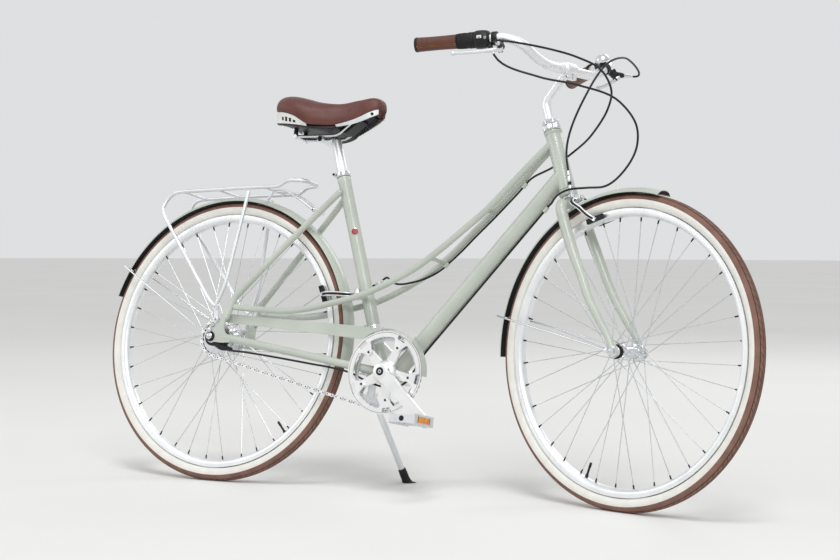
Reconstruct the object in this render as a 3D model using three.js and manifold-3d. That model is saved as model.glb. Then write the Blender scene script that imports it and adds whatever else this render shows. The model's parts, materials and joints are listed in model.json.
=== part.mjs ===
// Step-through bicycle parked on its kickstand, front wheel turned to the right.
// Millimetres. X points forward, Y to the left, Z up.
import * as THREE from 'three';
import { mergeVertices } from 'three/addons/utils/BufferGeometryUtils.js';
import Module from 'manifold-3d';

const wasm = await Module();
wasm.setup();
const { Vector2, Vector3 } = THREE;
const radians = THREE.MathUtils.degToRad;

// Parked stance
const LEAN_ANGLE = radians(10.77);
const STEER_ANGLE = radians(-16.98);

// Layout, measured from the rear axle and from the ground under an upright bicycle
const WHEELBASE = 1072;
const WHEEL_RADIUS = 349;
const HEAD_ANGLE = radians(71);
const FORK_RAKE = 52;
const BRACKET_REACH = 487;
const BRACKET_HEIGHT = 279;
const SEAT_ANGLE = radians(71.4);
const SEAT_SETBACK = 31;
const SEAT_TUBE_TOP = 757;
const HEAD_TUBE_BASE = 716;
const HEAD_TUBE_TOP = 846;
const DOWN_TUBE_MEET = 753;
const CLEARANCE = 0.3;

// Frame tubes
const HEAD_TUBE_RADIUS = 19.4;
const HEAD_TUBE_WALL = 2;
const LOWER_CUP_RADIUS = 21.6;
const LOWER_CUP_LENGTH = 16;
const UPPER_CUP_RADIUS = 21;
const UPPER_CUP_LENGTH = 12;
const STEERER_RADIUS = 12.7;
const STEERER_WALL = 1.35;
const DOWN_TUBE_RADIUS = 19.05;
const DOWN_TUBE_WALL = 1.4;
const SEAT_TUBE_RADIUS = 15.9;
const SEAT_POST_RADIUS = 12.7;
const SEAT_POST_WALL = 2.2;
const SEAT_TUBE_DROP = 17;
const SHELL_RADIUS = 20.8;
const SHELL_HALF_WIDTH = 35;
const SHELL_WALL = 3.2;
const SPINDLE_RADIUS = 8.5;
const TWIN_TUBE_RADIUS = 8;
const TWIN_TUBE_WALL = 1.2;
const TWIN_TUBE_SPREAD = 62;
const BRIDGE_RADIUS = 5;
const SEAT_STAY_RADIUS = 7.8;
const SEAT_STAY_WALL = 1.2;
const CHAIN_STAY_RADIUS = 9.4;
const CHAIN_STAY_WALL = 1.4;
const REAR_HALF_SPACING = 66;
const DROPOUT_THICKNESS = 5;
const DROPOUT_SIZE = 92;
const BOSS_RADIUS = 4;
const BOSS_RISE = 3;
const CABLE_RADIUS = 2.5;

// Wheels
const TYRE_RADIUS = 18;
const RIM_RADIUS = 316;
const RIM_DEPTH = 19;
const RIM_HALF_WIDTH = 13.5;
const RIM_BED_HALF_WIDTH = 5;
const SPOKE_COUNT = 36;
const SPOKE_RADIUS = 1;
const SPOKE_CROSS_ANGLE = radians(65);
const FLANGE_THICKNESS = 3;
const FRONT_HALF_SPACING = 50;
const FRONT_FLANGE_OFFSET = 33;
const FRONT_FLANGE_RADIUS = 20;
const FRONT_SHELL_RADIUS = 13;
const REAR_FLANGE_OFFSET = 31;
const REAR_FLANGE_RADIUS = 33;
const REAR_SHELL_RADIUS = 26;
const AXLE_CONE_RADIUS = 9;

// Mudguards
const FENDER_RADIUS = 362;
const FENDER_HALF_WIDTH = 24;
const FENDER_DROP = 11;
const FENDER_THICKNESS = 1.5;
const FENDER_WIRE_RADIUS = 2.2;
const REAR_FENDER_START = radians(-8);
const REAR_FENDER_END = radians(163.5);
const REAR_STAY_ANGLE = radians(150.3);
const FRONT_FENDER_START = radians(75.5);
const FRONT_FENDER_END = radians(183);
const FRONT_STAY_ANGLE = radians(167);

// Drive
const CHAINRING_TEETH = 44;
const COG_TEETH = 22;
const CHAIN_PITCH = 12.7;
const CHAIN_LINE = 42;
const CHAIN_WIDTH = 8;
const CHAIN_HEIGHT = 8;
const RING_THICKNESS = 3;
const RING_INNER_RADIUS = 59;
const GUARD_DISC_RADIUS = 97.5;
const GUARD_DISC_INNER_RADIUS = 59;
const GUARD_DISC_OFFSET = 51;
const GUARD_DISC_THICKNESS = 3;
const BOLT_CIRCLE_RADIUS = 65;
const BOLT_TAB_RADIUS = 8;
const BOLT_RADIUS = 4;
const SPIDER_ARM_COUNT = 5;
const SPIDER_ANGLE = radians(-9.2);
const SPIDER_HALF_WIDTH = 11;
const CRANK_LENGTH = 170;
const CRANK_ANGLE = radians(-41.6);
const CRANK_HUB_RADIUS = 17;
const CRANK_EYE_RADIUS = 12;
const CRANK_OFFSET = 62;
const CRANK_THICKNESS = 12;
const PEDAL_OFFSET = 137;
const PEDAL_LENGTH = 92;
const PEDAL_HALF_WIDTH = 33;
const PEDAL_HEIGHT = 25;
const PEDAL_PLATE = 3.5;
const PEDAL_BARREL_RADIUS = 11;
const PEDAL_AXLE_RADIUS = 6;

// Chain guard
const GUARD_OFFSET = 48;
const GUARD_THICKNESS = 1.5;
const GUARD_LIP_RADIUS = 101.5;
const GUARD_LIP_THICKNESS = 1.6;
const GUARD_LIP_INSET = 36;
const GUARD_LIP_OUTSET = 59;
const GUARD_LIP_START = radians(98);
const GUARD_LIP_END = radians(-3);
const GUARD_STRIP_REAR = 23;
const GUARD_STRIP_REAR_TOP = 409;
const GUARD_STRIP_REAR_LOW = 388;
const GUARD_STRIP_FRONT_TOP = 382;
const GUARD_BRACKET_RADIUS = 3;
const GUARD_TAB_SIZE = 9;

// Kickstand
const STAND_PIVOT_BACK = 83;
const STAND_PIVOT_SIDE = 45;
const STAND_PIVOT_DROP = 47;
const STAND_BOSS_RADIUS = 12;
const STAND_BOSS_LENGTH = 16;
const STAND_HUB_RADIUS = 11;
const STAND_HUB_LENGTH = 13;
const STAND_PIN_RADIUS = 4;
const STAND_LEG_RADIUS = 7.5;
const STAND_REACH = 41;
const STAND_SPLAY = 136;
const STAND_LENGTH = 243;
const STAND_TILT_BACK = radians(15.9);
const STAND_TILT_UP = radians(13.1);
const FOOT_LENGTH = 36;
const FOOT_TOP_RADIUS = 9.5;
const FOOT_SOLE_RADIUS = 13;

// Rack
const RACK_REACH = 200;
const RACK_HALF_WIDTH = 49;
const RACK_HEIGHT = 719;
const RACK_ROD_RADIUS = 5;
const RACK_BAR_RADIUS = 3.5;
const RACK_LEG_RADIUS = 4.5;
const RACK_FOOT_RADIUS = 8;

// Fork, stem and handlebar
const CROWN_HEIGHT = 378.5;
const BLADE_SPREAD = 51;
const BLADE_RADIUS = 13.2;
const BLADE_TIP_RADIUS = 8;
const CROWN_RACE_RADIUS = 20;
const CROWN_RACE_LENGTH = 6;
const LOCKNUT_RADIUS = 20;
const LOCKNUT_LENGTH = 25;
const FORK_END_THICKNESS = 5;
const FORK_END_RADIUS = 18;
const AXLE_NUT_RADIUS = 8;
const AXLE_NUT_LENGTH = 8;
const QUILL_RADIUS = 11.05;
const QUILL_DEPTH = 75;
const STEM_BEND_HEIGHT = 925;
const STEM_REACH = 65;
const STEM_RISE = 68;
const STEM_CLAMP_RADIUS = 17.5;
const STEM_CLAMP_HALF_WIDTH = 19;
const BAR_RADIUS = 11.1;
const BAR_WALL = 2;
const BAR_HALF_WIDTH = 276;
const BAR_SWEEP = 215;
const BAR_RISE = 49;
const GRIP_RADIUS = 16.5;
const GRIP_LENGTH_RIGHT = 96;
const GRIP_LENGTH_LEFT = 128;
const GRIP_CAP = 4;
const TWIST_LENGTH = 38;
const TWIST_RADIUS = 18.5;
const SHIFTER_LENGTH = 36;
const SHIFTER_RADIUS = 20;
const BRACKET_PLACE = 181;
const BRACKET_WIDTH = 13;
const BRACKET_RADIUS = 15.5;

// Brake levers
const LEVER_FORWARD = 33.5;
const LEVER_DROP = 32;
const LEVER_INSET = 19;
const LEVER_LENGTH = 108;
const LEVER_OUT_DROP = 8;
const LEVER_HUB_RADIUS = 6.5;
const LEVER_HUB_WIDTH = 10;
const LEVER_BLADE_RADIUS = 4.4;
const LEVER_BALL_RADIUS = 6;
const CHEEK_THICKNESS = 2.6;
const BARREL_RADIUS = 4;
const BARREL_LENGTH = 22;

// Caliper brakes, in the plane across the bolt
const FRONT_BRAKE_HEIGHT = 686;
const FRONT_BRAKE_AHEAD = 16.5;
const REAR_BRAKE_HEIGHT = 464;
const CALIPER_ARM_RADIUS = 4.2;
const CALIPER_HUB_RADIUS = 8;
const CALIPER_HUB_LENGTH = 8.8;
const CALIPER_BOLT_RADIUS = 3;
const CALIPER_HALF_WIDTH = 33;
const CALIPER_DEPTH = 73;
const REAR_CALIPER_DEPTH = 83;
const CALIPER_ARCH = 46;
const REAR_CALIPER_ARCH = 29;
const PAD_GAP = 2.5;
const PAD_THICKNESS = 8;
const PAD_LENGTH = 40;
const PAD_HEIGHT = 9;
const CABLE_ARM_RISE = 24;
const CABLE_ARM_SIDE = 21.5;
const CABLE_ARM_LEAN = 6;

// Seat
const POST_TOP = 852;
const POST_INSERT = 90;
const CLAMP_X = 232;
const CLAMP_DROP = 2;
const CLAMP_HALF_WIDTH = 23;
const CLAMP_RADIUS = 9;
const COLLAR_RADIUS = 17.6;
const COLLAR_LENGTH = 12;
const COLLAR_LUG_RADIUS = 5.5;
const SADDLE_REAR = 122;
const SADDLE_LENGTH = 268;
const SADDLE_HALF_WIDTH = 104;
const SADDLE_RISE = 20;
const SADDLE_DEPTH = 92;
const SADDLE_SHELL = 26;
const PAN_MARGIN = 7;
const RAIL_RADIUS = 3.5;
const RAIL_HALF_SPACING = 22;

// Bell
const BELL_SHARE = 0.57;
const BELL_RADIUS = 17;
const BELL_HEIGHT = 16;
const BELL_RISE = 20;
const BELL_CLAMP_RADIUS = 14.5;
const BELL_CLAMP_WIDTH = 12;
const STRIKER_LENGTH = 16;
const STRIKER_RADIUS = 1.8;
const STRIKER_KNOB_RADIUS = 3.2;

// Routes as shares of the sizes they follow
const TWIN_TUBE_SHARES = [
  [1.0025, 0.9775, 0.2339], [0.9848, 0.9598, 0.2339], [0.9505, 0.9238, 0.2339],
  [0.9068, 0.8759, 0.2581], [0.8618, 0.8274, 0.2742], [0.8216, 0.7861, 0.2903],
  [0.772, 0.7411, 0.371], [0.7058, 0.6809, 0.5], [0.6195, 0.6158, 0.5968],
  [0.5757, 0.591, 0.6532], [0.5308, 0.5686, 0.6855], [0.4634, 0.5414, 0.7419],
  [0.3913, 0.5225, 0.7581], [0.2554, 0.4959, 0.8387], [0.1549, 0.4959, 0.9355],
  [0.0662, 0.501, 1],
];
const SEAT_STAY_SHARES = [
  [0.6222, 0.2742, 0.9538], [0.538, 0.4355, 0.893], [0.462, 0.5484, 0.8402],
  [0.308, 0.7419, 0.7332], [0.1129, 0.9726, 0.5925],
];
const CHAIN_STAY_SHARES = [
  [0.9815, 0.3871, 0.8034], [0.883, 0.4274, 0.8252], [0.8111, 0.5, 0.8395],
  [0.7392, 0.629, 0.8539], [0.616, 0.7903, 0.8825], [0.3696, 0.9032, 0.937],
  [0.1643, 0.9839, 0.9799], [0.0821, 1.0161, 0.9971],
];
const DROPOUT_SHARES = [
  [0.3043, 1], [0.5652, 0.9457], [0.5, 0.6413], [0.3696, 0.4239], [0.3913, 0.1848],
  [0.6739, 0.0652], [0.6522, -0.163], [0.2826, -0.163], [0.0652, -0.2065],
  [-0.3043, -0.2065], [-0.3043, -0.0576], [0.087, -0.0576], [0.087, 0.0576],
  [-0.3043, 0.0576], [-0.3043, 0.1848], [-0.1522, 0.3804], [0.1087, 0.5978],
];
const FORK_BLADE_SHARES = [
  [1, 0, 0.3, 1], [0.982, 0, 0.569, 1], [0.951, 0, 0.745, 1], [0.8602, 0, 0.784, 0.96],
  [0.6565, 0.1154, 0.853, 0.92], [0.4991, 0.2519, 0.873, 0.78], [0.3376, 0.4173, 0.9608, 0.74],
  [0.2592, 0.5731, 0.9745, 0.72], [0.1807, 0.7212, 1, 0.68], [0.111, 0.8846, 1.0098, 0.63],
  [0.01, 0.9808, 1.0196, 0.6],
];
const BAR_SHARES = [
  [-1, 1, 0.7755], [-0.1814, 0.6594, 1], [-0.093, 0.6087, 0.8776], [-0.0233, 0.5435, 0.6531],
  [-0.0047, 0.442, 0.3265], [0.0186, 0.3442, 0.0612],
];
const RACK_RAIL_SHARES = [
  [-0.97, 1.2041, 0.9416], [-0.95, 1.102, 0.9694], [-0.89, 1.0204, 0.9903],
  [-0.8, 1, 0.9993], [0.155, 1, 1.0097], [0.7, 1, 1.0125], [0.81, 0.9388, 1.0348],
  [0.98, 0.7347, 1.0362], [1.03, 0.4082, 1.0362],
];
const RACK_REAR_LEG_SHARES = [
  [-0.9775, 1.2245, 0.9395], [-0.94, 1.2653, 0.911], [-0.075, 1.5102, 0.612],
  [0.045, 1.551, 0.5876],
];
const RACK_FRONT_LEG_SHARES = [
  [0.285, 1.0204, 1.0042], [0.15, 1.4898, 0.662], [0.045, 1.551, 0.5876],
];
const RACK_STRUT_SHARES = [
  [0.48, 0.3265, 1.0129], [0.675, 0.3469, 1.0111], [0.9, 0.3878, 0.9819],
  [1.16, 0.449, 0.9346],
];
const RACK_BAR_SHARES = [-0.72, -0.2, 0.48];
const BRIDGE_SHARES = [0.674, 0.8275];
const SADDLE_SHARES = [
  [0, 0.5, 0.74, 0.4], [0.0205, 0.6923, 0.84, 0.33], [0.0717, 0.8654, 0.92, 0.25],
  [0.1638, 0.9712, 0.94, 0.1739], [0.2765, 1, 0.885, 0.0761], [0.3857, 0.9423, 0.8, 0.0109],
  [0.5051, 0.8077, 0.7391, 0], [0.6246, 0.6058, 0.7391, 0.0435],
  [0.8, 0.395, 0.85, 0.25], [0.9317, 0.2885, 0.8913, 0.4565], [1, 0.125, 0.7065, 0.587],
];
const SADDLE_SECTION_SHARES = [
  [0, 1], [0.42, 0.97], [0.74, 0.85], [0.94, 0.58], [1, 0.26], [0.92, 0], [0, 0],
];
const PAN_TOP_SHARE = 0.6;
const BOSS_SHARES = [0.16, 0.266];
const DOWN_STOP_SHARE = 0.86;
const CLIP_REACH_SHARES = [0.9068, 0.679];
const WIRE_CROSS_SHARES = [
  [1.13, -0.9], [1.1, -1.35], [0.9, -1.38], [0.5, -0.55], [0, -0.05],
];
const LEVER_CURVE_SHARES = [
  [0, 0, 1], [0.2, -0.2, 0.95], [0.5, -0.3, 0.8], [0.8, -0.1, 0.75], [1, 0.2, 0.8],
];
const FENDER_SECTION_SHARES = [[0, 0], [0.5, 0.1], [0.84, 0.48], [1, 1]];
const CALIPER_SHARES = [
  [0, 0, 0], [0.02, 0.02, 0.55], [0.16, 0.1, 0.95], [0.45, 0.45, 1.02], [0.85, 0.85, 1],
  [1, 1, 0.72],
];

// Sides of the round pieces
const WHEEL_SEGMENTS = 36;
const ROOM_SEGMENTS = 48;
const CABLE_SIDES = 6;

const AHEAD = new Vector3(1, 0, 0);
const LEFT = new Vector3(0, 1, 0);
const UP = new Vector3(0, 0, 1);
const SIDES = { right: -1, left: 1 };

// A closed geometry as a solid, with its faces turned outwards
function solidOf(geometry) {
  const bare = geometry.clone();
  bare.deleteAttribute('normal');
  bare.deleteAttribute('uv');
  const merged = mergeVertices(bare);
  const places = merged.attributes.position.array;
  const index = merged.index.array;
  const kept = [];
  let volume = 0;
  const corners = [new Vector3(), new Vector3(), new Vector3()];
  for (let i = 0; i < index.length; i += 3) {
    const [a, b, c] = [index[i], index[i + 1], index[i + 2]];
    if (a === b || b === c || c === a) continue;
    kept.push(a, b, c);
    corners[0].fromArray(places, 3 * a);
    corners[1].fromArray(places, 3 * b);
    corners[2].fromArray(places, 3 * c);
    volume += corners[0].dot(corners[1].cross(corners[2]));
  }
  if (volume < 0) kept.reverse();
  return new wasm.Manifold(new wasm.Mesh({
    numProp: 3,
    vertProperties: new Float32Array(places),
    triVerts: new Uint32Array(kept),
  }));
}

function geometryOf(solid) {
  const found = solid.getMesh();
  const geometry = new THREE.BufferGeometry();
  const places = new Float32Array(found.vertProperties);
  geometry.setAttribute('position', new THREE.BufferAttribute(places, found.numProp));
  geometry.setIndex(new THREE.BufferAttribute(new Uint32Array(found.triVerts), 1));
  geometry.computeVertexNormals();
  return geometry;
}

const join = (...solids) => solids.reduce((whole, solid) => whole.add(solid));
const cut = (solid, ...tools) => tools.reduce((rest, tool) => rest.subtract(tool), solid);

// A path given by its own stations, each with the two directions that carry the section
class Track extends THREE.Curve {
  constructor(stations) {
    super();
    this.stations = stations;
  }

  getSpacedPoints() {
    return this.stations.map((station) => station.at);
  }

  computeFrenetFrames() {
    return {
      tangents: this.stations.map(() => AHEAD),
      normals: this.stations.map((station) => station.normal),
      binormals: this.stations.map((station) => station.binormal),
    };
  }
}

function sweep(shape, stations) {
  const extrudePath = new Track(stations);
  return solidOf(new THREE.ExtrudeGeometry(shape, { steps: stations.length - 1, extrudePath }));
}

function polygon(radius, sides) {
  return Array.from({ length: sides }, (_, i) => {
    const turn = 2 * Math.PI * (i + 0.5) / sides;
    return new Vector2(radius * Math.cos(turn), radius * Math.sin(turn));
  });
}

// Directions carried along a route without twisting, scaled by the growth at each point
function stationsAlong(points, growths) {
  const stations = [];
  const normal = new Vector3();
  points.forEach((at, i) => {
    const before = points[Math.max(i - 1, 0)];
    const after = points[Math.min(i + 1, points.length - 1)];
    const tangent = after.clone().sub(before).normalize();
    if (i === 0) {
      const seed = Math.abs(tangent.y) > 0.8 ? UP : LEFT;
      normal.copy(seed);
    }
    normal.addScaledVector(tangent, -normal.dot(tangent)).normalize();
    const growth = growths ? growths[i] : 1;
    const binormal = tangent.clone().cross(normal);
    stations.push({
      at,
      normal: normal.clone().multiplyScalar(growth),
      binormal: binormal.multiplyScalar(growth),
    });
  });
  return stations;
}

// A round rod or, with a wall, an open-ended tube along a route
function rod(points, radius, { wall = 0, sides = 8, growths } = {}) {
  const shape = new THREE.Shape(polygon(radius, sides));
  if (wall > 0) shape.holes.push(new THREE.Path(polygon(radius - wall, sides).reverse()));
  return sweep(shape, stationsAlong(points, growths));
}

// Replaces each inner corner of a route by a short curve
function rounded(points, bend, bits = 4) {
  const route = [points[0]];
  for (let i = 1; i < points.length - 1; i += 1) {
    const back = points[i - 1].clone().sub(points[i]);
    const on = points[i + 1].clone().sub(points[i]);
    const reach = Math.min(bend, 0.45 * back.length(), 0.45 * on.length());
    const start = points[i].clone().addScaledVector(back.normalize(), reach);
    const end = points[i].clone().addScaledVector(on.normalize(), reach);
    const curve = new THREE.QuadraticBezierCurve3(start, points[i], end);
    route.push(...curve.getPoints(bits));
  }
  route.push(points[points.length - 1]);
  return route;
}

// A profile of radius and length pairs turned about a direction
function turned(profile, centre, direction, segments = 16, start = 0) {
  const points = profile.map(([radius, length]) => new Vector2(radius, length));
  const geometry = new THREE.LatheGeometry(points, segments, start);
  geometry.applyQuaternion(new THREE.Quaternion().setFromUnitVectors(LEFT, direction));
  geometry.translate(centre.x, centre.y, centre.z);
  return solidOf(geometry);
}

function ring(inner, outer, from, to) {
  return [[inner, from], [outer, from], [outer, to], [inner, to], [inner, from]];
}

function disc(radius, from, to) {
  return [[0, from], [radius, from], [radius, to], [0, to]];
}

function bar(from, to, radius, sides = 6) {
  const direction = to.clone().sub(from);
  const length = direction.length();
  return turned(disc(radius, 0, length), from, direction.normalize(), sides);
}

function tapered(from, to, radiusFrom, radiusTo, sides = 12) {
  const direction = to.clone().sub(from);
  const length = direction.length();
  const profile = [[0, 0], [radiusFrom, 0], [radiusTo, length], [0, length]];
  return turned(profile, from, direction.normalize(), sides);
}

function ball(centre, radius) {
  const geometry = new THREE.SphereGeometry(radius, 8, 5);
  geometry.translate(centre.x, centre.y, centre.z);
  return solidOf(geometry);
}

// A flat plate whose outline lies in the X-Z plane, between two offsets along Y
function slab(outline, from, to, holes = []) {
  const shape = new THREE.Shape(outline.map(([x, z]) => new Vector2(x, z)));
  holes.forEach((hole) => {
    shape.holes.push(new THREE.Path(hole.map(([x, z]) => new Vector2(x, z))));
  });
  const geometry = new THREE.ExtrudeGeometry(shape, { depth: to - from, bevelEnabled: false });
  geometry.rotateX(Math.PI / 2);
  geometry.translate(0, to, 0);
  return solidOf(geometry);
}

// A box with its three sizes along three directions
function block(centre, sizes, directions = [AHEAD, LEFT, UP]) {
  const geometry = new THREE.BoxGeometry(...sizes);
  const turn = new THREE.Matrix4().makeBasis(...directions);
  geometry.applyMatrix4(turn);
  geometry.translate(centre.x, centre.y, centre.z);
  return solidOf(geometry);
}

const FINISHES = {
  sage: { color: 0xc2cdbe, roughness: 0.35, metalness: 0 },
  steel: { color: 0xd4d6d8, roughness: 0.3, metalness: 0.9 },
  alloy: { color: 0xe2e3e5, roughness: 0.4, metalness: 0.7 },
  tyre: { color: 0x4a342c, roughness: 0.85, metalness: 0 },
  rubber: { color: 0x151515, roughness: 0.8, metalness: 0 },
  leather: { color: 0x6b3d31, roughness: 0.5, metalness: 0 },
  plastic: { color: 0x1c1c1e, roughness: 0.5, metalness: 0 },
};

function piece(parent, name, solid, finish) {
  const mesh = new THREE.Mesh(geometryOf(solid), new THREE.MeshStandardMaterial(FINISHES[finish]));
  mesh.name = name;
  parent.add(mesh);
  return mesh;
}

// Main points and lines of the frame
const rearAxle = new Vector3(0, 0, WHEEL_RADIUS);
const frontAxle = new Vector3(WHEELBASE, 0, WHEEL_RADIUS);
const bracket = new Vector3(BRACKET_REACH, 0, BRACKET_HEIGHT);
const steerUp = new Vector3(-Math.cos(HEAD_ANGLE), 0, Math.sin(HEAD_ANGLE));
const steerAhead = new Vector3(Math.sin(HEAD_ANGLE), 0, Math.cos(HEAD_ANGLE));
const steerFoot = frontAxle.clone().addScaledVector(steerAhead, -FORK_RAKE);
const seatUp = new Vector3(-Math.cos(SEAT_ANGLE), 0, Math.sin(SEAT_ANGLE));
const seatFoot = new Vector3(BRACKET_REACH - SEAT_SETBACK, 0, BRACKET_HEIGHT);

function onSteerer(along, ahead = 0, side = 0) {
  const point = steerFoot.clone().addScaledVector(steerUp, along);
  return point.addScaledVector(steerAhead, ahead).addScaledVector(LEFT, side);
}

const steererAlong = (height) => (height - steerFoot.z) / steerUp.z;
const steererAt = (height) => onSteerer(steererAlong(height));
const seatAt = (height) => seatFoot.clone().addScaledVector(seatUp, (height - seatFoot.z) / seatUp.z);

const headBase = steererAlong(HEAD_TUBE_BASE);
const headTop = steererAlong(HEAD_TUBE_TOP);
const headMeet = steererAt(DOWN_TUBE_MEET);
const headTopPoint = steererAt(HEAD_TUBE_TOP);

// Cutting tools with the clearance around the main tubes
const headRoom = bar(
  onSteerer(headBase - 2 * LOWER_CUP_LENGTH),
  onSteerer(headTop + UPPER_CUP_LENGTH),
  HEAD_TUBE_RADIUS + CLEARANCE,
  20,
);
const shellRoom = bar(
  bracket.clone().addScaledVector(LEFT, -2 * SHELL_HALF_WIDTH),
  bracket.clone().addScaledVector(LEFT, 2 * SHELL_HALF_WIDTH),
  SHELL_RADIUS + CLEARANCE,
  20,
);
const seatTubeRoom = bar(
  seatAt(BRACKET_HEIGHT - 2 * SEAT_TUBE_DROP),
  seatAt(SEAT_TUBE_TOP + COLLAR_LENGTH),
  SEAT_TUBE_RADIUS + CLEARANCE,
  16,
);

const bicycle = new THREE.Group();
const steered = new THREE.Group();
const steeredInner = new THREE.Group();
steered.position.copy(steerFoot);
steered.quaternion.setFromAxisAngle(steerUp, STEER_ANGLE);
steeredInner.position.copy(steerFoot).negate();
steered.add(steeredInner);
bicycle.add(steered);

function steeredPoint(x, y, z) {
  const point = new Vector3(x, y, z).sub(steerFoot);
  return point.applyAxisAngle(steerUp, STEER_ANGLE).add(steerFoot);
}

// Head tube with its flared lower cup, and the upper cup
const steererBore = STEERER_RADIUS + CLEARANCE;
const headInner = HEAD_TUBE_RADIUS - HEAD_TUBE_WALL;
const cupBase = headBase - LOWER_CUP_LENGTH;
piece(bicycle, 'head_tube', turned([
  [steererBore, cupBase],
  [LOWER_CUP_RADIUS - HEAD_TUBE_WALL, cupBase],
  [LOWER_CUP_RADIUS, headBase - LOWER_CUP_LENGTH / 4],
  [HEAD_TUBE_RADIUS, headBase],
  [HEAD_TUBE_RADIUS, headTop],
  [headInner, headTop],
  [headInner, headBase],
  [steererBore, headBase - HEAD_TUBE_WALL],
  [steererBore, cupBase],
], steerFoot, steerUp, 18), 'sage');
piece(bicycle, 'headset_upper_cup', turned([
  [steererBore, headTop + CLEARANCE],
  [HEAD_TUBE_RADIUS, headTop + CLEARANCE],
  [UPPER_CUP_RADIUS, headTop + UPPER_CUP_LENGTH / 3],
  [UPPER_CUP_RADIUS, headTop + UPPER_CUP_LENGTH],
  [steererBore, headTop + UPPER_CUP_LENGTH],
  [steererBore, headTop + CLEARANCE],
], steerFoot, steerUp, 16), 'sage');

// Down tube with its two bottle bosses and the cable stop under it
const downDirection = headMeet.clone().sub(bracket).normalize();
const downUnder = downDirection.clone().cross(LEFT);
if (downUnder.z > 0) downUnder.negate();
const onDown = (share) => bracket.clone().lerp(headMeet, share);
const downBosses = BOSS_SHARES.map((share) => bar(
  onDown(share).addScaledVector(downUnder, -DOWN_TUBE_RADIUS + DOWN_TUBE_WALL / 2),
  onDown(share).addScaledVector(downUnder, -DOWN_TUBE_RADIUS - BOSS_RISE),
  BOSS_RADIUS,
));
const clipDrop = CABLE_RADIUS + 4 * CLEARANCE;
const clipLength = 3 * CABLE_RADIUS;
const downStopCentre = onDown(DOWN_STOP_SHARE).addScaledVector(downUnder, DOWN_TUBE_RADIUS + clipDrop);
const downClip = turned(
  ring(clipDrop, clipDrop + CABLE_RADIUS / 2, -clipLength, clipLength),
  downStopCentre,
  downDirection,
  10,
);
const downTube = rod([bracket, onDown(0.5), headMeet], DOWN_TUBE_RADIUS, {
  wall: DOWN_TUBE_WALL,
  sides: 16,
});
piece(bicycle, 'down_tube', cut(join(downTube, ...downBosses, downClip), shellRoom, headRoom), 'sage');

// Seat tube, its collar and the bolt that carries the rear brake
const seatBottom = seatAt(BRACKET_HEIGHT - SEAT_TUBE_DROP);
const seatTop = seatAt(SEAT_TUBE_TOP);
const towardAxle = (point, axle) => axle.clone().sub(point).setY(0).normalize();
const rearBrakeSeat = seatAt(REAR_BRAKE_HEIGHT).addScaledVector(AHEAD, -SEAT_TUBE_RADIUS / seatUp.z);
const rearBrakeIn = towardAxle(rearBrakeSeat, rearAxle);
const seatMiddle = seatAt((BRACKET_HEIGHT + SEAT_TUBE_TOP) / 2);
const seatTube = rod([seatBottom, seatMiddle, seatTop], SEAT_TUBE_RADIUS, {
  wall: SEAT_TUBE_RADIUS - SEAT_POST_RADIUS - CLEARANCE,
  sides: 16,
});
const rearBrakeAlong = LEFT.clone().cross(rearBrakeIn).multiplyScalar(-1);
if (rearBrakeAlong.z < 0) rearBrakeAlong.negate();
const rearBrakePivot = rearBrakeSeat.clone().addScaledVector(rearBrakeIn, CALIPER_HUB_RADIUS + 1);
const boltLength = 2 * CALIPER_HUB_LENGTH + 3 * CLEARANCE + CALIPER_BOLT_RADIUS;
const lugEnd = rearBrakePivot.clone().addScaledVector(rearBrakeAlong, -CALIPER_BOLT_RADIUS);
const rearBolt = join(
  bar(
    rearBrakeSeat.clone().addScaledVector(rearBrakeAlong, -CALIPER_BOLT_RADIUS)
      .addScaledVector(rearBrakeIn, -SEAT_POST_WALL),
    lugEnd.clone().addScaledVector(rearBrakeIn, CALIPER_BOLT_RADIUS),
    CALIPER_BOLT_RADIUS,
  ),
  bar(lugEnd, rearBrakePivot.clone().addScaledVector(rearBrakeAlong, boltLength), CALIPER_BOLT_RADIUS),
);
piece(bicycle, 'seat_tube', cut(join(seatTube, rearBolt), shellRoom), 'sage');
const postBore = SEAT_POST_RADIUS + CLEARANCE;
const seatTopAlong = (SEAT_TUBE_TOP - BRACKET_HEIGHT) / seatUp.z;
const collarBody = turned(
  ring(postBore, COLLAR_RADIUS, seatTopAlong + CLEARANCE, seatTopAlong + COLLAR_LENGTH),
  seatFoot,
  seatUp,
  16,
);
const lugCentre = seatAt(SEAT_TUBE_TOP + COLLAR_LENGTH / 2);
lugCentre.addScaledVector(AHEAD, -COLLAR_RADIUS - COLLAR_LUG_RADIUS / 2);
const collarLug = bar(
  lugCentre.clone().addScaledVector(LEFT, -COLLAR_RADIUS / 1.4),
  lugCentre.clone().addScaledVector(LEFT, COLLAR_RADIUS / 1.4),
  COLLAR_LUG_RADIUS,
);
const postRoom = bar(seatAt(SEAT_TUBE_TOP), seatAt(POST_TOP), postBore, 16);
piece(bicycle, 'seat_collar', cut(join(collarBody, collarLug), postRoom), 'steel');

// Bottom bracket shell, closed at both ends around the spindle
const spindleBore = SPINDLE_RADIUS + CLEARANCE;
const shellInner = SHELL_RADIUS - SHELL_WALL;
const cupInset = SHELL_HALF_WIDTH - SHELL_WALL;
piece(bicycle, 'bottom_bracket_shell', turned([
  [spindleBore, -SHELL_HALF_WIDTH],
  [SHELL_RADIUS, -SHELL_HALF_WIDTH],
  [SHELL_RADIUS, SHELL_HALF_WIDTH],
  [spindleBore, SHELL_HALF_WIDTH],
  [spindleBore, cupInset],
  [shellInner, cupInset],
  [shellInner, -cupInset],
  [spindleBore, -cupInset],
  [spindleBore, -SHELL_HALF_WIDTH],
], bracket, LEFT, 16), 'sage');

// Twin upper tubes from the head tube past the seat tube to the rear ends
function twinPoint(share, side) {
  const [x, z, y] = share;
  return new Vector3(x * headTopPoint.x, side * y * TWIN_TUBE_SPREAD, z * headTopPoint.z);
}

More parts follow.
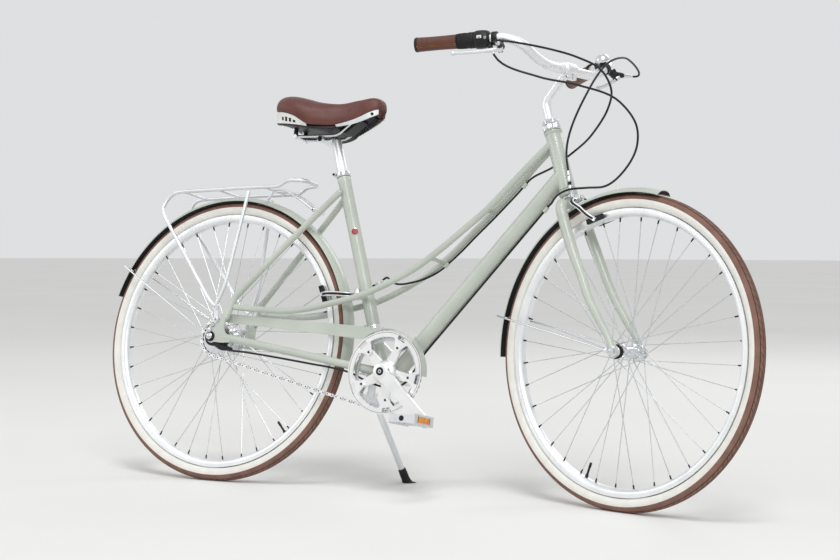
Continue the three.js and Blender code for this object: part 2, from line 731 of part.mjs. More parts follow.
// The point of a twin tube's centre line at a share of its reach
function twinAt(reachShare, side) {
  const after = TWIN_TUBE_SHARES.findIndex((share) => share[0] <= reachShare);
  const [near, far] = [TWIN_TUBE_SHARES[after - 1], TWIN_TUBE_SHARES[after]];
  const blend = (reachShare - near[0]) / (far[0] - near[0]);
  return twinPoint(near, side).lerp(twinPoint(far, side), blend);
}

const twinRoutes = {};
const twinRooms = {};
Object.entries(SIDES).forEach(([name, side]) => {
  twinRoutes[name] = TWIN_TUBE_SHARES.map((share) => twinPoint(share, side));
  twinRooms[name] = rod(twinRoutes[name], TWIN_TUBE_RADIUS + CLEARANCE, { sides: 8 });
});
const yokeReach = seatAt(headTopPoint.z * 0.5425).x / headTopPoint.x;
function twinClip(reachShare, side) {
  const centre = twinAt(reachShare, side);
  const along = twinAt(reachShare + 0.02, side).sub(centre).normalize();
  const under = along.clone().cross(LEFT).normalize();
  if (under.z > 0) under.negate();
  centre.addScaledVector(under, TWIN_TUBE_RADIUS + clipDrop);
  return { centre, along };
}
const clips = CLIP_REACH_SHARES.map((reachShare) => twinClip(reachShare, SIDES.left));
Object.entries(SIDES).forEach(([name, side]) => {
  const parts = [rod(twinRoutes[name], TWIN_TUBE_RADIUS, { wall: TWIN_TUBE_WALL, sides: 8 })];
  const yokeEnd = twinAt(yokeReach, side);
  parts.push(bar(yokeEnd, yokeEnd.clone().setY(0), TWIN_TUBE_RADIUS));
  const rooms = [headRoom, seatTubeRoom];
  if (side === SIDES.right) {
    BRIDGE_SHARES.forEach((share) => {
      parts.push(bar(twinAt(share, side), twinAt(share, -side), BRIDGE_RADIUS));
    });
    rooms.push(twinRooms.left);
  } else {
    clips.forEach(({ centre, along }) => {
      const loop = ring(clipDrop, clipDrop + CABLE_RADIUS / 2, -clipLength, clipLength);
      parts.push(turned(loop, centre, along, 10));
    });
  }
  piece(bicycle, `twin_tube_${name}`, cut(join(...parts), ...rooms), 'sage');
});

// Rear triangle: stays, rear ends and the bridge by the mudguard
const cassetteInner = AXLE_CONE_RADIUS + 2;
const cassetteOuter = 2 * AXLE_CONE_RADIUS + 3;
const bridgeRadial = FENDER_RADIUS + CLEARANCE + BRIDGE_RADIUS;
const fenderToe = new Vector3(
  bridgeRadial * Math.cos(REAR_FENDER_START),
  0,
  WHEEL_RADIUS + bridgeRadial * Math.sin(REAR_FENDER_START),
);
const stayRoutes = {};
Object.entries(SIDES).forEach(([name, side]) => {
  stayRoutes[name] = CHAIN_STAY_SHARES.map(([x, y, z]) => new Vector3(
    x * BRACKET_REACH,
    side * y * TWIN_TUBE_SPREAD,
    z * WHEEL_RADIUS,
  ));
});
const rightStayRoom = rod(stayRoutes.right, CHAIN_STAY_RADIUS + CLEARANCE, { sides: 8 });
const dropoutOutline = DROPOUT_SHARES.map(([x, z]) => [
  x * DROPOUT_SIZE,
  WHEEL_RADIUS + z * DROPOUT_SIZE,
]);
Object.entries(SIDES).forEach(([name, side]) => {
  const seatStay = SEAT_STAY_SHARES.map(([x, y, z]) => new Vector3(
    x * BRACKET_REACH,
    side * y * TWIN_TUBE_SPREAD,
    z * SEAT_TUBE_TOP,
  ));
  const stayTube = rod(seatStay, SEAT_STAY_RADIUS, { wall: SEAT_STAY_WALL, sides: 10 });
  piece(bicycle, `seat_stay_${name}`, cut(stayTube, seatTubeRoom), 'sage');
  const faces = [side * REAR_HALF_SPACING, side * (REAR_HALF_SPACING + DROPOUT_THICKNESS)];
  const plate = slab(dropoutOutline, Math.min(...faces), Math.max(...faces));
  const parts = [
    rod(stayRoutes[name], CHAIN_STAY_RADIUS, { wall: CHAIN_STAY_WALL, sides: 8 }),
    plate,
  ];
  const rooms = [shellRoom, seatTubeRoom];
  if (side === SIDES.right) {
    const inner = -(CHAIN_LINE + RING_THICKNESS + CLEARANCE);
    parts.push(turned(
      ring(cassetteInner, cassetteOuter, faces[0] - DROPOUT_THICKNESS / 2, inner),
      rearAxle,
      LEFT,
      16,
    ));
  } else {
    parts.push(bar(
      fenderToe.clone().setY(-2 * RACK_HALF_WIDTH / 3),
      fenderToe.clone().setY(2 * RACK_HALF_WIDTH / 3),
      BRIDGE_RADIUS,
    ));
    rooms.push(rightStayRoom);
  }
  piece(bicycle, `chain_stay_${name}`, cut(join(...parts), ...rooms), 'sage');
});

// Mudguards: a curved strip with turned-down edges, swept round the wheel
const fenderOuter = FENDER_SECTION_SHARES.map(([y, drop]) => [
  -drop * FENDER_DROP,
  y * FENDER_HALF_WIDTH,
]);
const fenderInner = FENDER_SECTION_SHARES.map(([y, drop], i) => {
  const last = i === FENDER_SECTION_SHARES.length - 1;
  const inset = last ? 0 : FENDER_THICKNESS;
  const narrowing = i === 0 ? 0 : FENDER_THICKNESS * (0.3 + 0.7 * drop);
  return [-drop * FENDER_DROP - inset * (1 - drop / 2), y * FENDER_HALF_WIDTH - narrowing];
});
const mirrored = (points) => points.slice(1).map(([x, y]) => [x, -y]);
const fenderSection = new THREE.Shape([
  ...mirrored(fenderOuter).reverse(),
  ...fenderOuter,
  ...[...fenderInner].reverse(),
  ...mirrored(fenderInner),
].map(([x, y]) => new Vector2(x, y)));

function onWheel(axle, angle, radius, side = 0) {
  const point = axle.clone().addScaledVector(AHEAD, radius * Math.cos(angle));
  return point.addScaledVector(UP, radius * Math.sin(angle)).addScaledVector(LEFT, side);
}

function fender(axle, start, end) {
  const steps = Math.round(Math.abs(end - start) / radians(9.5));
  const stations = Array.from({ length: steps + 1 }, (_, i) => {
    const angle = start + (end - start) * i / steps;
    const outward = new Vector3(Math.cos(angle), 0, Math.sin(angle));
    return { at: onWheel(axle, angle, FENDER_RADIUS), normal: outward, binormal: LEFT };
  });
  return sweep(fenderSection, stations);
}

// A wire from one rear or fork end, under the mudguard and back to the other end
function fenderWire(axle, angle, endOffset, endAngle) {
  const wireTop = FENDER_RADIUS - FENDER_THICKNESS - FENDER_WIRE_RADIUS - 5 * CLEARANCE;
  const half = [
    onWheel(axle, endAngle, 2 * AXLE_NUT_RADIUS, endOffset),
    onWheel(axle, angle, 7 * AXLE_NUT_RADIUS, endOffset),
  ];
  WIRE_CROSS_SHARES.forEach(([y, depth]) => {
    half.push(onWheel(axle, angle, wireTop + depth * FENDER_DROP, y * FENDER_HALF_WIDTH));
  });
  const other = half.slice(0, -1).reverse();
  const route = [...half, ...other.map((point) => point.clone().setY(-point.y))];
  return rod(route, FENDER_WIRE_RADIUS, { sides: 6 });
}

piece(bicycle, 'rear_fender', fender(rearAxle, REAR_FENDER_START, REAR_FENDER_END), 'sage');
const rearWireOffset = REAR_HALF_SPACING + DROPOUT_THICKNESS + FENDER_WIRE_RADIUS + CLEARANCE;
piece(
  bicycle,
  'rear_fender_stay',
  fenderWire(rearAxle, REAR_STAY_ANGLE, rearWireOffset, radians(100)),
  'steel',
);
piece(steeredInner, 'front_fender', fender(frontAxle, FRONT_FENDER_START, FRONT_FENDER_END), 'sage');

// Rack: a hooped outer rod, cross bars, two struts to the seat stays, and legs
const rackPoint = ([x, y, z], side) => new Vector3(
  x * RACK_REACH,
  side * y * RACK_HALF_WIDTH,
  z * RACK_HEIGHT,
);
const railRight = RACK_RAIL_SHARES.map((share) => rackPoint(share, SIDES.right));
const railLeft = RACK_RAIL_SHARES.map((share) => rackPoint(share, SIDES.left)).reverse();
const rackRoute = [...railRight, ...railLeft];
const rackParts = [rod(rackRoute, RACK_ROD_RADIUS, { sides: 6 })];
RACK_BAR_SHARES.forEach((x) => {
  const height = 0.9993 + 0.0104 * (x + 0.8) / 0.955;
  rackParts.push(bar(
    rackPoint([x, 1, height], SIDES.right),
    rackPoint([x, 1, height], SIDES.left),
    RACK_BAR_RADIUS,
    6,
  ));
});
Object.values(SIDES).forEach((side) => {
  rackParts.push(rod(RACK_STRUT_SHARES.map((share) => rackPoint(share, side)), RACK_BAR_RADIUS, {
    sides: 6,
  }));
});
const fenderTab = onWheel(rearAxle, radians(77.4), FENDER_RADIUS + 3 * CLEARANCE);
rackParts.push(bar(
  fenderTab,
  rackPoint([RACK_BAR_SHARES[2], 0, 1.0129], SIDES.left),
  RACK_BAR_RADIUS,
  6,
));
const rackWhole = join(...rackParts);
const rackRoom = rod([
  rackRoute[0].clone().lerp(rackRoute[1], -0.05),
  ...rackRoute.slice(1, -1),
  railLeft[railLeft.length - 1].clone().lerp(railLeft[railLeft.length - 2], -0.05),
], RACK_ROD_RADIUS + 1.5 * CLEARANCE, { sides: 6 });
const seatStayRooms = Object.values(SIDES).map((side) => rod(
  SEAT_STAY_SHARES.map(([x, y, z]) => new Vector3(
    x * BRACKET_REACH,
    side * y * TWIN_TUBE_SPREAD,
    z * SEAT_TUBE_TOP,
  )),
  SEAT_STAY_RADIUS + CLEARANCE,
  { sides: 10 },
));
piece(bicycle, 'rack_deck', cut(rackWhole, ...seatStayRooms), 'alloy');
Object.entries(SIDES).forEach(([name, side]) => {
  const rearLeg = RACK_REAR_LEG_SHARES.map((share) => rackPoint(share, side));
  const frontLeg = RACK_FRONT_LEG_SHARES.map((share) => rackPoint(share, side));
  const foot = rearLeg[rearLeg.length - 1];
  const plateFace = side * (REAR_HALF_SPACING + DROPOUT_THICKNESS + CLEARANCE);
  const legs = join(
    rod(rearLeg, RACK_LEG_RADIUS, { sides: 8 }),
    rod(frontLeg, RACK_LEG_RADIUS, { sides: 8 }),
    bar(
      foot.clone().setY(plateFace),
      foot.clone().addScaledVector(LEFT, side * RACK_LEG_RADIUS),
      RACK_FOOT_RADIUS,
      12,
    ),
  );
  const plateRoom = block(
    foot.clone().setY(plateFace - side * RACK_FOOT_RADIUS),
    [4 * RACK_FOOT_RADIUS, 2 * RACK_FOOT_RADIUS, 4 * RACK_FOOT_RADIUS],
  );
  piece(bicycle, `rack_leg_${name}`, cut(legs, rackRoom, plateRoom), 'alloy');
});

// Chain: one band round chainring and cog, which turn inside it
const pitchRadius = (teeth) => CHAIN_PITCH / (2 * Math.sin(Math.PI / teeth));
const ringPitch = pitchRadius(CHAINRING_TEETH);
const cogPitch = pitchRadius(COG_TEETH);
const driveDistance = Math.hypot(BRACKET_REACH, WHEEL_RADIUS - BRACKET_HEIGHT);
const driveSlope = Math.atan2(BRACKET_HEIGHT - WHEEL_RADIUS, BRACKET_REACH);
const driveSpread = Math.PI / 2 + Math.asin((ringPitch - cogPitch) / driveDistance);

function arc(centre, radius, from, to, steps) {
  return Array.from({ length: steps + 1 }, (_, i) => {
    const angle = from + (to - from) * i / steps;
    return [centre.x + radius * Math.cos(angle), centre.z + radius * Math.sin(angle)];
  });
}

function chainOutline(offset) {
  const upper = driveSlope + driveSpread;
  const lower = driveSlope - driveSpread;
  return [
    ...arc(rearAxle, cogPitch + offset, upper, lower + 2 * Math.PI, 14),
    ...arc(bracket, ringPitch + offset, lower, upper, 24),
  ];
}

const chainFaces = [-CHAIN_LINE - CHAIN_WIDTH / 2, -CHAIN_LINE + CHAIN_WIDTH / 2];
piece(bicycle, 'chain', slab(
  chainOutline(CHAIN_HEIGHT / 2),
  ...chainFaces,
  [chainOutline(-CHAIN_HEIGHT / 2)],
), 'steel');

// Chain guard: flat strip behind the guard disc, with a lip over the front of the ring
const stripEnd = GUARD_LIP_START - radians(2);
const stripOutline = [
  [GUARD_STRIP_REAR, GUARD_STRIP_REAR_TOP],
  [GUARD_STRIP_REAR, GUARD_STRIP_REAR_LOW],
  ...arc(bracket, GUARD_LIP_RADIUS, radians(131), radians(96), 5),
  ...arc(bracket, GUARD_LIP_RADIUS + GUARD_LIP_THICKNESS, radians(96), stripEnd + radians(4), 1),
  [BRACKET_REACH - GUARD_STRIP_REAR, GUARD_STRIP_FRONT_TOP + GUARD_LIP_THICKNESS],
];
const lipOutline = [
  ...arc(bracket, GUARD_LIP_RADIUS, GUARD_LIP_START, GUARD_LIP_END, 14),
  ...arc(bracket, GUARD_LIP_RADIUS + GUARD_LIP_THICKNESS, GUARD_LIP_END, GUARD_LIP_START, 14),
];
const tabCentre = new Vector3(
  0.4 * DROPOUT_SIZE,
  -(GUARD_OFFSET + REAR_HALF_SPACING - CLEARANCE) / 2,
  GUARD_STRIP_REAR_TOP - GUARD_TAB_SIZE,
);
const tabLength = REAR_HALF_SPACING - CLEARANCE - GUARD_OFFSET;
const guardBracketEnd = seatAt(GUARD_STRIP_FRONT_TOP + 2 * GUARD_BRACKET_RADIUS);
const guardBracketStart = new Vector3(
  BRACKET_REACH - 2 * GUARD_STRIP_REAR,
  -GUARD_OFFSET - GUARD_THICKNESS / 2,
  GUARD_STRIP_FRONT_TOP + GUARD_BRACKET_RADIUS / 2,
);
piece(bicycle, 'chain_guard', cut(join(
  slab(stripOutline, -GUARD_OFFSET - GUARD_THICKNESS, -GUARD_OFFSET),
  slab(lipOutline, -GUARD_LIP_OUTSET, -GUARD_LIP_INSET),
  block(tabCentre, [GUARD_TAB_SIZE, tabLength, GUARD_THICKNESS]),
  bar(guardBracketStart, guardBracketEnd, GUARD_BRACKET_RADIUS, 6),
), seatTubeRoom), 'sage');

// Crank set
const ringOutside = ringPitch - CHAIN_HEIGHT / 2 - 0.5;
const cogOutside = cogPitch - CHAIN_HEIGHT / 2 - 0.5;
const ringFace = CHAIN_LINE + RING_THICKNESS / 2;
const spiderFrom = -(GUARD_DISC_OFFSET - CLEARANCE);
const spiderTo = -(ringFace + CLEARANCE);
const bolts = Array.from({ length: SPIDER_ARM_COUNT }, (_, i) => (
  SPIDER_ANGLE + 2 * Math.PI * i / SPIDER_ARM_COUNT
));
const inBracketPlane = (angle, radius, y) => onWheel(bracket, angle, radius, y);
const ringParts = [
  turned(ring(RING_INNER_RADIUS, ringOutside, -ringFace, -ringFace + RING_THICKNESS), bracket, LEFT, 30),
  turned(
    ring(
      GUARD_DISC_INNER_RADIUS,
      GUARD_DISC_RADIUS,
      -GUARD_DISC_OFFSET - GUARD_DISC_THICKNESS,
      -GUARD_DISC_OFFSET,
    ),
    bracket,
    LEFT,
    32,
  ),
];
bolts.forEach((angle) => {
  const centre = inBracketPlane(angle, BOLT_CIRCLE_RADIUS, 0);
  ringParts.push(turned(
    disc(BOLT_RADIUS, -GUARD_DISC_OFFSET - GUARD_DISC_THICKNESS - 1, -ringFace + RING_THICKNESS),
    centre,
    LEFT,
    6,
  ));
});

function crankArm(angle, from, to) {
  const across = angle + Math.PI / 2;
  const along = (reach, half) => [
    bracket.x + reach * Math.cos(angle) + half * Math.cos(across),
    bracket.z + reach * Math.sin(angle) + half * Math.sin(across),
  ];
  const tip = arc(onWheel(bracket, angle, CRANK_LENGTH), CRANK_EYE_RADIUS, across, across - Math.PI, 6);
  return slab([along(0, -CRANK_HUB_RADIUS * 0.9), along(0, CRANK_HUB_RADIUS * 0.9), ...tip], from, to);
}

const crankBody = new THREE.Group();
bicycle.add(crankBody);
const crankOuter = CRANK_OFFSET + CRANK_THICKNESS;
const hubInner = SHELL_HALF_WIDTH + CLEARANCE;
const pedalAngles = { right: CRANK_ANGLE, left: CRANK_ANGLE + Math.PI };
const pedalCentres = {};
Object.entries(SIDES).forEach(([name, side]) => {
  pedalCentres[name] = inBracketPlane(pedalAngles[name], CRANK_LENGTH, side * PEDAL_OFFSET);
  const eye = pedalCentres[name];
  const faces = [side * CRANK_OFFSET, side * crankOuter].sort((a, b) => a - b);
  const hub = [side * hubInner, side * (crankOuter - 1)].sort((a, b) => a - b);
  const axle = [side * (CRANK_OFFSET + 1), side * (PEDAL_OFFSET + PEDAL_LENGTH / 2 - 2 * PEDAL_PLATE)];
  const parts = [
    crankArm(pedalAngles[name], ...faces),
    turned(disc(CRANK_HUB_RADIUS, ...hub), bracket, LEFT, 14),
    bar(eye.clone().setY(axle[0]), eye.clone().setY(axle[1]), PEDAL_AXLE_RADIUS),
  ];
  if (side === SIDES.right) {
    bolts.forEach((angle) => {
      const across = angle + Math.PI / 2;
      const corner = (reach, half) => [
        bracket.x + reach * Math.cos(angle) + half * Math.cos(across),
        bracket.z + reach * Math.sin(angle) + half * Math.sin(across),
      ];
      const reach = BOLT_CIRCLE_RADIUS + BOLT_TAB_RADIUS;
      parts.push(slab([
        corner(0, -SPIDER_HALF_WIDTH),
        corner(reach, -BOLT_TAB_RADIUS),
        corner(reach, BOLT_TAB_RADIUS),
        corner(0, SPIDER_HALF_WIDTH),
      ], spiderFrom, spiderTo));
    });
    const tools = bolts.map((angle) => turned(
      disc(BOLT_RADIUS + CLEARANCE, -crankOuter, -SHELL_HALF_WIDTH),
      inBracketPlane(angle, BOLT_CIRCLE_RADIUS, 0),
      LEFT,
      6,
    ));
    tools.push(turned(disc(spindleBore, -CRANK_OFFSET, -SHELL_HALF_WIDTH), bracket, LEFT, 12));
    piece(crankBody, 'crank_right', cut(join(...parts), ...tools), 'alloy');
  } else {
    parts.push(turned(disc(SPINDLE_RADIUS, -CRANK_OFFSET + CLEARANCE, CRANK_OFFSET), bracket, LEFT, 12));
    piece(crankBody, 'crank_left', join(...parts), 'alloy');
  }
});
piece(crankBody, 'chainring', join(...ringParts), 'alloy');

// Pedals: barrel, two cage plates and two end plates
Object.entries(SIDES).forEach(([name, side]) => {
  const centre = pedalCentres[name];
  const cage = PEDAL_HALF_WIDTH - PEDAL_PLATE / 2;
  const reach = PEDAL_LENGTH / 2 - PEDAL_PLATE / 2;
  const parts = [
    bar(
      centre.clone().addScaledVector(LEFT, -PEDAL_LENGTH / 2),
      centre.clone().addScaledVector(LEFT, PEDAL_LENGTH / 2),
      PEDAL_BARREL_RADIUS,
      12,
    ),
  ];
  [-1, 1].forEach((end) => {
    parts.push(block(
      centre.clone().addScaledVector(AHEAD, end * cage),
      [PEDAL_PLATE, PEDAL_LENGTH, PEDAL_HEIGHT],
    ));
    parts.push(block(
      centre.clone().addScaledVector(LEFT, end * reach),
      [2 * PEDAL_HALF_WIDTH, PEDAL_PLATE, PEDAL_HEIGHT * 0.8],
    ));
  });
  const bore = bar(
    centre.clone().addScaledVector(LEFT, -side * PEDAL_LENGTH),
    centre.clone().addScaledVector(LEFT, side * (PEDAL_LENGTH / 2 - 1.5 * PEDAL_PLATE)),
    PEDAL_AXLE_RADIUS + CLEARANCE,
    12,
  );
  piece(crankBody, `pedal_${name}`, cut(join(...parts), bore), 'alloy');
});

// Wheels, drawn about their own axle
const wheelStart = Math.PI / WHEEL_SEGMENTS;
const origin = new Vector3();
const tyreCentre = WHEEL_RADIUS - TYRE_RADIUS;
const tyreSeat = RIM_RADIUS + CLEARANCE;
const tyreProfile = [];
for (let i = 0; i <= 5; i += 1) {
  const angle = radians(-125 + 50 * i);
  tyreProfile.push([tyreCentre + TYRE_RADIUS * Math.cos(angle), TYRE_RADIUS * Math.sin(angle)]);
}
tyreProfile.push([tyreSeat, 0.9 * RIM_HALF_WIDTH], [tyreSeat, -0.9 * RIM_HALF_WIDTH]);
tyreProfile.push(tyreProfile[0]);
const rimBed = RIM_RADIUS - RIM_DEPTH;
const rimProfile = [
  [rimBed, -RIM_BED_HALF_WIDTH],
  [rimBed + RIM_DEPTH / 3, -RIM_HALF_WIDTH],
  [RIM_RADIUS, -RIM_HALF_WIDTH],
  [RIM_RADIUS, RIM_HALF_WIDTH],
  [rimBed + RIM_DEPTH / 3, RIM_HALF_WIDTH],
  [rimBed, RIM_BED_HALF_WIDTH],
  [rimBed, -RIM_BED_HALF_WIDTH],
];

function spokedHub(profile, flangeOffset, flangeRadius) {
  const parts = [turned(profile, origin, LEFT, 10)];
  for (let i = 0; i < SPOKE_COUNT; i += 1) {
    const side = i % 2 === 0 ? 1 : -1;
    const lead = Math.floor(i / 2) % 2 === 0 ? 1 : -1;
    const angle = 2 * Math.PI * (i + 0.5) / SPOKE_COUNT;
    const hubAngle = angle + lead * SPOKE_CROSS_ANGLE;
    const hubSide = side * (flangeOffset + lead * FLANGE_THICKNESS / 2);
    const rimSide = side * SPOKE_RADIUS * (2.5 + 1.3 * lead);
    parts.push(bar(
      onWheel(origin, hubAngle, flangeRadius - 2 * SPOKE_RADIUS, hubSide),
      onWheel(origin, angle, rimBed - 2 * CLEARANCE, rimSide),
      SPOKE_RADIUS,
      3,
    ));
  }
  return join(...parts);
}

function hubProfile(half, flangeOffset, flangeRadius, shellRadius, extra = []) {
  const outer = flangeOffset + FLANGE_THICKNESS / 2;
  const inner = flangeOffset - FLANGE_THICKNESS / 2;
  return [
    [0, -half],
    [AXLE_CONE_RADIUS, -half],
    ...extra,
    [extra.length > 0 ? extra[extra.length - 1][0] : AXLE_CONE_RADIUS, -outer],
    [flangeRadius, -outer],
    [flangeRadius, -inner],
    [shellRadius, -inner + FLANGE_THICKNESS],
    [shellRadius, inner - FLANGE_THICKNESS],
    [flangeRadius, inner],
    [flangeRadius, outer],
    [AXLE_CONE_RADIUS, outer],
    [AXLE_CONE_RADIUS, half],
    [0, half],
  ];
}

// The direction to the ground seen from a wheel turns its flat facet to the bottom
function wheelTurn(group) {
  group.updateWorldMatrix(true, false);
  const down = new Vector3(0, 0, -1).applyQuaternion(
    group.getWorldQuaternion(new THREE.Quaternion()).invert(),
  );
  return Math.atan2(down.x, down.z) - Math.PI;
}

function wheel(parent, name, axle, hub) {
  const group = new THREE.Group();
  group.position.copy(axle);
  parent.add(group);
  const solids = {
    [`${name}_tyre`]: [turned(tyreProfile, origin, LEFT, WHEEL_SEGMENTS, wheelStart), 'tyre'],
    [`${name}_rim`]: [turned(rimProfile, origin, LEFT, WHEEL_SEGMENTS, wheelStart), 'alloy'],
    [`${name}_hub`]: [hub, 'steel'],
  };
  Object.entries(solids).forEach(([part, [solid, finish]]) => piece(group, part, solid, finish));
  return group;
}

const driverRadius = 16;
const cogOuterFace = CHAIN_LINE + RING_THICKNESS / 2;
const driverEnd = cogOuterFace + CLEARANCE;
const frontHub = spokedHub(hubProfile(
  FRONT_HALF_SPACING - CLEARANCE,
  FRONT_FLANGE_OFFSET,
  FRONT_FLANGE_RADIUS,
  FRONT_SHELL_RADIUS,
), FRONT_FLANGE_OFFSET, FRONT_FLANGE_RADIUS);
const rearHub = spokedHub(hubProfile(
  REAR_HALF_SPACING - CLEARANCE,
  REAR_FLANGE_OFFSET,
  REAR_FLANGE_RADIUS,
  REAR_SHELL_RADIUS,
  [[AXLE_CONE_RADIUS, -driverEnd], [driverRadius, -driverEnd]],
), REAR_FLANGE_OFFSET, REAR_FLANGE_RADIUS);

// Fork: hollow steerer with its locknuts, crown, blades, ends and brake bolt
const steererBase = cupBase - CLEARANCE;
const lockBase = headTop + UPPER_CUP_LENGTH + CLEARANCE;
const lockTop = lockBase + LOCKNUT_LENGTH;
const steererInner = STEERER_RADIUS - STEERER_WALL;
const crownDepth = steererBase - CROWN_RACE_LENGTH;
const steererProfile = [
  [steererInner, crownDepth],
  [CROWN_RACE_RADIUS, crownDepth],
  [CROWN_RACE_RADIUS, steererBase],
  [STEERER_RADIUS, steererBase],
  [STEERER_RADIUS, lockBase],
  [LOCKNUT_RADIUS, lockBase],
  [LOCKNUT_RADIUS, lockBase + LOCKNUT_LENGTH / 2],
  [0.85 * LOCKNUT_RADIUS, lockBase + LOCKNUT_LENGTH / 2],
  [0.85 * LOCKNUT_RADIUS, lockTop],
  [steererInner, lockTop],
  [steererInner, crownDepth],
];
const forkParts = [turned(steererProfile, steerFoot, steerUp, 16)];
const crownSocket = turned(
  disc(0.8 * CROWN_RACE_RADIUS, CROWN_HEIGHT - BLADE_RADIUS * 0.7, crownDepth + 1),
  steerFoot,
  steerUp,
  10,
);
forkParts.push(crownSocket);
const frontBrakeSeat = onSteerer(steererAlong(FRONT_BRAKE_HEIGHT), FRONT_BRAKE_AHEAD);
const frontBrakeIn = towardAxle(frontBrakeSeat, frontAxle);
const frontBrakeAlong = frontBrakeIn.clone().cross(LEFT).normalize();
if (frontBrakeAlong.x < 0) frontBrakeAlong.negate();
Object.values(SIDES).forEach((side) => {
  const route = FORK_BLADE_SHARES.map(([along, ahead, y]) => onSteerer(
    along * CROWN_HEIGHT,
    ahead * FORK_RAKE,
    side * y * BLADE_SPREAD,
  ));
  forkParts.push(rod(route, BLADE_RADIUS, {
    sides: 8,
    growths: FORK_BLADE_SHARES.map((share) => share[3]),
  }));
});
const hubFaceRoom = turned(
  disc(1.5 * FORK_END_RADIUS, -FRONT_HALF_SPACING, FRONT_HALF_SPACING),
  frontAxle,
  LEFT,
  16,
);
const fenderRoomRadius = (FENDER_RADIUS + CLEARANCE) / Math.cos(Math.PI / ROOM_SEGMENTS);
const fenderRoomHalf = FENDER_HALF_WIDTH + CLEARANCE;
const fenderRoom = turned(
  ring(FENDER_RADIUS - 3 * FENDER_DROP, fenderRoomRadius, -fenderRoomHalf, fenderRoomHalf),
  frontAxle,
  LEFT,
  ROOM_SEGMENTS,
);
const forkEnds = Object.values(SIDES).map((side) => {
  const faces = [side * FRONT_HALF_SPACING, side * (FRONT_HALF_SPACING + FORK_END_THICKNESS)];
  const nut = [faces[1] - side, faces[1] + side * AXLE_NUT_LENGTH];
  return join(
    turned(disc(FORK_END_RADIUS, Math.min(...faces), Math.max(...faces)), frontAxle, LEFT, 16),
    turned(disc(AXLE_NUT_RADIUS, Math.min(...nut), Math.max(...nut)), frontAxle, LEFT, 6),
  );
});
const crownBoss = cut(bar(
  onSteerer(CROWN_HEIGHT),
  onSteerer(CROWN_HEIGHT - 2 * BLADE_RADIUS),
  0.6 * BLADE_RADIUS,
  10,
), fenderRoom);
const frontBolt = bar(
  frontBrakeSeat.clone().addScaledVector(frontBrakeAlong, -BLADE_RADIUS),
  frontBrakeSeat.clone().addScaledVector(frontBrakeAlong, boltLength),
  CALIPER_BOLT_RADIUS,
);
const hubRoom = bar(
  frontBrakeSeat,
  frontBrakeSeat.clone().addScaledVector(frontBrakeAlong, boltLength),
  CALIPER_HUB_RADIUS + 1,
  12,
);
piece(steeredInner, 'fork', join(
  cut(join(...forkParts), hubFaceRoom, fenderRoom, hubRoom),
  ...forkEnds,
  crownBoss,
  frontBolt,
), 'sage');
piece(
  steeredInner,
  'front_fender_stay',
  fenderWire(
    frontAxle,
    FRONT_STAY_ANGLE,
    FRONT_HALF_SPACING + FORK_END_THICKNESS + FENDER_WIRE_RADIUS + CLEARANCE,
    radians(175),
  ),
  'steel',
);

// Stem and handlebar
const stemBend = steererAt(STEM_BEND_HEIGHT);
const clampCentre = stemBend.clone().addScaledVector(AHEAD, STEM_REACH).addScaledVector(UP, STEM_RISE);
const quillFoot = onSteerer(lockTop - QUILL_DEPTH);
const barBore = bar(
  clampCentre.clone().addScaledVector(LEFT, -2 * STEM_CLAMP_HALF_WIDTH),
  clampCentre.clone().addScaledVector(LEFT, 2 * STEM_CLAMP_HALF_WIDTH),
  BAR_RADIUS + CLEARANCE,
  20,
);
piece(steeredInner, 'stem', cut(join(
  rod(rounded([quillFoot, stemBend, clampCentre], 2 * QUILL_RADIUS, 5), QUILL_RADIUS, { sides: 16 }),
  bar(
    clampCentre.clone().addScaledVector(LEFT, -STEM_CLAMP_HALF_WIDTH),
    clampCentre.clone().addScaledVector(LEFT, STEM_CLAMP_HALF_WIDTH),
    STEM_CLAMP_RADIUS,
    20,
  ),
), barBore), 'alloy');
const barPoint = ([back, side, rise], hand) => clampCentre.clone()
  .addScaledVector(AHEAD, back * BAR_SWEEP)
  .addScaledVector(LEFT, hand * side * BAR_HALF_WIDTH)
  .addScaledVector(UP, rise * BAR_RISE);
const barRight = BAR_SHARES.map((share) => barPoint(share, SIDES.right));
const barLeft = BAR_SHARES.map((share) => barPoint(share, SIDES.left)).reverse();
const barRoute = [
  ...barRight,
  clampCentre.clone().addScaledVector(LEFT, -2 * STEM_CLAMP_HALF_WIDTH),
  clampCentre.clone().addScaledVector(LEFT, 2 * STEM_CLAMP_HALF_WIDTH),
  ...barLeft,
];
piece(steeredInner, 'handlebar', rod(barRoute, BAR_RADIUS, { wall: BAR_WALL, sides: 10 }), 'steel');

// Grips, shifter and brake lever clamps, turned about the straight bar ends
const bore = BAR_RADIUS + 2 * CLEARANCE;
const hands = {};
Object.entries(SIDES).forEach(([name, side]) => {
  const tip = barPoint(BAR_SHARES[0], side);
  const inward = barPoint(BAR_SHARES[1], side).sub(tip).normalize();
  hands[name] = { tip, inward, on: (distance) => tip.clone().addScaledVector(inward, distance) };
});

function grip(hand, length) {
  return turned([
    [0, -GRIP_CAP - CLEARANCE],
    [0.75 * GRIP_RADIUS, -GRIP_CAP - CLEARANCE],
    [GRIP_RADIUS, -CLEARANCE],
    [0.95 * GRIP_RADIUS, length / 2],
    [GRIP_RADIUS, length],
    [bore, length],
    [bore, -CLEARANCE],
    [0, -CLEARANCE],
  ], hand.tip, hand.inward, 14);
}

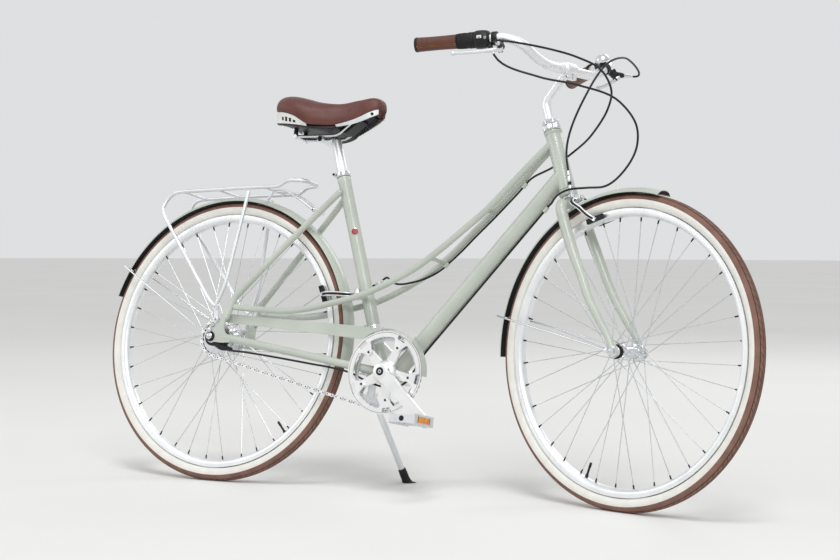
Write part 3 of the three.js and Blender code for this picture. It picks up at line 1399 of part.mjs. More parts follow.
piece(steeredInner, 'grip_right', grip(hands.right, GRIP_LENGTH_RIGHT), 'leather');
piece(steeredInner, 'grip_left', grip(hands.left, GRIP_LENGTH_LEFT), 'leather');
const twistFrom = GRIP_LENGTH_RIGHT + CLEARANCE;
const twistTo = twistFrom + TWIST_LENGTH;
piece(steeredInner, 'twist_grip', turned([
  [bore, twistFrom],
  [0.9 * TWIST_RADIUS, twistFrom],
  [TWIST_RADIUS, twistTo],
  [bore, twistTo],
  [bore, twistFrom],
], hands.right.tip, hands.right.inward, 18), 'rubber');
const shifterFrom = twistTo + CLEARANCE;
const shifterTo = shifterFrom + SHIFTER_LENGTH;
const shifterSpout = hands.right.on(shifterTo - SHIFTER_LENGTH / 4);
const spoutDirection = new Vector3(SHIFTER_LENGTH, 0, -1.6 * SHIFTER_LENGTH).normalize();
piece(steeredInner, 'shifter_housing', cut(join(
  turned(ring(bore, SHIFTER_RADIUS, shifterFrom, shifterTo), hands.right.tip, hands.right.inward, 18),
  bar(
    shifterSpout.clone().addScaledVector(spoutDirection, SHIFTER_RADIUS / 2),
    shifterSpout.clone().addScaledVector(spoutDirection, 1.6 * SHIFTER_RADIUS),
    BARREL_RADIUS,
  ),
), bar(hands.right.on(twistFrom), hands.right.on(shifterTo + SHIFTER_LENGTH), bore, 18)), 'plastic');

// Each lever swings in the plane of its pivot, its tip and the bar
const levers = {};
Object.entries(SIDES).forEach(([name, side]) => {
  const hand = hands[name];
  const outward = hand.inward.clone().negate();
  const ahead = outward.clone().cross(UP).multiplyScalar(side).normalize();
  const down = ahead.clone().cross(outward).normalize();
  if (down.z > 0) down.negate();
  const clamp = hand.on(BRACKET_PLACE);
  const pivot = clamp.clone()
    .addScaledVector(hand.inward, LEVER_INSET)
    .addScaledVector(ahead, LEVER_FORWARD)
    .addScaledVector(down, LEVER_DROP);
  const toBar = ahead.clone().multiplyScalar(-LEVER_FORWARD).addScaledVector(down, -LEVER_DROP).normalize();
  const tip = pivot.clone().addScaledVector(outward, LEVER_LENGTH).addScaledVector(UP, -LEVER_OUT_DROP / 4);
  const blade = tip.clone().sub(pivot).normalize();
  const axis = blade.clone().cross(toBar).normalize();
  const squareToBar = axis.clone().cross(blade).normalize();
  levers[name] = { clamp, pivot, tip, blade, axis, toBar: squareToBar, ahead, down, outward };
});
Object.entries(SIDES).forEach(([name]) => {
  const { clamp, pivot, blade, axis, toBar, ahead } = levers[name];
  const route = LEVER_CURVE_SHARES.map(([along, bow]) => pivot.clone()
    .addScaledVector(blade, along * LEVER_LENGTH)
    .addScaledVector(toBar, bow * LEVER_OUT_DROP));
  const hubHalf = LEVER_HUB_WIDTH / 2;
  piece(steeredInner, `lever_${name}`, join(
    bar(
      pivot.clone().addScaledVector(axis, -hubHalf),
      pivot.clone().addScaledVector(axis, hubHalf),
      LEVER_HUB_RADIUS,
      12,
    ),
    rod(route, LEVER_BLADE_RADIUS, { sides: 8, growths: LEVER_CURVE_SHARES.map((share) => share[2]) }),
    ball(route[route.length - 1], LEVER_BALL_RADIUS),
  ), 'alloy');
  const root = 2.5 * LEVER_HUB_RADIUS;
  const neck = pivot.clone().addScaledVector(toBar, root);
  const cheekOffset = hubHalf + CLEARANCE + CHEEK_THICKNESS / 2;
  const cheeks = [-1, 1].map((end) => block(
    pivot.clone().addScaledVector(axis, end * cheekOffset).addScaledVector(toBar, root / 2),
    [1.6 * LEVER_HUB_RADIUS, root + LEVER_HUB_RADIUS, CHEEK_THICKNESS],
    [blade, toBar, axis],
  ));
  const neckBlock = block(
    neck.clone().addScaledVector(toBar, CHEEK_THICKNESS),
    [1.6 * LEVER_HUB_RADIUS, 2 * CHEEK_THICKNESS + 1, 2 * cheekOffset + CHEEK_THICKNESS],
    [blade, toBar, axis],
  );
  const barrelStart = neck.clone().addScaledVector(toBar, CHEEK_THICKNESS);
  const whole = join(
    turned(ring(bore, BRACKET_RADIUS, -BRACKET_WIDTH / 2, BRACKET_WIDTH / 2), clamp, hands[name].inward, 12),
    bar(clamp.clone().addScaledVector(toBar, -0.9 * BRACKET_RADIUS), barrelStart, 0.9 * LEVER_HUB_RADIUS),
    ...cheeks,
    neckBlock,
    bar(barrelStart, barrelStart.clone().addScaledVector(ahead, BARREL_LENGTH), BARREL_RADIUS),
  );
  const barRoom = bar(hands[name].on(twistTo), hands[name].on(BRACKET_PLACE + BRACKET_WIDTH), bore, 14);
  levers[name].barrel = barrelStart.clone().addScaledVector(ahead, BARREL_LENGTH + 4 * CLEARANCE);
  piece(steeredInner, `lever_bracket_${name}`, cut(whole, barRoom), 'plastic');
});

// Caliper brakes: two arms on one bolt, each with its pad, one with the cable
function caliper(parent, name, mount, cableSide, depth, arch) {
  const { pivot, inward, along, axle } = mount;
  const at = (deep, high, side) => pivot.clone()
    .addScaledVector(inward, deep)
    .addScaledVector(along, high)
    .addScaledVector(LEFT, side);
  const boltRoom = bar(
    at(0, -CALIPER_HUB_LENGTH, 0),
    at(0, 4 * CALIPER_HUB_LENGTH, 0),
    CALIPER_BOLT_RADIUS + CLEARANCE,
    12,
  );
  let cableEnd = null;
  Object.entries(SIDES).forEach(([hand, side], order) => {
    const from = CLEARANCE + order * (CALIPER_HUB_LENGTH + CLEARANCE);
    const middle = from + CALIPER_HUB_LENGTH / 2;
    const route = CALIPER_SHARES.map(([deep, high, wide]) => at(
      deep * depth,
      middle + high * (arch - middle),
      side * wide * CALIPER_HALF_WIDTH,
    ));
    const padCentre = at(depth, arch, side * (RIM_HALF_WIDTH + PAD_GAP + PAD_THICKNESS / 2));
    const padRise = padCentre.clone().sub(axle).setY(0).normalize();
    const padAlong = padRise.clone().cross(LEFT).normalize();
    const parts = [
      bar(at(0, from, 0), at(0, from + CALIPER_HUB_LENGTH, 0), CALIPER_HUB_RADIUS, 12),
      rod(route, CALIPER_ARM_RADIUS, { sides: 8 }),
      block(padCentre, [PAD_LENGTH, PAD_THICKNESS, PAD_HEIGHT], [padAlong, LEFT, padRise]),
    ];
    if (side === cableSide) {
      const elbow = at(-CABLE_ARM_RISE, middle + CABLE_ARM_LEAN, side * CABLE_ARM_SIDE);
      const top = at(-2.2 * CABLE_ARM_RISE, middle + 2.2 * CABLE_ARM_LEAN, side * CABLE_ARM_SIDE);
      const rise = top.clone().sub(elbow).normalize();
      const cableArm = [at(0, middle, 0), at(0, middle, side * CABLE_ARM_SIDE * 0.6), elbow];
      parts.push(rod(cableArm, 0.9 * CALIPER_ARM_RADIUS, {
        sides: 8,
      }));
      parts.push(bar(elbow.clone().addScaledVector(rise, -BARREL_RADIUS), top, BARREL_RADIUS));
      cableEnd = { top, rise };
    }
    piece(parent, `${name}_brake_arm_${hand}`, cut(join(...parts), boltRoom), 'alloy');
  });
  return cableEnd;
}

const frontCable = caliper(
  steeredInner,
  'front',
  { pivot: frontBrakeSeat, inward: frontBrakeIn, along: frontBrakeAlong, axle: frontAxle },
  SIDES.right,
  CALIPER_DEPTH,
  CALIPER_ARCH,
);
const rearCable = caliper(
  bicycle,
  'rear',
  { pivot: rearBrakePivot, inward: rearBrakeIn, along: rearBrakeAlong, axle: rearAxle },
  SIDES.left,
  REAR_CALIPER_DEPTH,
  REAR_CALIPER_ARCH,
);

// Seat post with its clamp, saddle rails, pan and cover
const seatBody = new THREE.Group();
bicycle.add(seatBody);
const postBottom = seatAt(SEAT_TUBE_TOP - POST_INSERT);
const postTop = seatAt(POST_TOP);
const clampHeight = POST_TOP - CLAMP_DROP;
const saddleBaseHeight = clampHeight + SADDLE_RISE;
const saddleClamp = new Vector3(CLAMP_X, 0, clampHeight);
const railHeight = clampHeight + CLAMP_RADIUS;
const railAt = (x, z, side) => new Vector3(x, side * RAIL_HALF_SPACING, z);
const postTube = rod([postBottom, seatAt(SEAT_TUBE_TOP), postTop], SEAT_POST_RADIUS, {
  wall: SEAT_POST_WALL,
  sides: 12,
});
const clampHead = bar(
  saddleClamp.clone().addScaledVector(LEFT, -CLAMP_HALF_WIDTH - RAIL_RADIUS),
  saddleClamp.clone().addScaledVector(LEFT, CLAMP_HALF_WIDTH + RAIL_RADIUS),
  CLAMP_RADIUS,
  12,
);
const clampNeck = bar(
  postTop.clone().addScaledVector(UP, -CLAMP_RADIUS / 2),
  saddleClamp,
  0.8 * CLAMP_RADIUS,
  10,
);
const railRoute = (side) => [
  railAt(SADDLE_REAR + 0.125 * SADDLE_LENGTH, saddleBaseHeight + 0.26 * SADDLE_DEPTH, side),
  railAt(SADDLE_REAR + 0.18 * SADDLE_LENGTH, railHeight, side),
  railAt(CLAMP_X, railHeight, side),
  railAt(SADDLE_REAR + 0.585 * SADDLE_LENGTH, railHeight, side),
  railAt(SADDLE_REAR + 0.78 * SADDLE_LENGTH, saddleBaseHeight + 0.33 * SADDLE_DEPTH, side),
];
const railPoints = { right: railRoute(SIDES.right), left: railRoute(SIDES.left) };
const railRoom = join(...Object.values(railPoints).map((route) => rod(
  [route[0].clone().lerp(route[1], -0.1), ...route.slice(1, -1), route[3].clone().lerp(route[4], 1.1)],
  RAIL_RADIUS + CLEARANCE,
  { sides: 8 },
)));
piece(seatBody, 'seat_post', cut(join(postTube, clampHead, clampNeck), railRoom), 'alloy');

function saddleStations(grow, shell, gap = 0, drop = 0, narrow = 1) {
  const fit = 1 - 2 * grow / SADDLE_LENGTH;
  return SADDLE_SHARES.map(([x, width, top, low]) => {
    const base = saddleBaseHeight + low * SADDLE_DEPTH - drop;
    const full = (top - low) * SADDLE_DEPTH;
    const height = full + drop + gap - Math.min(shell, PAN_TOP_SHARE * full);
    return {
      at: new Vector3(SADDLE_REAR + (0.5 + (x - 0.5) * fit) * SADDLE_LENGTH, 0, base),
      normal: UP.clone().multiplyScalar(height),
      binormal: LEFT.clone().multiplyScalar(narrow * (width * SADDLE_HALF_WIDTH - grow)),
    };
  });
}

const saddleHalf = SADDLE_SECTION_SHARES.slice(1, -1);
const saddleSection = new THREE.Shape([
  SADDLE_SECTION_SHARES[0],
  ...saddleHalf,
  SADDLE_SECTION_SHARES[SADDLE_SECTION_SHARES.length - 1],
  ...saddleHalf.map(([y, z]) => [-y, z]).reverse(),
].map(([y, z]) => new Vector2(z, y)));
const footShare = SADDLE_SECTION_SHARES[SADDLE_SECTION_SHARES.length - 2][0];
const panRoom = join(
  sweep(saddleSection, saddleStations(PAN_MARGIN - CLEARANCE, SADDLE_SHELL, CLEARANCE)),
  sweep(saddleSection, saddleStations(PAN_MARGIN - CLEARANCE, SADDLE_SHELL, 0, PAN_MARGIN, footShare)),
);
piece(seatBody, 'saddle_cover', cut(sweep(saddleSection, saddleStations(0, 0)), panRoom), 'leather');
const pan = sweep(saddleSection, saddleStations(PAN_MARGIN, SADDLE_SHELL));
piece(seatBody, 'saddle_base', cut(pan, railRoom), 'plastic');
const railJoin = bar(railPoints.right[1], railPoints.left[1], RAIL_RADIUS);
piece(seatBody, 'saddle_rails', join(
  ...Object.values(railPoints).map((route) => rod(route, RAIL_RADIUS, { sides: 8 })),
  railJoin,
), 'steel');

// Bell on the left of the bar, with its striker
const bellOnBar = barPoint(BAR_SHARES[4], SIDES.left).lerp(barPoint(BAR_SHARES[3], SIDES.left), BELL_SHARE);
const bellAlong = barPoint(BAR_SHARES[3], SIDES.left).sub(barPoint(BAR_SHARES[4], SIDES.left)).normalize();
const bellUp = UP.clone().addScaledVector(bellAlong, -bellAlong.z).normalize();
const bellBase = bellOnBar.clone().addScaledVector(bellUp, BELL_RISE);
const bellProfile = [
  [0, 0],
  [BELL_RADIUS, 0],
  [BELL_RADIUS, 0.25 * BELL_HEIGHT],
  [0.85 * BELL_RADIUS, 0.65 * BELL_HEIGHT],
  [0.5 * BELL_RADIUS, 0.93 * BELL_HEIGHT],
  [0, BELL_HEIGHT],
];
piece(steeredInner, 'bell', cut(join(
  turned(ring(bore, BELL_CLAMP_RADIUS, -BELL_CLAMP_WIDTH / 2, BELL_CLAMP_WIDTH / 2), bellOnBar, bellAlong, 8),
  bar(
    bellOnBar.clone().addScaledVector(bellUp, BAR_RADIUS + 1),
    bellBase.clone().addScaledVector(bellUp, 1),
    0.5 * BELL_RADIUS,
  ),
  turned(bellProfile, bellBase, bellUp, 10),
), bar(
  bellOnBar.clone().addScaledVector(bellAlong, -BELL_CLAMP_WIDTH),
  bellOnBar.clone().addScaledVector(bellAlong, BELL_CLAMP_WIDTH),
  bore,
  14,
)), 'alloy');
const strikerSide = bellAlong.clone().negate();
const strikerPivot = bellOnBar.clone()
  .addScaledVector(bellUp, BELL_RISE - 2 * STRIKER_RADIUS - CLEARANCE)
  .addScaledVector(strikerSide, 0.45 * BELL_RADIUS + 2 * STRIKER_RADIUS + CLEARANCE);
const strikerAcross = bellUp.clone().cross(strikerSide).normalize();
const strikerEnd = strikerPivot.clone()
  .addScaledVector(strikerSide, STRIKER_LENGTH)
  .addScaledVector(strikerAcross, STRIKER_LENGTH / 3);
piece(steeredInner, 'bell_striker', join(
  bar(
    strikerPivot.clone().addScaledVector(bellUp, -2 * STRIKER_RADIUS),
    strikerPivot.clone().addScaledVector(bellUp, STRIKER_RADIUS),
    2 * STRIKER_RADIUS,
  ),
  bar(strikerPivot, strikerEnd, STRIKER_RADIUS),
  ball(strikerEnd, STRIKER_KNOB_RADIUS),
), 'plastic');

// Brake and gear cables, held by the bicycle along their whole routes
function cable(points, bits) {
  const curve = new THREE.CatmullRomCurve3(points, false, 'centripetal');
  const route = curve.getPoints(bits * (points.length - 1));
  return rod(route, CABLE_RADIUS, { sides: CABLE_SIDES });
}

const barrelLead = 2 * BARREL_LENGTH;
const cableFoot = frontCable.top.clone().addScaledVector(frontCable.rise, 3 * CLEARANCE);
piece(steeredInner, 'front_brake_cable', cable([
  levers.left.barrel,
  levers.left.barrel.clone().addScaledVector(levers.left.ahead, barrelLead / 3),
  new Vector3(933, 150, 1040),
  new Vector3(948, 60, 1010),
  new Vector3(944, 0, 940),
  cableFoot.clone().addScaledVector(frontCable.rise, barrelLead),
  cableFoot.clone().addScaledVector(frontCable.rise, barrelLead / 3),
  cableFoot,
], 4), 'plastic');
const leverStart = levers.right.barrel;
const leverLead = leverStart.clone().addScaledVector(levers.right.ahead, barrelLead / 3);
const rearFoot = rearCable.top.clone().addScaledVector(rearCable.rise, 3 * CLEARANCE);
const clipRoute = [0.9068, 0.86, 0.82, 0.77, 0.72, 0.679].map((share) => {
  const { centre } = twinClip(share, SIDES.left);
  return centre;
});
const alongClip = clips.map(({ centre, along }) => ({
  before: centre.clone().addScaledVector(along, 2 * clipLength),
  after: centre.clone().addScaledVector(along, -2 * clipLength),
}));
piece(bicycle, 'rear_brake_cable', cable([
  steeredPoint(leverStart.x, leverStart.y, leverStart.z),
  steeredPoint(leverLead.x, leverLead.y, leverLead.z),
  steeredPoint(959, -150, 1007),
  steeredPoint(992, -100, 994),
  steeredPoint(1020, -50, 970),
  steeredPoint(1025, -20, 931),
  steeredPoint(997, 4, 892),
  steeredPoint(959, 8, 848),
  new Vector3(884, 30, 812),
  new Vector3(836, 30, 778),
  alongClip[0].before,
  clips[0].centre,
  alongClip[0].after,
  ...clipRoute.slice(1, -1),
  alongClip[1].before,
  clips[1].centre,
  alongClip[1].after,
  new Vector3(505, 22, 505),
  new Vector3(440, 24, 506),
  rearFoot.clone().addScaledVector(rearCable.rise, barrelLead / 2),
  rearFoot,
], 2), 'plastic');
const spoutEnd = shifterSpout.clone().addScaledVector(spoutDirection, 1.6 * SHIFTER_RADIUS + 4 * CLEARANCE);
const spoutLead = spoutEnd.clone().addScaledVector(spoutDirection, barrelLead / 3);
const underDown = (share, side = 0) => onDown(share)
  .addScaledVector(downUnder, DOWN_TUBE_RADIUS + clipDrop)
  .addScaledVector(LEFT, side);
piece(bicycle, 'shift_cable', cable([
  steeredPoint(spoutEnd.x, spoutEnd.y, spoutEnd.z),
  steeredPoint(spoutLead.x, spoutLead.y, spoutLead.z),
  steeredPoint(925, -150, 950),
  steeredPoint(985, -90, 935),
  steeredPoint(1042, -10, 903),
  steeredPoint(1068, 20, 848),
  steeredPoint(1062, 30, 810),
  steeredPoint(1033, 25, 756),
  steeredPoint(989, 12, 721),
  new Vector3(950, -33, 714),
  new Vector3(907, -37, 709),
  new Vector3(884, -31, 701),
  new Vector3(867, -18, 692),
  new Vector3(858, -8, 686),
  underDown(DOWN_STOP_SHARE + 0.015),
  underDown(DOWN_STOP_SHARE),
  underDown(DOWN_STOP_SHARE - 0.03),
  underDown(0.68),
  underDown(0.5),
  underDown(0.3),
  underDown(0.15),
  new Vector3(500, -6, 251),
  new Vector3(460, -12, 250),
  new Vector3(420, -24, 262),
  new Vector3(385, -34, 277),
  new Vector3(340, -45, 286),
  new Vector3(290, -51, 292),
  new Vector3(200, -57, 303),
  new Vector3(100, -57, 314),
  new Vector3(50, -56, 318),
  new Vector3(22, -56, 322),
], 2), 'plastic');

// Kickstand: bracket between the chain stays, pivoting leg and rubber foot
const standPivot = bracket.clone()
  .addScaledVector(AHEAD, -STAND_PIVOT_BACK)
  .addScaledVector(LEFT, STAND_PIVOT_SIDE)
  .addScaledVector(UP, -STAND_PIVOT_DROP);
const standAxis = new Vector3(
  -Math.sin(STAND_TILT_BACK),
  Math.cos(STAND_TILT_BACK) * Math.cos(STAND_TILT_UP),
  Math.sin(STAND_TILT_UP),
).normalize();
const plateHeight = BRACKET_HEIGHT - 3 * CLEARANCE;
const plateCentre = new Vector3(
  standPivot.x + STAND_BOSS_RADIUS,
  STAND_LEG_RADIUS,
  plateHeight - SHELL_WALL / 2,
);
const pinEnd = standPivot.clone().addScaledVector(standAxis, STAND_HUB_LENGTH - CLEARANCE);
const standArm = bar(
  new Vector3(plateCentre.x, plateCentre.y + STAND_BOSS_LENGTH, plateHeight - SHELL_WALL),
  standPivot.clone().addScaledVector(standAxis, -STAND_BOSS_LENGTH / 2),
  0.8 * STAND_BOSS_RADIUS,
  10,
);
const standHubRoom = bar(
  standPivot,
  standPivot.clone().addScaledVector(standAxis, 3 * STAND_HUB_LENGTH),
  2 * STAND_HUB_RADIUS,
  12,
);
piece(bicycle, 'kickstand_bracket', join(
  cut(join(
    block(plateCentre, [2 * STAND_BOSS_RADIUS, 4.4 * STAND_BOSS_LENGTH, SHELL_WALL]),
    block(
      new Vector3(plateCentre.x, 0, plateHeight + STAND_BOSS_RADIUS / 2),
      [2 * STAND_BOSS_RADIUS, 2 * STAND_BOSS_LENGTH, 1.5 * STAND_BOSS_RADIUS],
    ),
    standArm,
    bar(standPivot.clone().addScaledVector(standAxis, -STAND_BOSS_LENGTH), standPivot, STAND_BOSS_RADIUS, 14),
  ), standHubRoom),
  bar(standPivot.clone().addScaledVector(standAxis, -STAND_BOSS_LENGTH / 2), pinEnd, STAND_PIN_RADIUS, 10),
), 'steel');
const hubStart = standPivot.clone().addScaledVector(standAxis, CLEARANCE);
const hubEnd = standPivot.clone().addScaledVector(standAxis, STAND_HUB_LENGTH);
const legTop = hubStart.clone().lerp(hubEnd, 0.5);
const legDrop = Math.sqrt(STAND_LENGTH ** 2 - STAND_REACH ** 2 - STAND_SPLAY ** 2);
const legEnd = legTop.clone().add(new Vector3(STAND_REACH, STAND_SPLAY, -legDrop));
const legDirection = legEnd.clone().sub(legTop).normalize();
const legStop = legEnd.clone().addScaledVector(legDirection, -FOOT_LENGTH / 3);
const pinRoom = bar(
  standPivot.clone().addScaledVector(standAxis, -STAND_HUB_LENGTH),
  pinEnd.clone().addScaledVector(standAxis, 2 * CLEARANCE),
  STAND_PIN_RADIUS + CLEARANCE,
  10,
);
const bossRoom = bar(
  standPivot.clone().addScaledVector(standAxis, -2 * STAND_BOSS_LENGTH),
  hubStart,
  2 * STAND_BOSS_RADIUS,
  12,
);
piece(bicycle, 'kickstand_leg', cut(join(
  bar(hubStart, hubEnd.clone().addScaledVector(standAxis, SHELL_WALL), STAND_HUB_RADIUS, 14),
  rod([legTop, legTop.clone().lerp(legStop, 0.5), legStop], STAND_LEG_RADIUS, { sides: 12 }),
), pinRoom, bossRoom), 'alloy');

// Hang the wheels and lean the bicycle, then level both tyres on the ground
const rearWheel = wheel(bicycle, 'rear', rearAxle, rearHub);
const frontWheel = wheel(steeredInner, 'front', frontAxle, frontHub);
piece(rearWheel, 'rear_cog', turned(
  ring(driverRadius + 2 * CLEARANCE, cogOutside, -cogOuterFace, -cogOuterFace + RING_THICKNESS),
  origin,
  LEFT,
  24,
), 'steel');
const stance = new THREE.Group();
stance.rotation.x = -LEAN_ANGLE;
stance.add(bicycle);
const standing = new THREE.Group();
standing.add(stance);

function lowest(object) {
  standing.updateMatrixWorld(true);
  return new THREE.Box3().setFromObject(object, true).min.z;
}

const frontTyre = frontWheel.children[0];
const rearTyre = rearWheel.children[0];
for (let pass = 0; pass < 4; pass += 1) {
  [rearWheel, frontWheel].forEach((group) => {
    group.rotation.y = 0;
    group.rotation.y = wheelTurn(group);
  });
  bicycle.rotation.y += (lowest(frontTyre) - lowest(rearTyre)) / WHEELBASE;
}
const ground = Math.min(lowest(frontTyre), lowest(rearTyre));

// Rubber foot, cut off level with the ground
const toBicycle = bicycle.matrixWorld.clone().invert();
const groundPoint = legEnd.clone().applyMatrix4(bicycle.matrixWorld);
groundPoint.z = ground - WHEEL_RADIUS / 2;
const earth = new THREE.BoxGeometry(WHEEL_RADIUS, WHEEL_RADIUS, WHEEL_RADIUS);
earth.translate(groundPoint.x, groundPoint.y, groundPoint.z);
earth.applyMatrix4(toBicycle);
const footTop = legEnd.clone().addScaledVector(legDirection, -FOOT_LENGTH);
const footToe = legEnd.clone().addScaledVector(legDirection, FOOT_LENGTH / 2);
const legRoom = bar(
  footTop.clone().addScaledVector(legDirection, -FOOT_LENGTH),
  legStop.clone().addScaledVector(legDirection, CLEARANCE),
  STAND_LEG_RADIUS + CLEARANCE,
  12,
);
piece(bicycle, 'kickstand_foot', cut(
  tapered(footTop, footToe, FOOT_TOP_RADIUS, 1.25 * FOOT_SOLE_RADIUS, 16),
  legRoom,
  solidOf(earth),
), 'rubber');

// Origin under the middle of the bicycle's box, on the ground
standing.updateMatrixWorld(true);
const box = new THREE.Box3().setFromObject(standing, true);
const middle = box.getCenter(new Vector3());
standing.position.set(-middle.x, -middle.y, -box.min.z);
standing.updateMatrixWorld(true);

const part = new THREE.Group();
part.add(standing);

export default part;
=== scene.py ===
# %% [markdown]
# # A step-through bicycle on its kickstand
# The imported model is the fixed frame: every piece below takes its place from it.
# New surfaces replace the plain solids one by one and ride on the same bodies,
# so that the wheels, cranks, bars and levers still turn as they do in the model.

# %% Load the frame
import json
import math
import bmesh
import bpy
import numpy as np
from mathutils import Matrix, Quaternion, Vector


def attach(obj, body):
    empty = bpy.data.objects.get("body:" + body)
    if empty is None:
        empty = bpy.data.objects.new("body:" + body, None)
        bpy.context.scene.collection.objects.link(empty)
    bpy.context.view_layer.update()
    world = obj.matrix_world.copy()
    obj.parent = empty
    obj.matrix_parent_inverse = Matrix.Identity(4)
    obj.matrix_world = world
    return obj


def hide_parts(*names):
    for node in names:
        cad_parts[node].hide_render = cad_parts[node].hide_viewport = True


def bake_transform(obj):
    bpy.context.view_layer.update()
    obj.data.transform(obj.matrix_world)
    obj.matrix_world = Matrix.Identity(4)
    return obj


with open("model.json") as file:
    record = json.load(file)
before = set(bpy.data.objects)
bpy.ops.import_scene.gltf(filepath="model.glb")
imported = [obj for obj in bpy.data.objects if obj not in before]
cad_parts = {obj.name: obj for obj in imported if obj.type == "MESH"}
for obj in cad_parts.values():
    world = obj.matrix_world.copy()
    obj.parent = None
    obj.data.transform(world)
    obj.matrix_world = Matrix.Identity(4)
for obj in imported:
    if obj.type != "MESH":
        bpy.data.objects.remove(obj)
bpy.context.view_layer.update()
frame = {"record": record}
bodies_of = {node: body for body, nodes in frame["record"]["behaviour"]["bodies"].items() for node in nodes}

# %% [markdown]
# ## Camera
# The bicycle was seen from its right front side. The camera stands a little above the
# hubs, far enough away for a longish lens, as in the picture.

# %% Camera
CAMERA_PLACE = (1.89339, -3.60043, 0.58668)
CAMERA_YAW, CAMERA_PITCH, CAMERA_ROLL = (math.radians(angle) for angle in (28.25, -1.29, -0.033))
camera_data = bpy.data.cameras.new("camera")
camera = bpy.data.objects.new("camera", camera_data)
bpy.context.scene.collection.objects.link(camera)
bpy.context.scene.camera = camera
camera_data.lens = 72.707
camera_data.sensor_width = 36.0
camera_data.clip_end = 60.0
ahead = Vector((
    -math.sin(CAMERA_YAW) * math.cos(CAMERA_PITCH),
    math.cos(CAMERA_YAW) * math.cos(CAMERA_PITCH),
    math.sin(CAMERA_PITCH),
))
camera.location = CAMERA_PLACE
camera.rotation_mode = "QUATERNION"
camera.rotation_quaternion = Quaternion(ahead, CAMERA_ROLL) @ ahead.to_track_quat("-Z", "Y")
print("camera at", CAMERA_PLACE)

# %% [markdown]
# ## Colours and shader nodes
# Colours are written as the hex values a painter would mix. One function
# turns them into the linear light that the renderer works with, and one small
# function adds a shader node together with its settings and links.

# %% Colour and node helpers
def linear(code):
    """sRGB hex to linear: each channel c/12.92 below 0.04045, else ((c+0.055)/1.055)^2.4."""
    channels = np.array([int(code[i:i + 2], 16) / 255 for i in (0, 2, 4)])
    light = np.where(channels <= 0.04045, channels / 12.92, ((channels + 0.055) / 1.055) ** 2.4)
    return (*light.tolist(), 1.0)


def add(tree, kind, inputs=None, stops=(), **settings):
    """Adds a node: settings are its own options, inputs are socket values or links,
    and stops are the (place, hex or grey) pairs of a colour ramp."""
    made = tree.nodes.new(kind)
    for key, value in settings.items():
        setattr(made, key, value)
    for i, (place, tone) in enumerate(stops):
        element = made.color_ramp.elements[i] if i < 2 else made.color_ramp.elements.new(place)
        element.position = place
        element.color = linear(tone) if isinstance(tone, str) else (tone, tone, tone, 1.0)
    for socket, value in (inputs or {}).items():
        if isinstance(value, bpy.types.NodeSocket):
            tree.links.new(value, made.inputs[socket])
        else:
            made.inputs[socket].default_value = value
    return made


def begin_finish(name, **sockets):
    """A new material with one Principled shader; each keyword is a plain socket value."""
    material = bpy.data.materials.new(name)
    material.use_nodes = True
    tree = material.node_tree
    tree.nodes.clear()
    plain = {key.replace("_", " "): value for key, value in sockets.items()}
    shader = add(tree, "ShaderNodeBsdfPrincipled", plain)
    add(tree, "ShaderNodeOutputMaterial", {"Surface": shader.outputs[0]})
    place = add(tree, "ShaderNodeTexCoord").outputs["Object"]
    return material, tree, shader, place


# %% [markdown]
# ## Paint and metal
# The frame is steel tube under a sage green baked enamel. Enamel is a pigmented
# plastic film with a clear, smooth top, so it gets a dielectric base and a coat, a
# faint orange-peel ripple about 7 mm across, and a slow drift of tone over a hand's width.

# %% Frame enamel
def enamel(name, light, dark, coat):
    """Gloss baked enamel: tone drifts between two hex values over about 90 mm."""
    material, tree, shader, place = begin_finish(name, Roughness=0.32, Coat_Weight=coat, Coat_Roughness=0.08)
    drift = add(tree, "ShaderNodeTexNoise", {"Vector": place, "Scale": 1000 / 90, "Detail": 3}).outputs[0]
    tone = add(tree, "ShaderNodeValToRGB", {"Fac": drift}, stops=[(0.3, dark), (0.7, light)]).outputs[0]
    tree.links.new(tone, shader.inputs["Base Color"])
    dust = add(tree, "ShaderNodeTexNoise", {"Vector": place, "Scale": 1000 / 14, "Detail": 5}).outputs[0]
    shine = add(tree, "ShaderNodeMapRange", {
        "Value": dust, "From Min": 0.3, "From Max": 0.75, "To Min": 0.26, "To Max": 0.42,
    })
    tree.links.new(shine.outputs[0], shader.inputs["Roughness"])
    ripple = add(tree, "ShaderNodeTexNoise", {"Vector": place, "Scale": 1000 / 7, "Detail": 1}).outputs[0]
    bump = add(tree, "ShaderNodeBump", {"Height": ripple, "Distance": 0.03 / 1000, "Strength": 0.5})
    tree.links.new(bump.outputs[0], shader.inputs["Normal"])
    return material


sage_enamel = enamel("sage_green_baked_enamel", "C5CBC1", "B8BFB5", 0.35)
print(sage_enamel.name)

# %% [markdown]
# The bright parts are aluminium and plated steel. Brushed or tumbled aluminium
# scatters light softly, while chrome plate gives sharper reflections. Both are metals, so
# their colour is the colour of the reflection, and only roughness and fine marks differ.

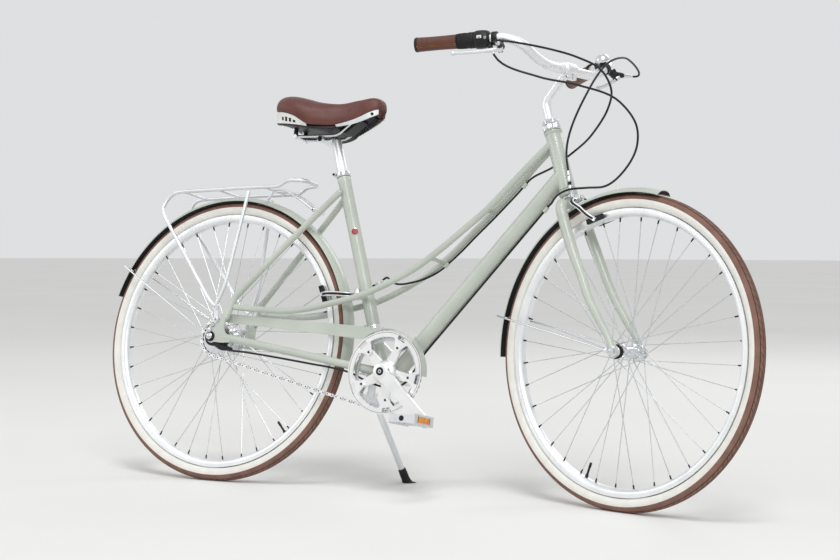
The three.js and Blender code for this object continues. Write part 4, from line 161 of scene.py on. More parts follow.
# %% Metals
def metal(name, light, dark, rough, grain_mm, depth_mm, drift_mm=40):
    """A metal whose tone drifts over drift_mm and whose fine marks are grain_mm wide, on a
    swell twice as wide and depth_mm deep."""
    material, tree, shader, place = begin_finish(name, Metallic=1.0, Roughness=rough)
    drift = add(tree, "ShaderNodeTexNoise", {
        "Vector": place, "Scale": 1000 / drift_mm, "Detail": 3,
    }).outputs[0]
    tone = add(tree, "ShaderNodeValToRGB", {"Fac": drift}, stops=[(0.3, dark), (0.7, light)]).outputs[0]
    tree.links.new(tone, shader.inputs["Base Color"])
    marks = add(tree, "ShaderNodeTexNoise", {
        "Vector": place, "Scale": 1000 / grain_mm, "Detail": 4, "Roughness": 0.6,
    }).outputs[0]
    spread = add(tree, "ShaderNodeMapRange", {
        "Value": marks, "From Min": 0.3, "From Max": 0.7, "To Min": rough - 0.07, "To Max": rough + 0.09,
    })
    tree.links.new(spread.outputs[0], shader.inputs["Roughness"])
    swell = add(tree, "ShaderNodeTexNoise", {"Vector": place, "Scale": 500 / grain_mm, "Detail": 1})
    bump = add(tree, "ShaderNodeBump", {
        "Height": swell.outputs[0], "Distance": depth_mm / 1000, "Strength": 0.4,
    })
    tree.links.new(bump.outputs[0], shader.inputs["Normal"])
    return material


# Silver anodised aluminium of rims, bar, stem, seat post and calipers: pale, soft reflections
anodised_aluminium = metal("silver_anodised_aluminium", "F5F6F7", "EAECEE", 0.44, 3, 0.01)
# Tumbled, clear-coated aluminium of cranks and chainring: nearly white
satin_aluminium = metal("satin_white_aluminium", "F4F4F3", "EAEAEA", 0.42, 2, 0.03)
# Painted silver steel rod of the rack
silver_steel = metal("silver_painted_steel_rod", "E6E8EA", "DADDE0", 0.46, 4, 0.015)
# Chrome plate of nuts, bolts, rails, bell and levers
chrome_plate = metal("chrome_plated_steel", "E4E6E8", "D6D9DC", 0.2, 6, 0.006)
# Zinc-plated chain, spokes and cog
zinc_plate = metal("zinc_plated_steel", "D9DBDD", "C3C6C9", 0.3, 2, 0.02, 12)
dark_steel = metal("blackened_steel", "3A3B3D", "232426", 0.4, 2, 0.03, 12)

# %% [markdown]
# ## Rubber, plastic and leather
# Tyres are moulded rubber: a brown tread with shoulder blocks and a white side band.
# The pattern follows the tyre, so it reads the surface's own map, which holds
# metres around the wheel and metres across the tread.

# %% Tyre rubber
def rubber(name, light, dark, rough, grain_mm=1.5):
    """Matt moulded rubber with a dusty drift of tone and a fine mould grain."""
    material, tree, shader, place = begin_finish(name, Roughness=rough, Specular_IOR_Level=0.35)
    dust = add(tree, "ShaderNodeTexNoise", {"Vector": place, "Scale": 1000 / 25, "Detail": 5}).outputs[0]
    tone = add(tree, "ShaderNodeValToRGB", {"Fac": dust}, stops=[(0.3, dark), (0.72, light)]).outputs[0]
    tree.links.new(tone, shader.inputs["Base Color"])
    grain = add(tree, "ShaderNodeTexNoise", {
        "Vector": place, "Scale": 1000 / grain_mm, "Detail": 3,
    }).outputs[0]
    bump = add(tree, "ShaderNodeBump", {"Height": grain, "Distance": 0.08 / 1000, "Strength": 0.6})
    tree.links.new(bump.outputs[0], shader.inputs["Normal"])
    return material


def tread_rubber(name):
    """Brown tread: grooves run round the tyre, and slits 17 mm apart cut its shoulders; both are darkened as
    painted shade.
    """
    material, tree, shader, place = begin_finish(name, Roughness=0.8, Specular_IOR_Level=0.3)
    surface = add(tree, "ShaderNodeUVMap", uv_map="surface").outputs[0]
    parts = add(tree, "ShaderNodeSeparateXYZ", {"Vector": surface})
    across = add(tree, "ShaderNodeMath", {0: parts.outputs["Y"]}, operation="ABSOLUTE").outputs[0]
    slits_around = {0: parts.outputs["X"], 1: 1 / 0.017}
    turns = add(tree, "ShaderNodeMath", slits_around, operation="MULTIPLY").outputs[0]
    slant = add(tree, "ShaderNodeMath", {0: across, 1: 90.0, 2: turns}, operation="MULTIPLY_ADD").outputs[0]
    saw = add(tree, "ShaderNodeMath", {0: slant}, operation="FRACT").outputs[0]
    slit = add(tree, "ShaderNodeValToRGB", {"Fac": saw}, stops=[
        (0.0, 0.0), (0.1, 0.0), (0.14, 1.0), (1.0, 1.0),
    ]).outputs[0]
    # The ramps over the tread run from 0 at its middle to 1 at 25 mm from it
    share = add(tree, "ShaderNodeMath", {0: across, 1: 40.0}, operation="MULTIPLY").outputs[0]
    shoulder = add(tree, "ShaderNodeValToRGB", {"Fac": share}, stops=[
        (0.0, 1.0), (0.07, 1.0), (0.1, 0.0), (0.14, 0.0), (0.17, 1.0),
        (0.42, 1.0), (0.45, 0.0), (0.5, 0.0), (0.53, 1.0),
    ]).outputs[0]
    zone = add(tree, "ShaderNodeValToRGB", {"Fac": share}, stops=[
        (0.14, 0.0), (0.17, 1.0), (0.5, 1.0), (0.53, 0.0),
    ]).outputs[0]
    slits = add(tree, "ShaderNodeMix", {"Factor": zone, 2: 1.0, 3: slit}, data_type="FLOAT").outputs[0]
    height = add(tree, "ShaderNodeMath", {0: slits, 1: shoulder}, operation="MULTIPLY").outputs[0]
    dust = add(tree, "ShaderNodeTexNoise", {"Vector": place, "Scale": 1000 / 30, "Detail": 4}).outputs[0]
    tread_tone = add(
        tree, "ShaderNodeValToRGB", {"Fac": dust}, stops=[(0.3, "7A5B50"), (0.7, "8E6C5F")],
    ).outputs[0]
    # Grooves and slits, where height is 0, take the dark brown 493630: painted shade in the grooves
    groove_shade_mix = {"Factor": height, 6: linear("493630"), 7: tread_tone}
    tone = add(tree, "ShaderNodeMix", groove_shade_mix, data_type="RGBA").outputs[2]
    tree.links.new(tone, shader.inputs["Base Color"])
    bump = add(tree, "ShaderNodeBump", {"Height": height, "Distance": 0.9 / 1000, "Strength": 0.9})
    tree.links.new(bump.outputs[0], shader.inputs["Normal"])
    return material


tread_brown = tread_rubber("brown_moulded_tread_rubber")
sidewall_white = rubber("white_sidewall_rubber", "F1F0EB", "E6E4DD", 0.6)
black_rubber = rubber("black_moulded_rubber", "1E1E20", "131314", 0.62)


# %% Plastic and leather
def moulded(name, light, dark, rough, grain_mm=0.9):
    """Moulded plastic with a fine spark-eroded grain, drawn 0.9 mm wide so that it shows."""
    material, tree, shader, place = begin_finish(name, Roughness=rough, Specular_IOR_Level=0.35)
    drift = add(tree, "ShaderNodeTexNoise", {"Vector": place, "Scale": 1000 / 30, "Detail": 3}).outputs[0]
    tone = add(tree, "ShaderNodeValToRGB", {"Fac": drift}, stops=[(0.35, dark), (0.65, light)]).outputs[0]
    tree.links.new(tone, shader.inputs["Base Color"])
    grain = add(tree, "ShaderNodeTexNoise", {
        "Vector": place, "Scale": 1000 / grain_mm, "Detail": 2,
    }).outputs[0]
    bump = add(tree, "ShaderNodeBump", {"Height": grain, "Distance": 0.04 / 1000, "Strength": 0.5})
    tree.links.new(bump.outputs[0], shader.inputs["Normal"])
    return material


def hide(name, light, dark, pore_mm):
    """Smooth leather cloth: pores are cells pore_mm wide, tone drifts, and the creases between them are
    darkened as painted shade and catch light through the bump.
    """
    material, tree, shader, place = begin_finish(
        name, Roughness=0.42, Specular_IOR_Level=0.34, Coat_Weight=0.05, Coat_Roughness=0.3,
    )
    drift = add(tree, "ShaderNodeTexNoise", {"Vector": place, "Scale": 1000 / 22, "Detail": 6}).outputs[0]
    tone = add(tree, "ShaderNodeValToRGB", {"Fac": drift}, stops=[(0.28, dark), (0.7, light)]).outputs[0]
    pores = {"Vector": place, "Scale": 1000 / pore_mm}
    edge = add(tree, "ShaderNodeTexVoronoi", pores, feature="DISTANCE_TO_EDGE").outputs["Distance"]
    crease = add(tree, "ShaderNodeValToRGB", {"Fac": edge}, stops=[(0.0, 0.0), (0.14, 1.0)]).outputs[0]
    # The crease lines between pores take the dark tone: painted shade in the creases
    mixed = {"Factor": crease, 6: linear(dark), 7: tone}
    shaded = add(tree, "ShaderNodeMix", mixed, data_type="RGBA").outputs[2]
    tree.links.new(shaded, shader.inputs["Base Color"])
    wear = add(tree, "ShaderNodeTexNoise", {"Vector": place, "Scale": 1000 / 9, "Detail": 4}).outputs[0]
    shine = add(tree, "ShaderNodeMapRange", {"Value": wear, "To Min": 0.34, "To Max": 0.55})
    tree.links.new(shine.outputs[0], shader.inputs["Roughness"])
    bump = add(tree, "ShaderNodeBump", {"Height": crease, "Distance": 0.12 / 1000, "Strength": 0.45})
    tree.links.new(bump.outputs[0], shader.inputs["Normal"])
    return material


black_plastic = moulded("black_moulded_nylon", "1C1D1F", "121314", 0.45)
white_plastic = moulded("white_moulded_plastic", "EDEDEA", "DFDFDC", 0.4)
brown_leather = hide("brown_saddle_leather", "70413A", "5B332D", 1.6)
grip_leather = hide("brown_grip_leather", "6D4239", "56332C", 1.3)
yellow_thread = moulded("waxed_yellow_thread", "E0A24C", "C98834", 0.7)
black_housing = moulded("black_cable_housing", "1F2022", "131415", 0.34, 1.2)
amber_lens = moulded("amber_acrylic_reflector", "F3A02A", "E08212", 0.18, 2.5)
red_enamel = moulded("red_enamel", "B5262B", "9A1E24", 0.3)
print(len(bpy.data.materials), "finishes")

# %% [markdown]
# ## Surfaces from numpy grids
# Almost every part of a bicycle is a profile carried along a path (a tube), a
# profile turned about a line (a hub, a tyre) or an outline given a thickness (a
# plate). Each of these is one grid of points, worked out as whole arrays, in
# millimetres from the rear axle's foot, and then placed by one matrix.

# %% Directions
AHEAD, LEFT, UP = np.eye(3)
SIDES = {"right": -1, "left": 1}


def unit(vector):
    """The vector divided by its own length."""
    return np.asarray(vector, float) / np.linalg.norm(vector)


def placed(points, stand):
    """Millimetres in the upright bicycle to metres in the frame: matrix times point plus shift."""
    return (np.asarray(points, float) @ stand[:, :3].T + stand[:, 3]) / 1000


print("directions", AHEAD, LEFT, UP)

# %% Faces of a grid
def shell(grid, wrap_rows=False, wrap_columns=True, capped=True, finish=None, span=None, keep=None):
    """Joins a grid of points (rows, columns, 3) into quads, closing it round where it wraps
    and with one flat face at each end where it is capped. span is the surface's size in metres
    along rows and columns, for the pattern map, with columns measured from the middle.
    keep marks the quads that stay, so that a surface can have windows."""
    rows, columns = grid.shape[:2]
    quad_rows, quad_columns = rows - (not wrap_rows), columns - (not wrap_columns)
    r, c = np.meshgrid(np.arange(quad_rows), np.arange(quad_columns), indexing="ij")
    r2, c2 = (r + 1) % rows, (c + 1) % columns
    quads = np.stack([
        r * columns + c, r2 * columns + c, r2 * columns + c2, r * columns + c2,
    ], -1).reshape(-1, 4)
    along, across = span or (1.0, 1.0)
    u = np.stack([r, r + 1, r + 1, r], -1).reshape(-1, 4) * along / max(1, rows - (not wrap_rows))
    v = np.stack([c, c, c + 1, c + 1], -1).reshape(-1, 4) * across / max(1, quad_columns) - across / 2
    if keep is not None:
        quads, u, v = quads[keep.ravel()], u[keep.ravel()], v[keep.ravel()]
    caps = []
    if capped and not wrap_rows and wrap_columns:
        caps = [np.arange(columns)[::-1], np.arange(columns) + (rows - 1) * columns]
    return {
        "points": grid.reshape(-1, 3), "quads": quads, "caps": caps, "uv": np.stack([u, v], -1),
        "finish": finish,
    }


# %% Join shells into one piece
def dress(name, stand, shells, finish, part_of=None, bevel=0.0, sharp=38, bends=None):
    """Makes one object of the shells, in place, with outward faces. It stands for the frame
    node of its name, or is a small extra part of the node named by part_of. A piece given bends
    is baked in place and rides on no body; the two bend points themselves are not used."""
    points, faces, slots, uvs, finishes = [], [], [], [], [finish]
    start = 0
    for part in shells:
        own = part["finish"] or finish
        if own not in finishes:
            finishes.append(own)
        points.append(part["points"])
        faces += (part["quads"] + start).tolist() + [(cap + start).tolist() for cap in part["caps"]]
        slots += [finishes.index(own)] * (len(part["quads"]) + len(part["caps"]))
        uvs.append(part["uv"].reshape(-1, 2))
        uvs += [np.zeros((len(cap), 2)) for cap in part["caps"]]
        start += len(part["points"])
    mesh = bpy.data.meshes.new(name)
    mesh.from_pydata(placed(np.concatenate(points), stand).tolist(), [], faces)
    for own in finishes:
        mesh.materials.append(own)
    mesh.polygons.foreach_set("material_index", np.array(slots, np.int32))
    layer = mesh.uv_layers.new(name="surface")
    layer.data.foreach_set("uv", np.concatenate(uvs).astype(np.float32).ravel())
    work = bmesh.new()
    work.from_mesh(mesh)
    bmesh.ops.recalc_face_normals(work, faces=work.faces[:])
    work.to_mesh(mesh)
    work.free()
    mesh.shade_smooth()
    mesh.set_sharp_from_angle(angle=math.radians(sharp))
    made = bpy.data.objects.new(name + "_surface", mesh)
    bpy.context.scene.collection.objects.link(made)
    if bevel:
        edge = made.modifiers.new("edge", "BEVEL")
        edge.width, edge.segments, edge.limit_method = bevel / 1000, 2, "ANGLE"
        edge.angle_limit = math.radians(50)
    if bends:
        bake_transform(made)
    else:
        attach(made, bodies_of[part_of or name])
    if not part_of:
        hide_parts(name)
    print(f"{name}: {len(mesh.polygons)} faces in {len(shells)} shells")
    return made


# %% [markdown]
# A tube needs directions that travel along its path without twisting, and a path
# needs to be smooth between the few points that a drawing gives. The cubic below
# is the usual one whose slope at each point averages its two neighbours.

# %% Paths and the shapes carried on them
def smooth(points, bits=8):
    """A cubic on each span; the slope at a point is the mean of its two spans, weighted by length."""
    p = np.asarray(points, float)
    gap = np.linalg.norm(np.diff(p[:, :3], axis=0), axis=1)[:, None]
    rate = np.diff(p, axis=0) / gap
    slope = np.concatenate([
        rate[:1],
        (rate[:-1] * gap[1:] + rate[1:] * gap[:-1]) / (gap[1:] + gap[:-1]),
        rate[-1:],
    ])
    t = (np.arange(bits) / bits)[None, :, None]
    a, b, m, n = p[:-1, None], p[1:, None], slope[:-1, None] * gap[:, None], slope[1:, None] * gap[:, None]
    curve = (
        (2 * t**3 - 3 * t**2 + 1) * a + (t**3 - 2 * t**2 + t) * m
        + (3 * t**2 - 2 * t**3) * b + (t**3 - t**2) * n
    )
    return np.concatenate([curve.reshape(-1, p.shape[1]), p[-1:]])


def carried(path, seed=None):
    """Two directions across each station of a path, each turned from the last by the least angle."""
    tangents = np.gradient(path, axis=0)
    tangents /= np.linalg.norm(tangents, axis=1)[:, None]
    normal = np.asarray(seed if seed is not None else (LEFT if abs(tangents[0, 1]) < 0.8 else UP), float)
    normals = np.empty_like(path)
    for i, tangent in enumerate(tangents):
        normal = unit(normal - tangent * (normal @ tangent))
        normals[i] = normal
    return normals, np.cross(tangents, normals)


def tube(path, radius, sides=20, wrap=False, finish=None, seed=None, flat=1.0, capped=True):
    """A ring of radius r around every station: point = station + r (normal cos a + binormal sin a flat).
    The radius may be one number or one for each station."""
    path = np.asarray(path, float)
    normals, binormals = carried(path, seed)
    turn = 2 * np.pi * np.arange(sides) / sides
    r = np.broadcast_to(np.asarray(radius, float).reshape(-1, 1, 1), (len(path), 1, 1))
    around = (
        normals[:, None] * np.cos(turn)[None, :, None]
        + flat * binormals[:, None] * np.sin(turn)[None, :, None]
    )
    length = np.linalg.norm(np.diff(path, axis=0), axis=1).sum() / 1000
    return shell(
        path[:, None] + r * around, wrap, True, capped, finish,
        (length, 2 * np.pi * float(np.mean(radius)) / 1000),
    )


def turned(profile, centre, axis, sides=48, closed=False, finish=None, span=None):
    """Turns (radius, length) pairs: point = centre + length axis + radius (e cos a + f sin a)."""
    profile = np.asarray(profile, float)
    if not closed:
        profile = profile[profile[:, 0] > 0]
    axis = unit(axis)
    e = unit(np.cross(axis, AHEAD if abs(axis[0]) < 0.8 else UP))
    f = np.cross(axis, e)
    turn = 2 * np.pi * np.arange(sides) / sides
    ring = e * np.cos(turn)[:, None] + f * np.sin(turn)[:, None]
    centres = np.asarray(centre, float) + profile[:, 1, None, None] * axis
    grid = centres + profile[:, 0, None, None] * ring[None]
    return shell(grid, closed, True, not closed, finish, span)


def rod(start, end, radius, sides=20, finish=None, seed=None):
    """A straight round bar between two points."""
    return tube([start, end], radius, sides, finish=finish, seed=seed)


def ball(centre, radius, finish=None, sides=20):
    """A sphere as a half circle turned about the upright."""
    angle = np.radians(np.linspace(-86, 86, 11))
    return turned(np.stack([np.cos(angle), np.sin(angle)], 1) * radius, centre, UP, sides, finish=finish)


def plate(outline, back, front, finish=None, across=(AHEAD, UP, LEFT), centre=(0, 0, 0)):
    """An outline in two directions given a thickness along the third."""
    flat = np.asarray(outline, float)
    face = flat[:, :1] * across[0] + flat[:, 1:2] * across[1] + np.asarray(centre, float)
    return shell(np.stack([face + back * across[2], face + front * across[2]]), finish=finish)


def block(centre, sizes, directions=(AHEAD, LEFT, UP), finish=None):
    """A box of three sizes along three directions."""
    a, b, c = (size / 2 for size in sizes)
    return plate([[-a, -b], [a, -b], [a, b], [-a, b]], -c, c, finish, directions, centre)


def rounded(points, reach, bits=6):
    """Straight runs; each corner c is cut back to a and b and bent: (1-t)^2 a + 2t(1-t) c + t^2 b."""
    p = np.asarray(points, float)
    gaps = np.linalg.norm(np.diff(p, axis=0), axis=1)
    t = np.linspace(0, 1, bits)[:, None]
    runs = [p[:1]]
    for before, corner, after, near, far in zip(p, p[1:], p[2:], gaps, gaps[1:]):
        a, b = (
            corner + unit(other - corner) * min(reach, 0.48 * near, 0.48 * far)
            for other in (before, after)
        )
        runs.append((1 - t) ** 2 * a + 2 * t * (1 - t) * corner + t**2 * b)
    return np.concatenate(runs + [p[-1:]])


def band(inner, outer, back, front):
    """The closed profile of a flat ring, as (radius, length) pairs."""
    return [[inner, back], [outer, back], [outer, front], [inner, front]]


def capsule(half, radius, waist=1.0, bits=7):
    """A chain-link outline: two round ends half apart from the middle, with a waist between."""
    a = np.linspace(-90, 90, bits) * math.pi / 180
    right = np.stack([half + radius * np.cos(a), radius * np.sin(a)], 1)
    return np.concatenate([right, [[0, radius * waist]], -right, [[0, -radius * waist]]])


def repeated(part, spots):
    """Copies a shell to many spots at once; each spot is a 3 by 4 turn-and-shift matrix."""
    spots = np.asarray(spots, float)
    count, size = len(spots), len(part["points"])
    points = np.einsum("nij,kj->nki", spots[:, :, :3], part["points"]) + spots[:, None, :, 3]
    shift = (np.arange(count) * size)[:, None, None]
    return {
        "points": points.reshape(-1, 3),
        "quads": (part["quads"][None] + shift).reshape(-1, 4),
        "caps": [cap + i * size for i in range(count) for cap in part["caps"]],
        "uv": np.tile(part["uv"], (count, 1, 1)),
        "finish": part["finish"],
    }


def spot(place, x_way, y_way=LEFT):
    """A turn-and-shift matrix whose X axis points along x_way and Y along y_way."""
    x = unit(x_way)
    z = unit(np.cross(x, y_way))
    return np.concatenate([np.stack([x, np.cross(z, x), z], 1), np.asarray(place, float)[:, None]], 1)


print("shape helpers ready")

# %% [markdown]
# ## Lines of the bicycle
# A frame builder starts from a few lines: the ground, the two axles, the bracket
# with its cranks, the seat tube and the steering line. The same numbers place
# every piece here, in millimetres, with the bicycle upright and its front end straight.

# %% Main sizes, points and lines
WHEEL_RADIUS, WHEELBASE = 349.0, 1072.0
BRACKET_AHEAD, BRACKET_HEIGHT = 487.0, 279.0
HEAD_LOW, HEAD_HIGH, SEAT_TOP = 716.0, 846.0, 757.0
FORK_RAKE, FORK_LENGTH = 52.0, 378.5
CRANK_LENGTH, CRANK_ANGLE, BOLT_CIRCLE = 170.0, -41.6, 65.0
HEAD_RADIUS, DOWN_RADIUS, SEAT_RADIUS, TWIN_RADIUS = 19.4, 19.05, 15.9, 7.7
STAY_SPREAD, BAR_RADIUS, CABLE_RADIUS, CLIP_RADIUS = 62.0, 11.1, 2.5, 3.7
REAR_AXLE, FRONT_AXLE, BRACKET = np.array([
    [0, 0, WHEEL_RADIUS], [WHEELBASE, 0, WHEEL_RADIUS], [BRACKET_AHEAD, 0, BRACKET_HEIGHT],
])
HEAD_ANGLE, SEAT_ANGLE = math.radians(71), math.radians(71.4)
STEER_UP = np.array([-math.cos(HEAD_ANGLE), 0, math.sin(HEAD_ANGLE)])
STEER_AHEAD = np.array([math.sin(HEAD_ANGLE), 0, math.cos(HEAD_ANGLE)])
STEER_FOOT = FRONT_AXLE - FORK_RAKE * STEER_AHEAD
SEAT_UP = np.array([-math.cos(SEAT_ANGLE), 0, math.sin(SEAT_ANGLE)])
SEAT_FOOT = BRACKET - 31 * AHEAD


def on_steerer(along, forward=0, side=0):
    """A point so far up the steering line, ahead of it and to its left."""
    return STEER_FOOT + along * STEER_UP + forward * STEER_AHEAD + side * LEFT


def steerer_along(height):
    """How far up the steering line a height above the ground lies."""
    return (height - STEER_FOOT[2]) / STEER_UP[2]


def seat_at(height):
    """The point of the seat tube's line at a height above the ground."""
    return SEAT_FOOT + SEAT_UP * (height - SEAT_FOOT[2]) / SEAT_UP[2]


def on_wheel(axle, degrees, radius, side=0.0):
    """The point at an angle and radius round an axle, so far to the left."""
    angle = np.radians(degrees)
    way = np.multiply.outer(np.cos(angle), AHEAD) + np.multiply.outer(np.sin(angle), UP)
    return axle + radius * way + side * LEFT


head_base, head_top = steerer_along(HEAD_LOW), steerer_along(HEAD_HIGH)
head_meet = on_steerer(steerer_along(753))
down_way = unit(head_meet - BRACKET)
down_under = unit(np.cross(LEFT, down_way))
down_under = down_under if down_under[2] < 0 else -down_under
print("head tube", round(head_top - head_base, 1), "mm long")

# %% [markdown]
# The upright bicycle is leant onto its stand, and its nose rises by a tenth of a degree
# until both tyres touch the ground. The front end is first turned about the steering line.
# Both moves become one matrix each, with the shift that puts the origin under the middle.

# %% How the bicycle stands
LEAN, NOSE_RISE, STEER_TURN = np.radians([10.77, 0.106787174, 16.98])
GROUND_SHIFT = np.array([-528.2700692, -174.7248493, -1.5329794])


def turning(axis, angle):
    """A turn about an axis: I + sin(angle) K + (1 - cos(angle)) K K, where K p is axis x p."""
    cross = np.cross(np.eye(3), axis)
    return np.eye(3) + math.sin(angle) * cross + (1 - math.cos(angle)) * cross @ cross


lean_turn = turning(AHEAD, -LEAN) @ turning(LEFT, -NOSE_RISE)
steer_turn = turning(STEER_UP, -STEER_TURN)
LEANING = np.concatenate([lean_turn, GROUND_SHIFT[:, None]], 1)
turned_shift = lean_turn @ (STEER_FOOT - steer_turn @ STEER_FOOT) + GROUND_SHIFT
TURNED = np.concatenate([lean_turn @ steer_turn, turned_shift[:, None]], 1)
print("front axle at", placed(FRONT_AXLE, TURNED).round(4), "m")

# %% [markdown]
# ## Frame tubes
# The tubes are drawn steel, brazed and painted together. Each is a ring carried
# along its line; where one meets another, a small smooth collar of filler rounds the corner.

# %% Head tube and headset cups
def dark_line(along, radius):
    """A thin dark joint ring round the steering line."""
    return turned(
        band(radius - 0.8, radius + 0.15, along - 0.5, along + 0.5),
        STEER_FOOT, STEER_UP, 56, True, dark_steel,
    )


dress("head_tube", LEANING, [
    turned([
        [13.2, head_base - 16], [19.4, head_base - 16], [20.6, head_base - 15], [21.5, head_base - 5],
        [21.5, head_base - 3], [20.3, head_base - 1], [19.5, head_base + 2], [HEAD_RADIUS, head_base + 6],
        [HEAD_RADIUS, head_top - 1], [18.9, head_top], [13.2, head_top],
    ], STEER_FOOT, STEER_UP, 64, True),
    dark_line(head_base + 0.5, 20.0),
], sage_enamel)
dress("headset_upper_cup", LEANING, [
    turned([
        [13.2, head_top + 0.3], [19.2, head_top + 0.3], [19.8, head_top + 1.5], [20.8, head_top + 4],
        [21, head_top + 6], [21, head_top + 11], [20.4, head_top + 12], [13.2, head_top + 12],
    ], STEER_FOOT, STEER_UP, 64, True),
    dark_line(head_top + 8.5, 21.0),
], sage_enamel)


# %% Down tube with its bosses and cable clip
def bolt_head(place, way, radius=3.4, rise=2.2, finish=chrome_plate):
    """A small hexagon-socket screw: a round head with a dark disc on it, painted shade for the hollow socket.
    """
    way = unit(way)
    return [
        turned([[radius, -1], [radius, rise * 0.6], [radius * 0.8, rise]], place, way, 18, finish=finish),
        # The dark disc is painted shade for the socket's hollow
        turned([[radius * 0.45, rise - 0.5], [radius * 0.45, rise + 0.1]], place, way, 6, finish=dark_steel),
    ]


def fillet(place, way, radius, grow=3.0, length=9.0):
    """A braze collar: a short ring whose radius falls from radius+grow to radius."""
    t = np.linspace(0, 1, 6)
    return turned(np.stack([radius + grow * (1 - t) ** 2, t * length], 1), place, way, 32)


def cable_clip(place, way, hold=CLIP_RADIUS):
    """A little brazed guide ring with a metal edge."""
    return turned(band(hold, hold + 1.4, -7, 7), place, way, 16, True)


def coped(part, way, sides, radius=HEAD_RADIUS - 0.5):
    """Moves a tube's first ring along its way onto the head tube. A ring point p goes to p + t way
    where |w + t v| = radius: w and v are p and way without their part along the steering line."""
    ring = part["points"][:sides] - STEER_FOOT
    w = ring - (ring @ STEER_UP)[:, None] * STEER_UP
    v = way - (way @ STEER_UP) * STEER_UP
    a, b, c = v @ v, w @ v, (w * w).sum(1) - radius**2
    t = (-b - np.sqrt(np.maximum(b * b - a * c, 0))) / a
    part["points"] = np.concatenate([part["points"][:sides] + t[:, None] * way, part["points"][sides:]])
    return part


on_down = lambda share: BRACKET + (head_meet - BRACKET) * share
down_line = [head_meet - 24 * down_way, on_down(0.9), on_down(0.5), BRACKET + 19 * down_way]
down_parts = [coped(tube(down_line, DOWN_RADIUS, 48), down_way, 48)]
for share in (0.16, 0.266):
    seat = on_down(share) - 18.6 * down_under
    down_parts += [
        turned([[5, 0], [4.6, 2.2], [3.9, 2.6]], seat, -down_under, 20),
    ] + bolt_head(seat - 2.4 * down_under, -down_under)
down_parts += [
    cable_clip(on_down(0.86) + (DOWN_RADIUS + CLIP_RADIUS) * down_under, down_way),
    fillet(BRACKET + 20 * down_way, down_way, 19.0, 2.0),
]
dress("down_tube", LEANING, down_parts, sage_enamel, bevel=0.2)

# %% Bottom bracket shell
dress("bottom_bracket_shell", LEANING, [
    turned([
        [8.9, -35], [20, -35], [20.8, -34.2], [20.8, 34.2], [20, 35], [8.9, 35],
    ], BRACKET, LEFT, 56, True),
    turned(band(9.2, 17.5, -35.6, -34.8), BRACKET, LEFT, 32, True, dark_steel),
    turned(band(9.2, 17.5, 34.8, 35.6), BRACKET, LEFT, 32, True, dark_steel),
], sage_enamel)

# %% Seat tube with a plain round badge and the rear brake's bolt
seat_low, seat_high = ((height - BRACKET_HEIGHT) / SEAT_UP[2] for height in (262, SEAT_TOP))
brake_seat = seat_at(464) - AHEAD * SEAT_RADIUS / SEAT_UP[2]
rear_in = unit((REAR_AXLE - brake_seat) * (1, 0, 1))
rear_along = np.cross(rear_in, LEFT)
rear_along = rear_along if rear_along[2] > 0 else -rear_along
rear_pivot = brake_seat + 9 * rear_in
lug_end = rear_pivot - 3 * rear_along
badge = seat_at(618) + 15.6 * unit(np.array([0.45, -0.9, 0.15]))
badge_way = unit(np.cross(SEAT_UP, np.cross(unit([0.45, -0.9, 0.15]), SEAT_UP)))
dress("seat_tube", LEANING, [
    turned([
        [13, seat_low], [SEAT_RADIUS, seat_low], [SEAT_RADIUS, seat_high - 14], [16.4, seat_high - 12],
        [16.4, seat_high - 0.6], [16, seat_high], [13, seat_high],
    ], SEAT_FOOT, SEAT_UP, 56, True),
    rod(brake_seat - 3 * rear_along - 2 * rear_in, lug_end + 3 * rear_in, 3, 16, chrome_plate),
    rod(lug_end, rear_pivot + 21.5 * rear_along, 3, 16, chrome_plate),
    turned(
        [[6.2, 0], [6.6, 1.2], [6, 1.8]], rear_pivot + 19.6 * rear_along, rear_along, 6,
        finish=chrome_plate,
    ),
    turned([[9.2, -1.5], [9.2, 0.5], [8.4, 1]], badge, badge_way, 36, finish=chrome_plate),
    turned([[8.3, 0.5], [8.2, 1.2], [5, 1.5]], badge, badge_way, 36, finish=red_enamel),
], sage_enamel, bevel=0.2)

# %% Seat collar with its clamp bolt
collar_lug = seat_at(763) - (17.6 + 2.75) * AHEAD
dress("seat_collar", LEANING, [
    turned([
        [13, seat_high + 0.3], [17.2, seat_high + 0.3], [17.6, seat_high + 1], [17.6, seat_high + 11.4],
        [17.2, seat_high + 12], [13, seat_high + 12],
    ], SEAT_FOOT, SEAT_UP, 48, True),
    rod(collar_lug - 12.5 * LEFT, collar_lug - 1.2 * LEFT, 5.5, 24),
    rod(collar_lug + 1.2 * LEFT, collar_lug + 12.5 * LEFT, 5.5, 24),
    rod(collar_lug - 14 * LEFT, collar_lug + 14 * LEFT, 3, 16, dark_steel),
    turned(band(15.2, 17.0, seat_high - 0.6, seat_high + 0.5), SEAT_FOOT, SEAT_UP, 48, True, dark_steel),
], chrome_plate, bevel=0.4)

# %% [markdown]
# The two slim upper tubes are the mark of this step-through frame: they leave the
# head tube side by side, swing down and outwards past the seat tube, and end at
# the rear axle plates. Their line is a smooth curve through fifteen drawn points.

# %% Twin upper tubes
head_high = on_steerer(head_top)
TWIN_SHARES = np.array([
    [0.972, 0.946, 0.195], [0.9505, 0.9238, 0.215], [0.9068, 0.8759, 0.2581], [0.8618, 0.8274, 0.2742],
    [0.8216, 0.7861, 0.2903], [0.772, 0.7411, 0.371], [0.7058, 0.6809, 0.5], [0.6195, 0.6158, 0.5968],
    [0.5757, 0.591, 0.6532], [0.5308, 0.5686, 0.6855], [0.4634, 0.5414, 0.7419], [0.3913, 0.5225, 0.7581],
    [0.2554, 0.4959, 0.8387], [0.1549, 0.4959, 0.9355], [0.0662, 0.501, 1],
])


def twin_path(side):
    """The drawn points of one upper tube as shares of the head tube's top and of the spread."""
    return smooth(TWIN_SHARES[:, [0, 2, 1]] * (head_high[0], side * STAY_SPREAD, head_high[2]), 6)


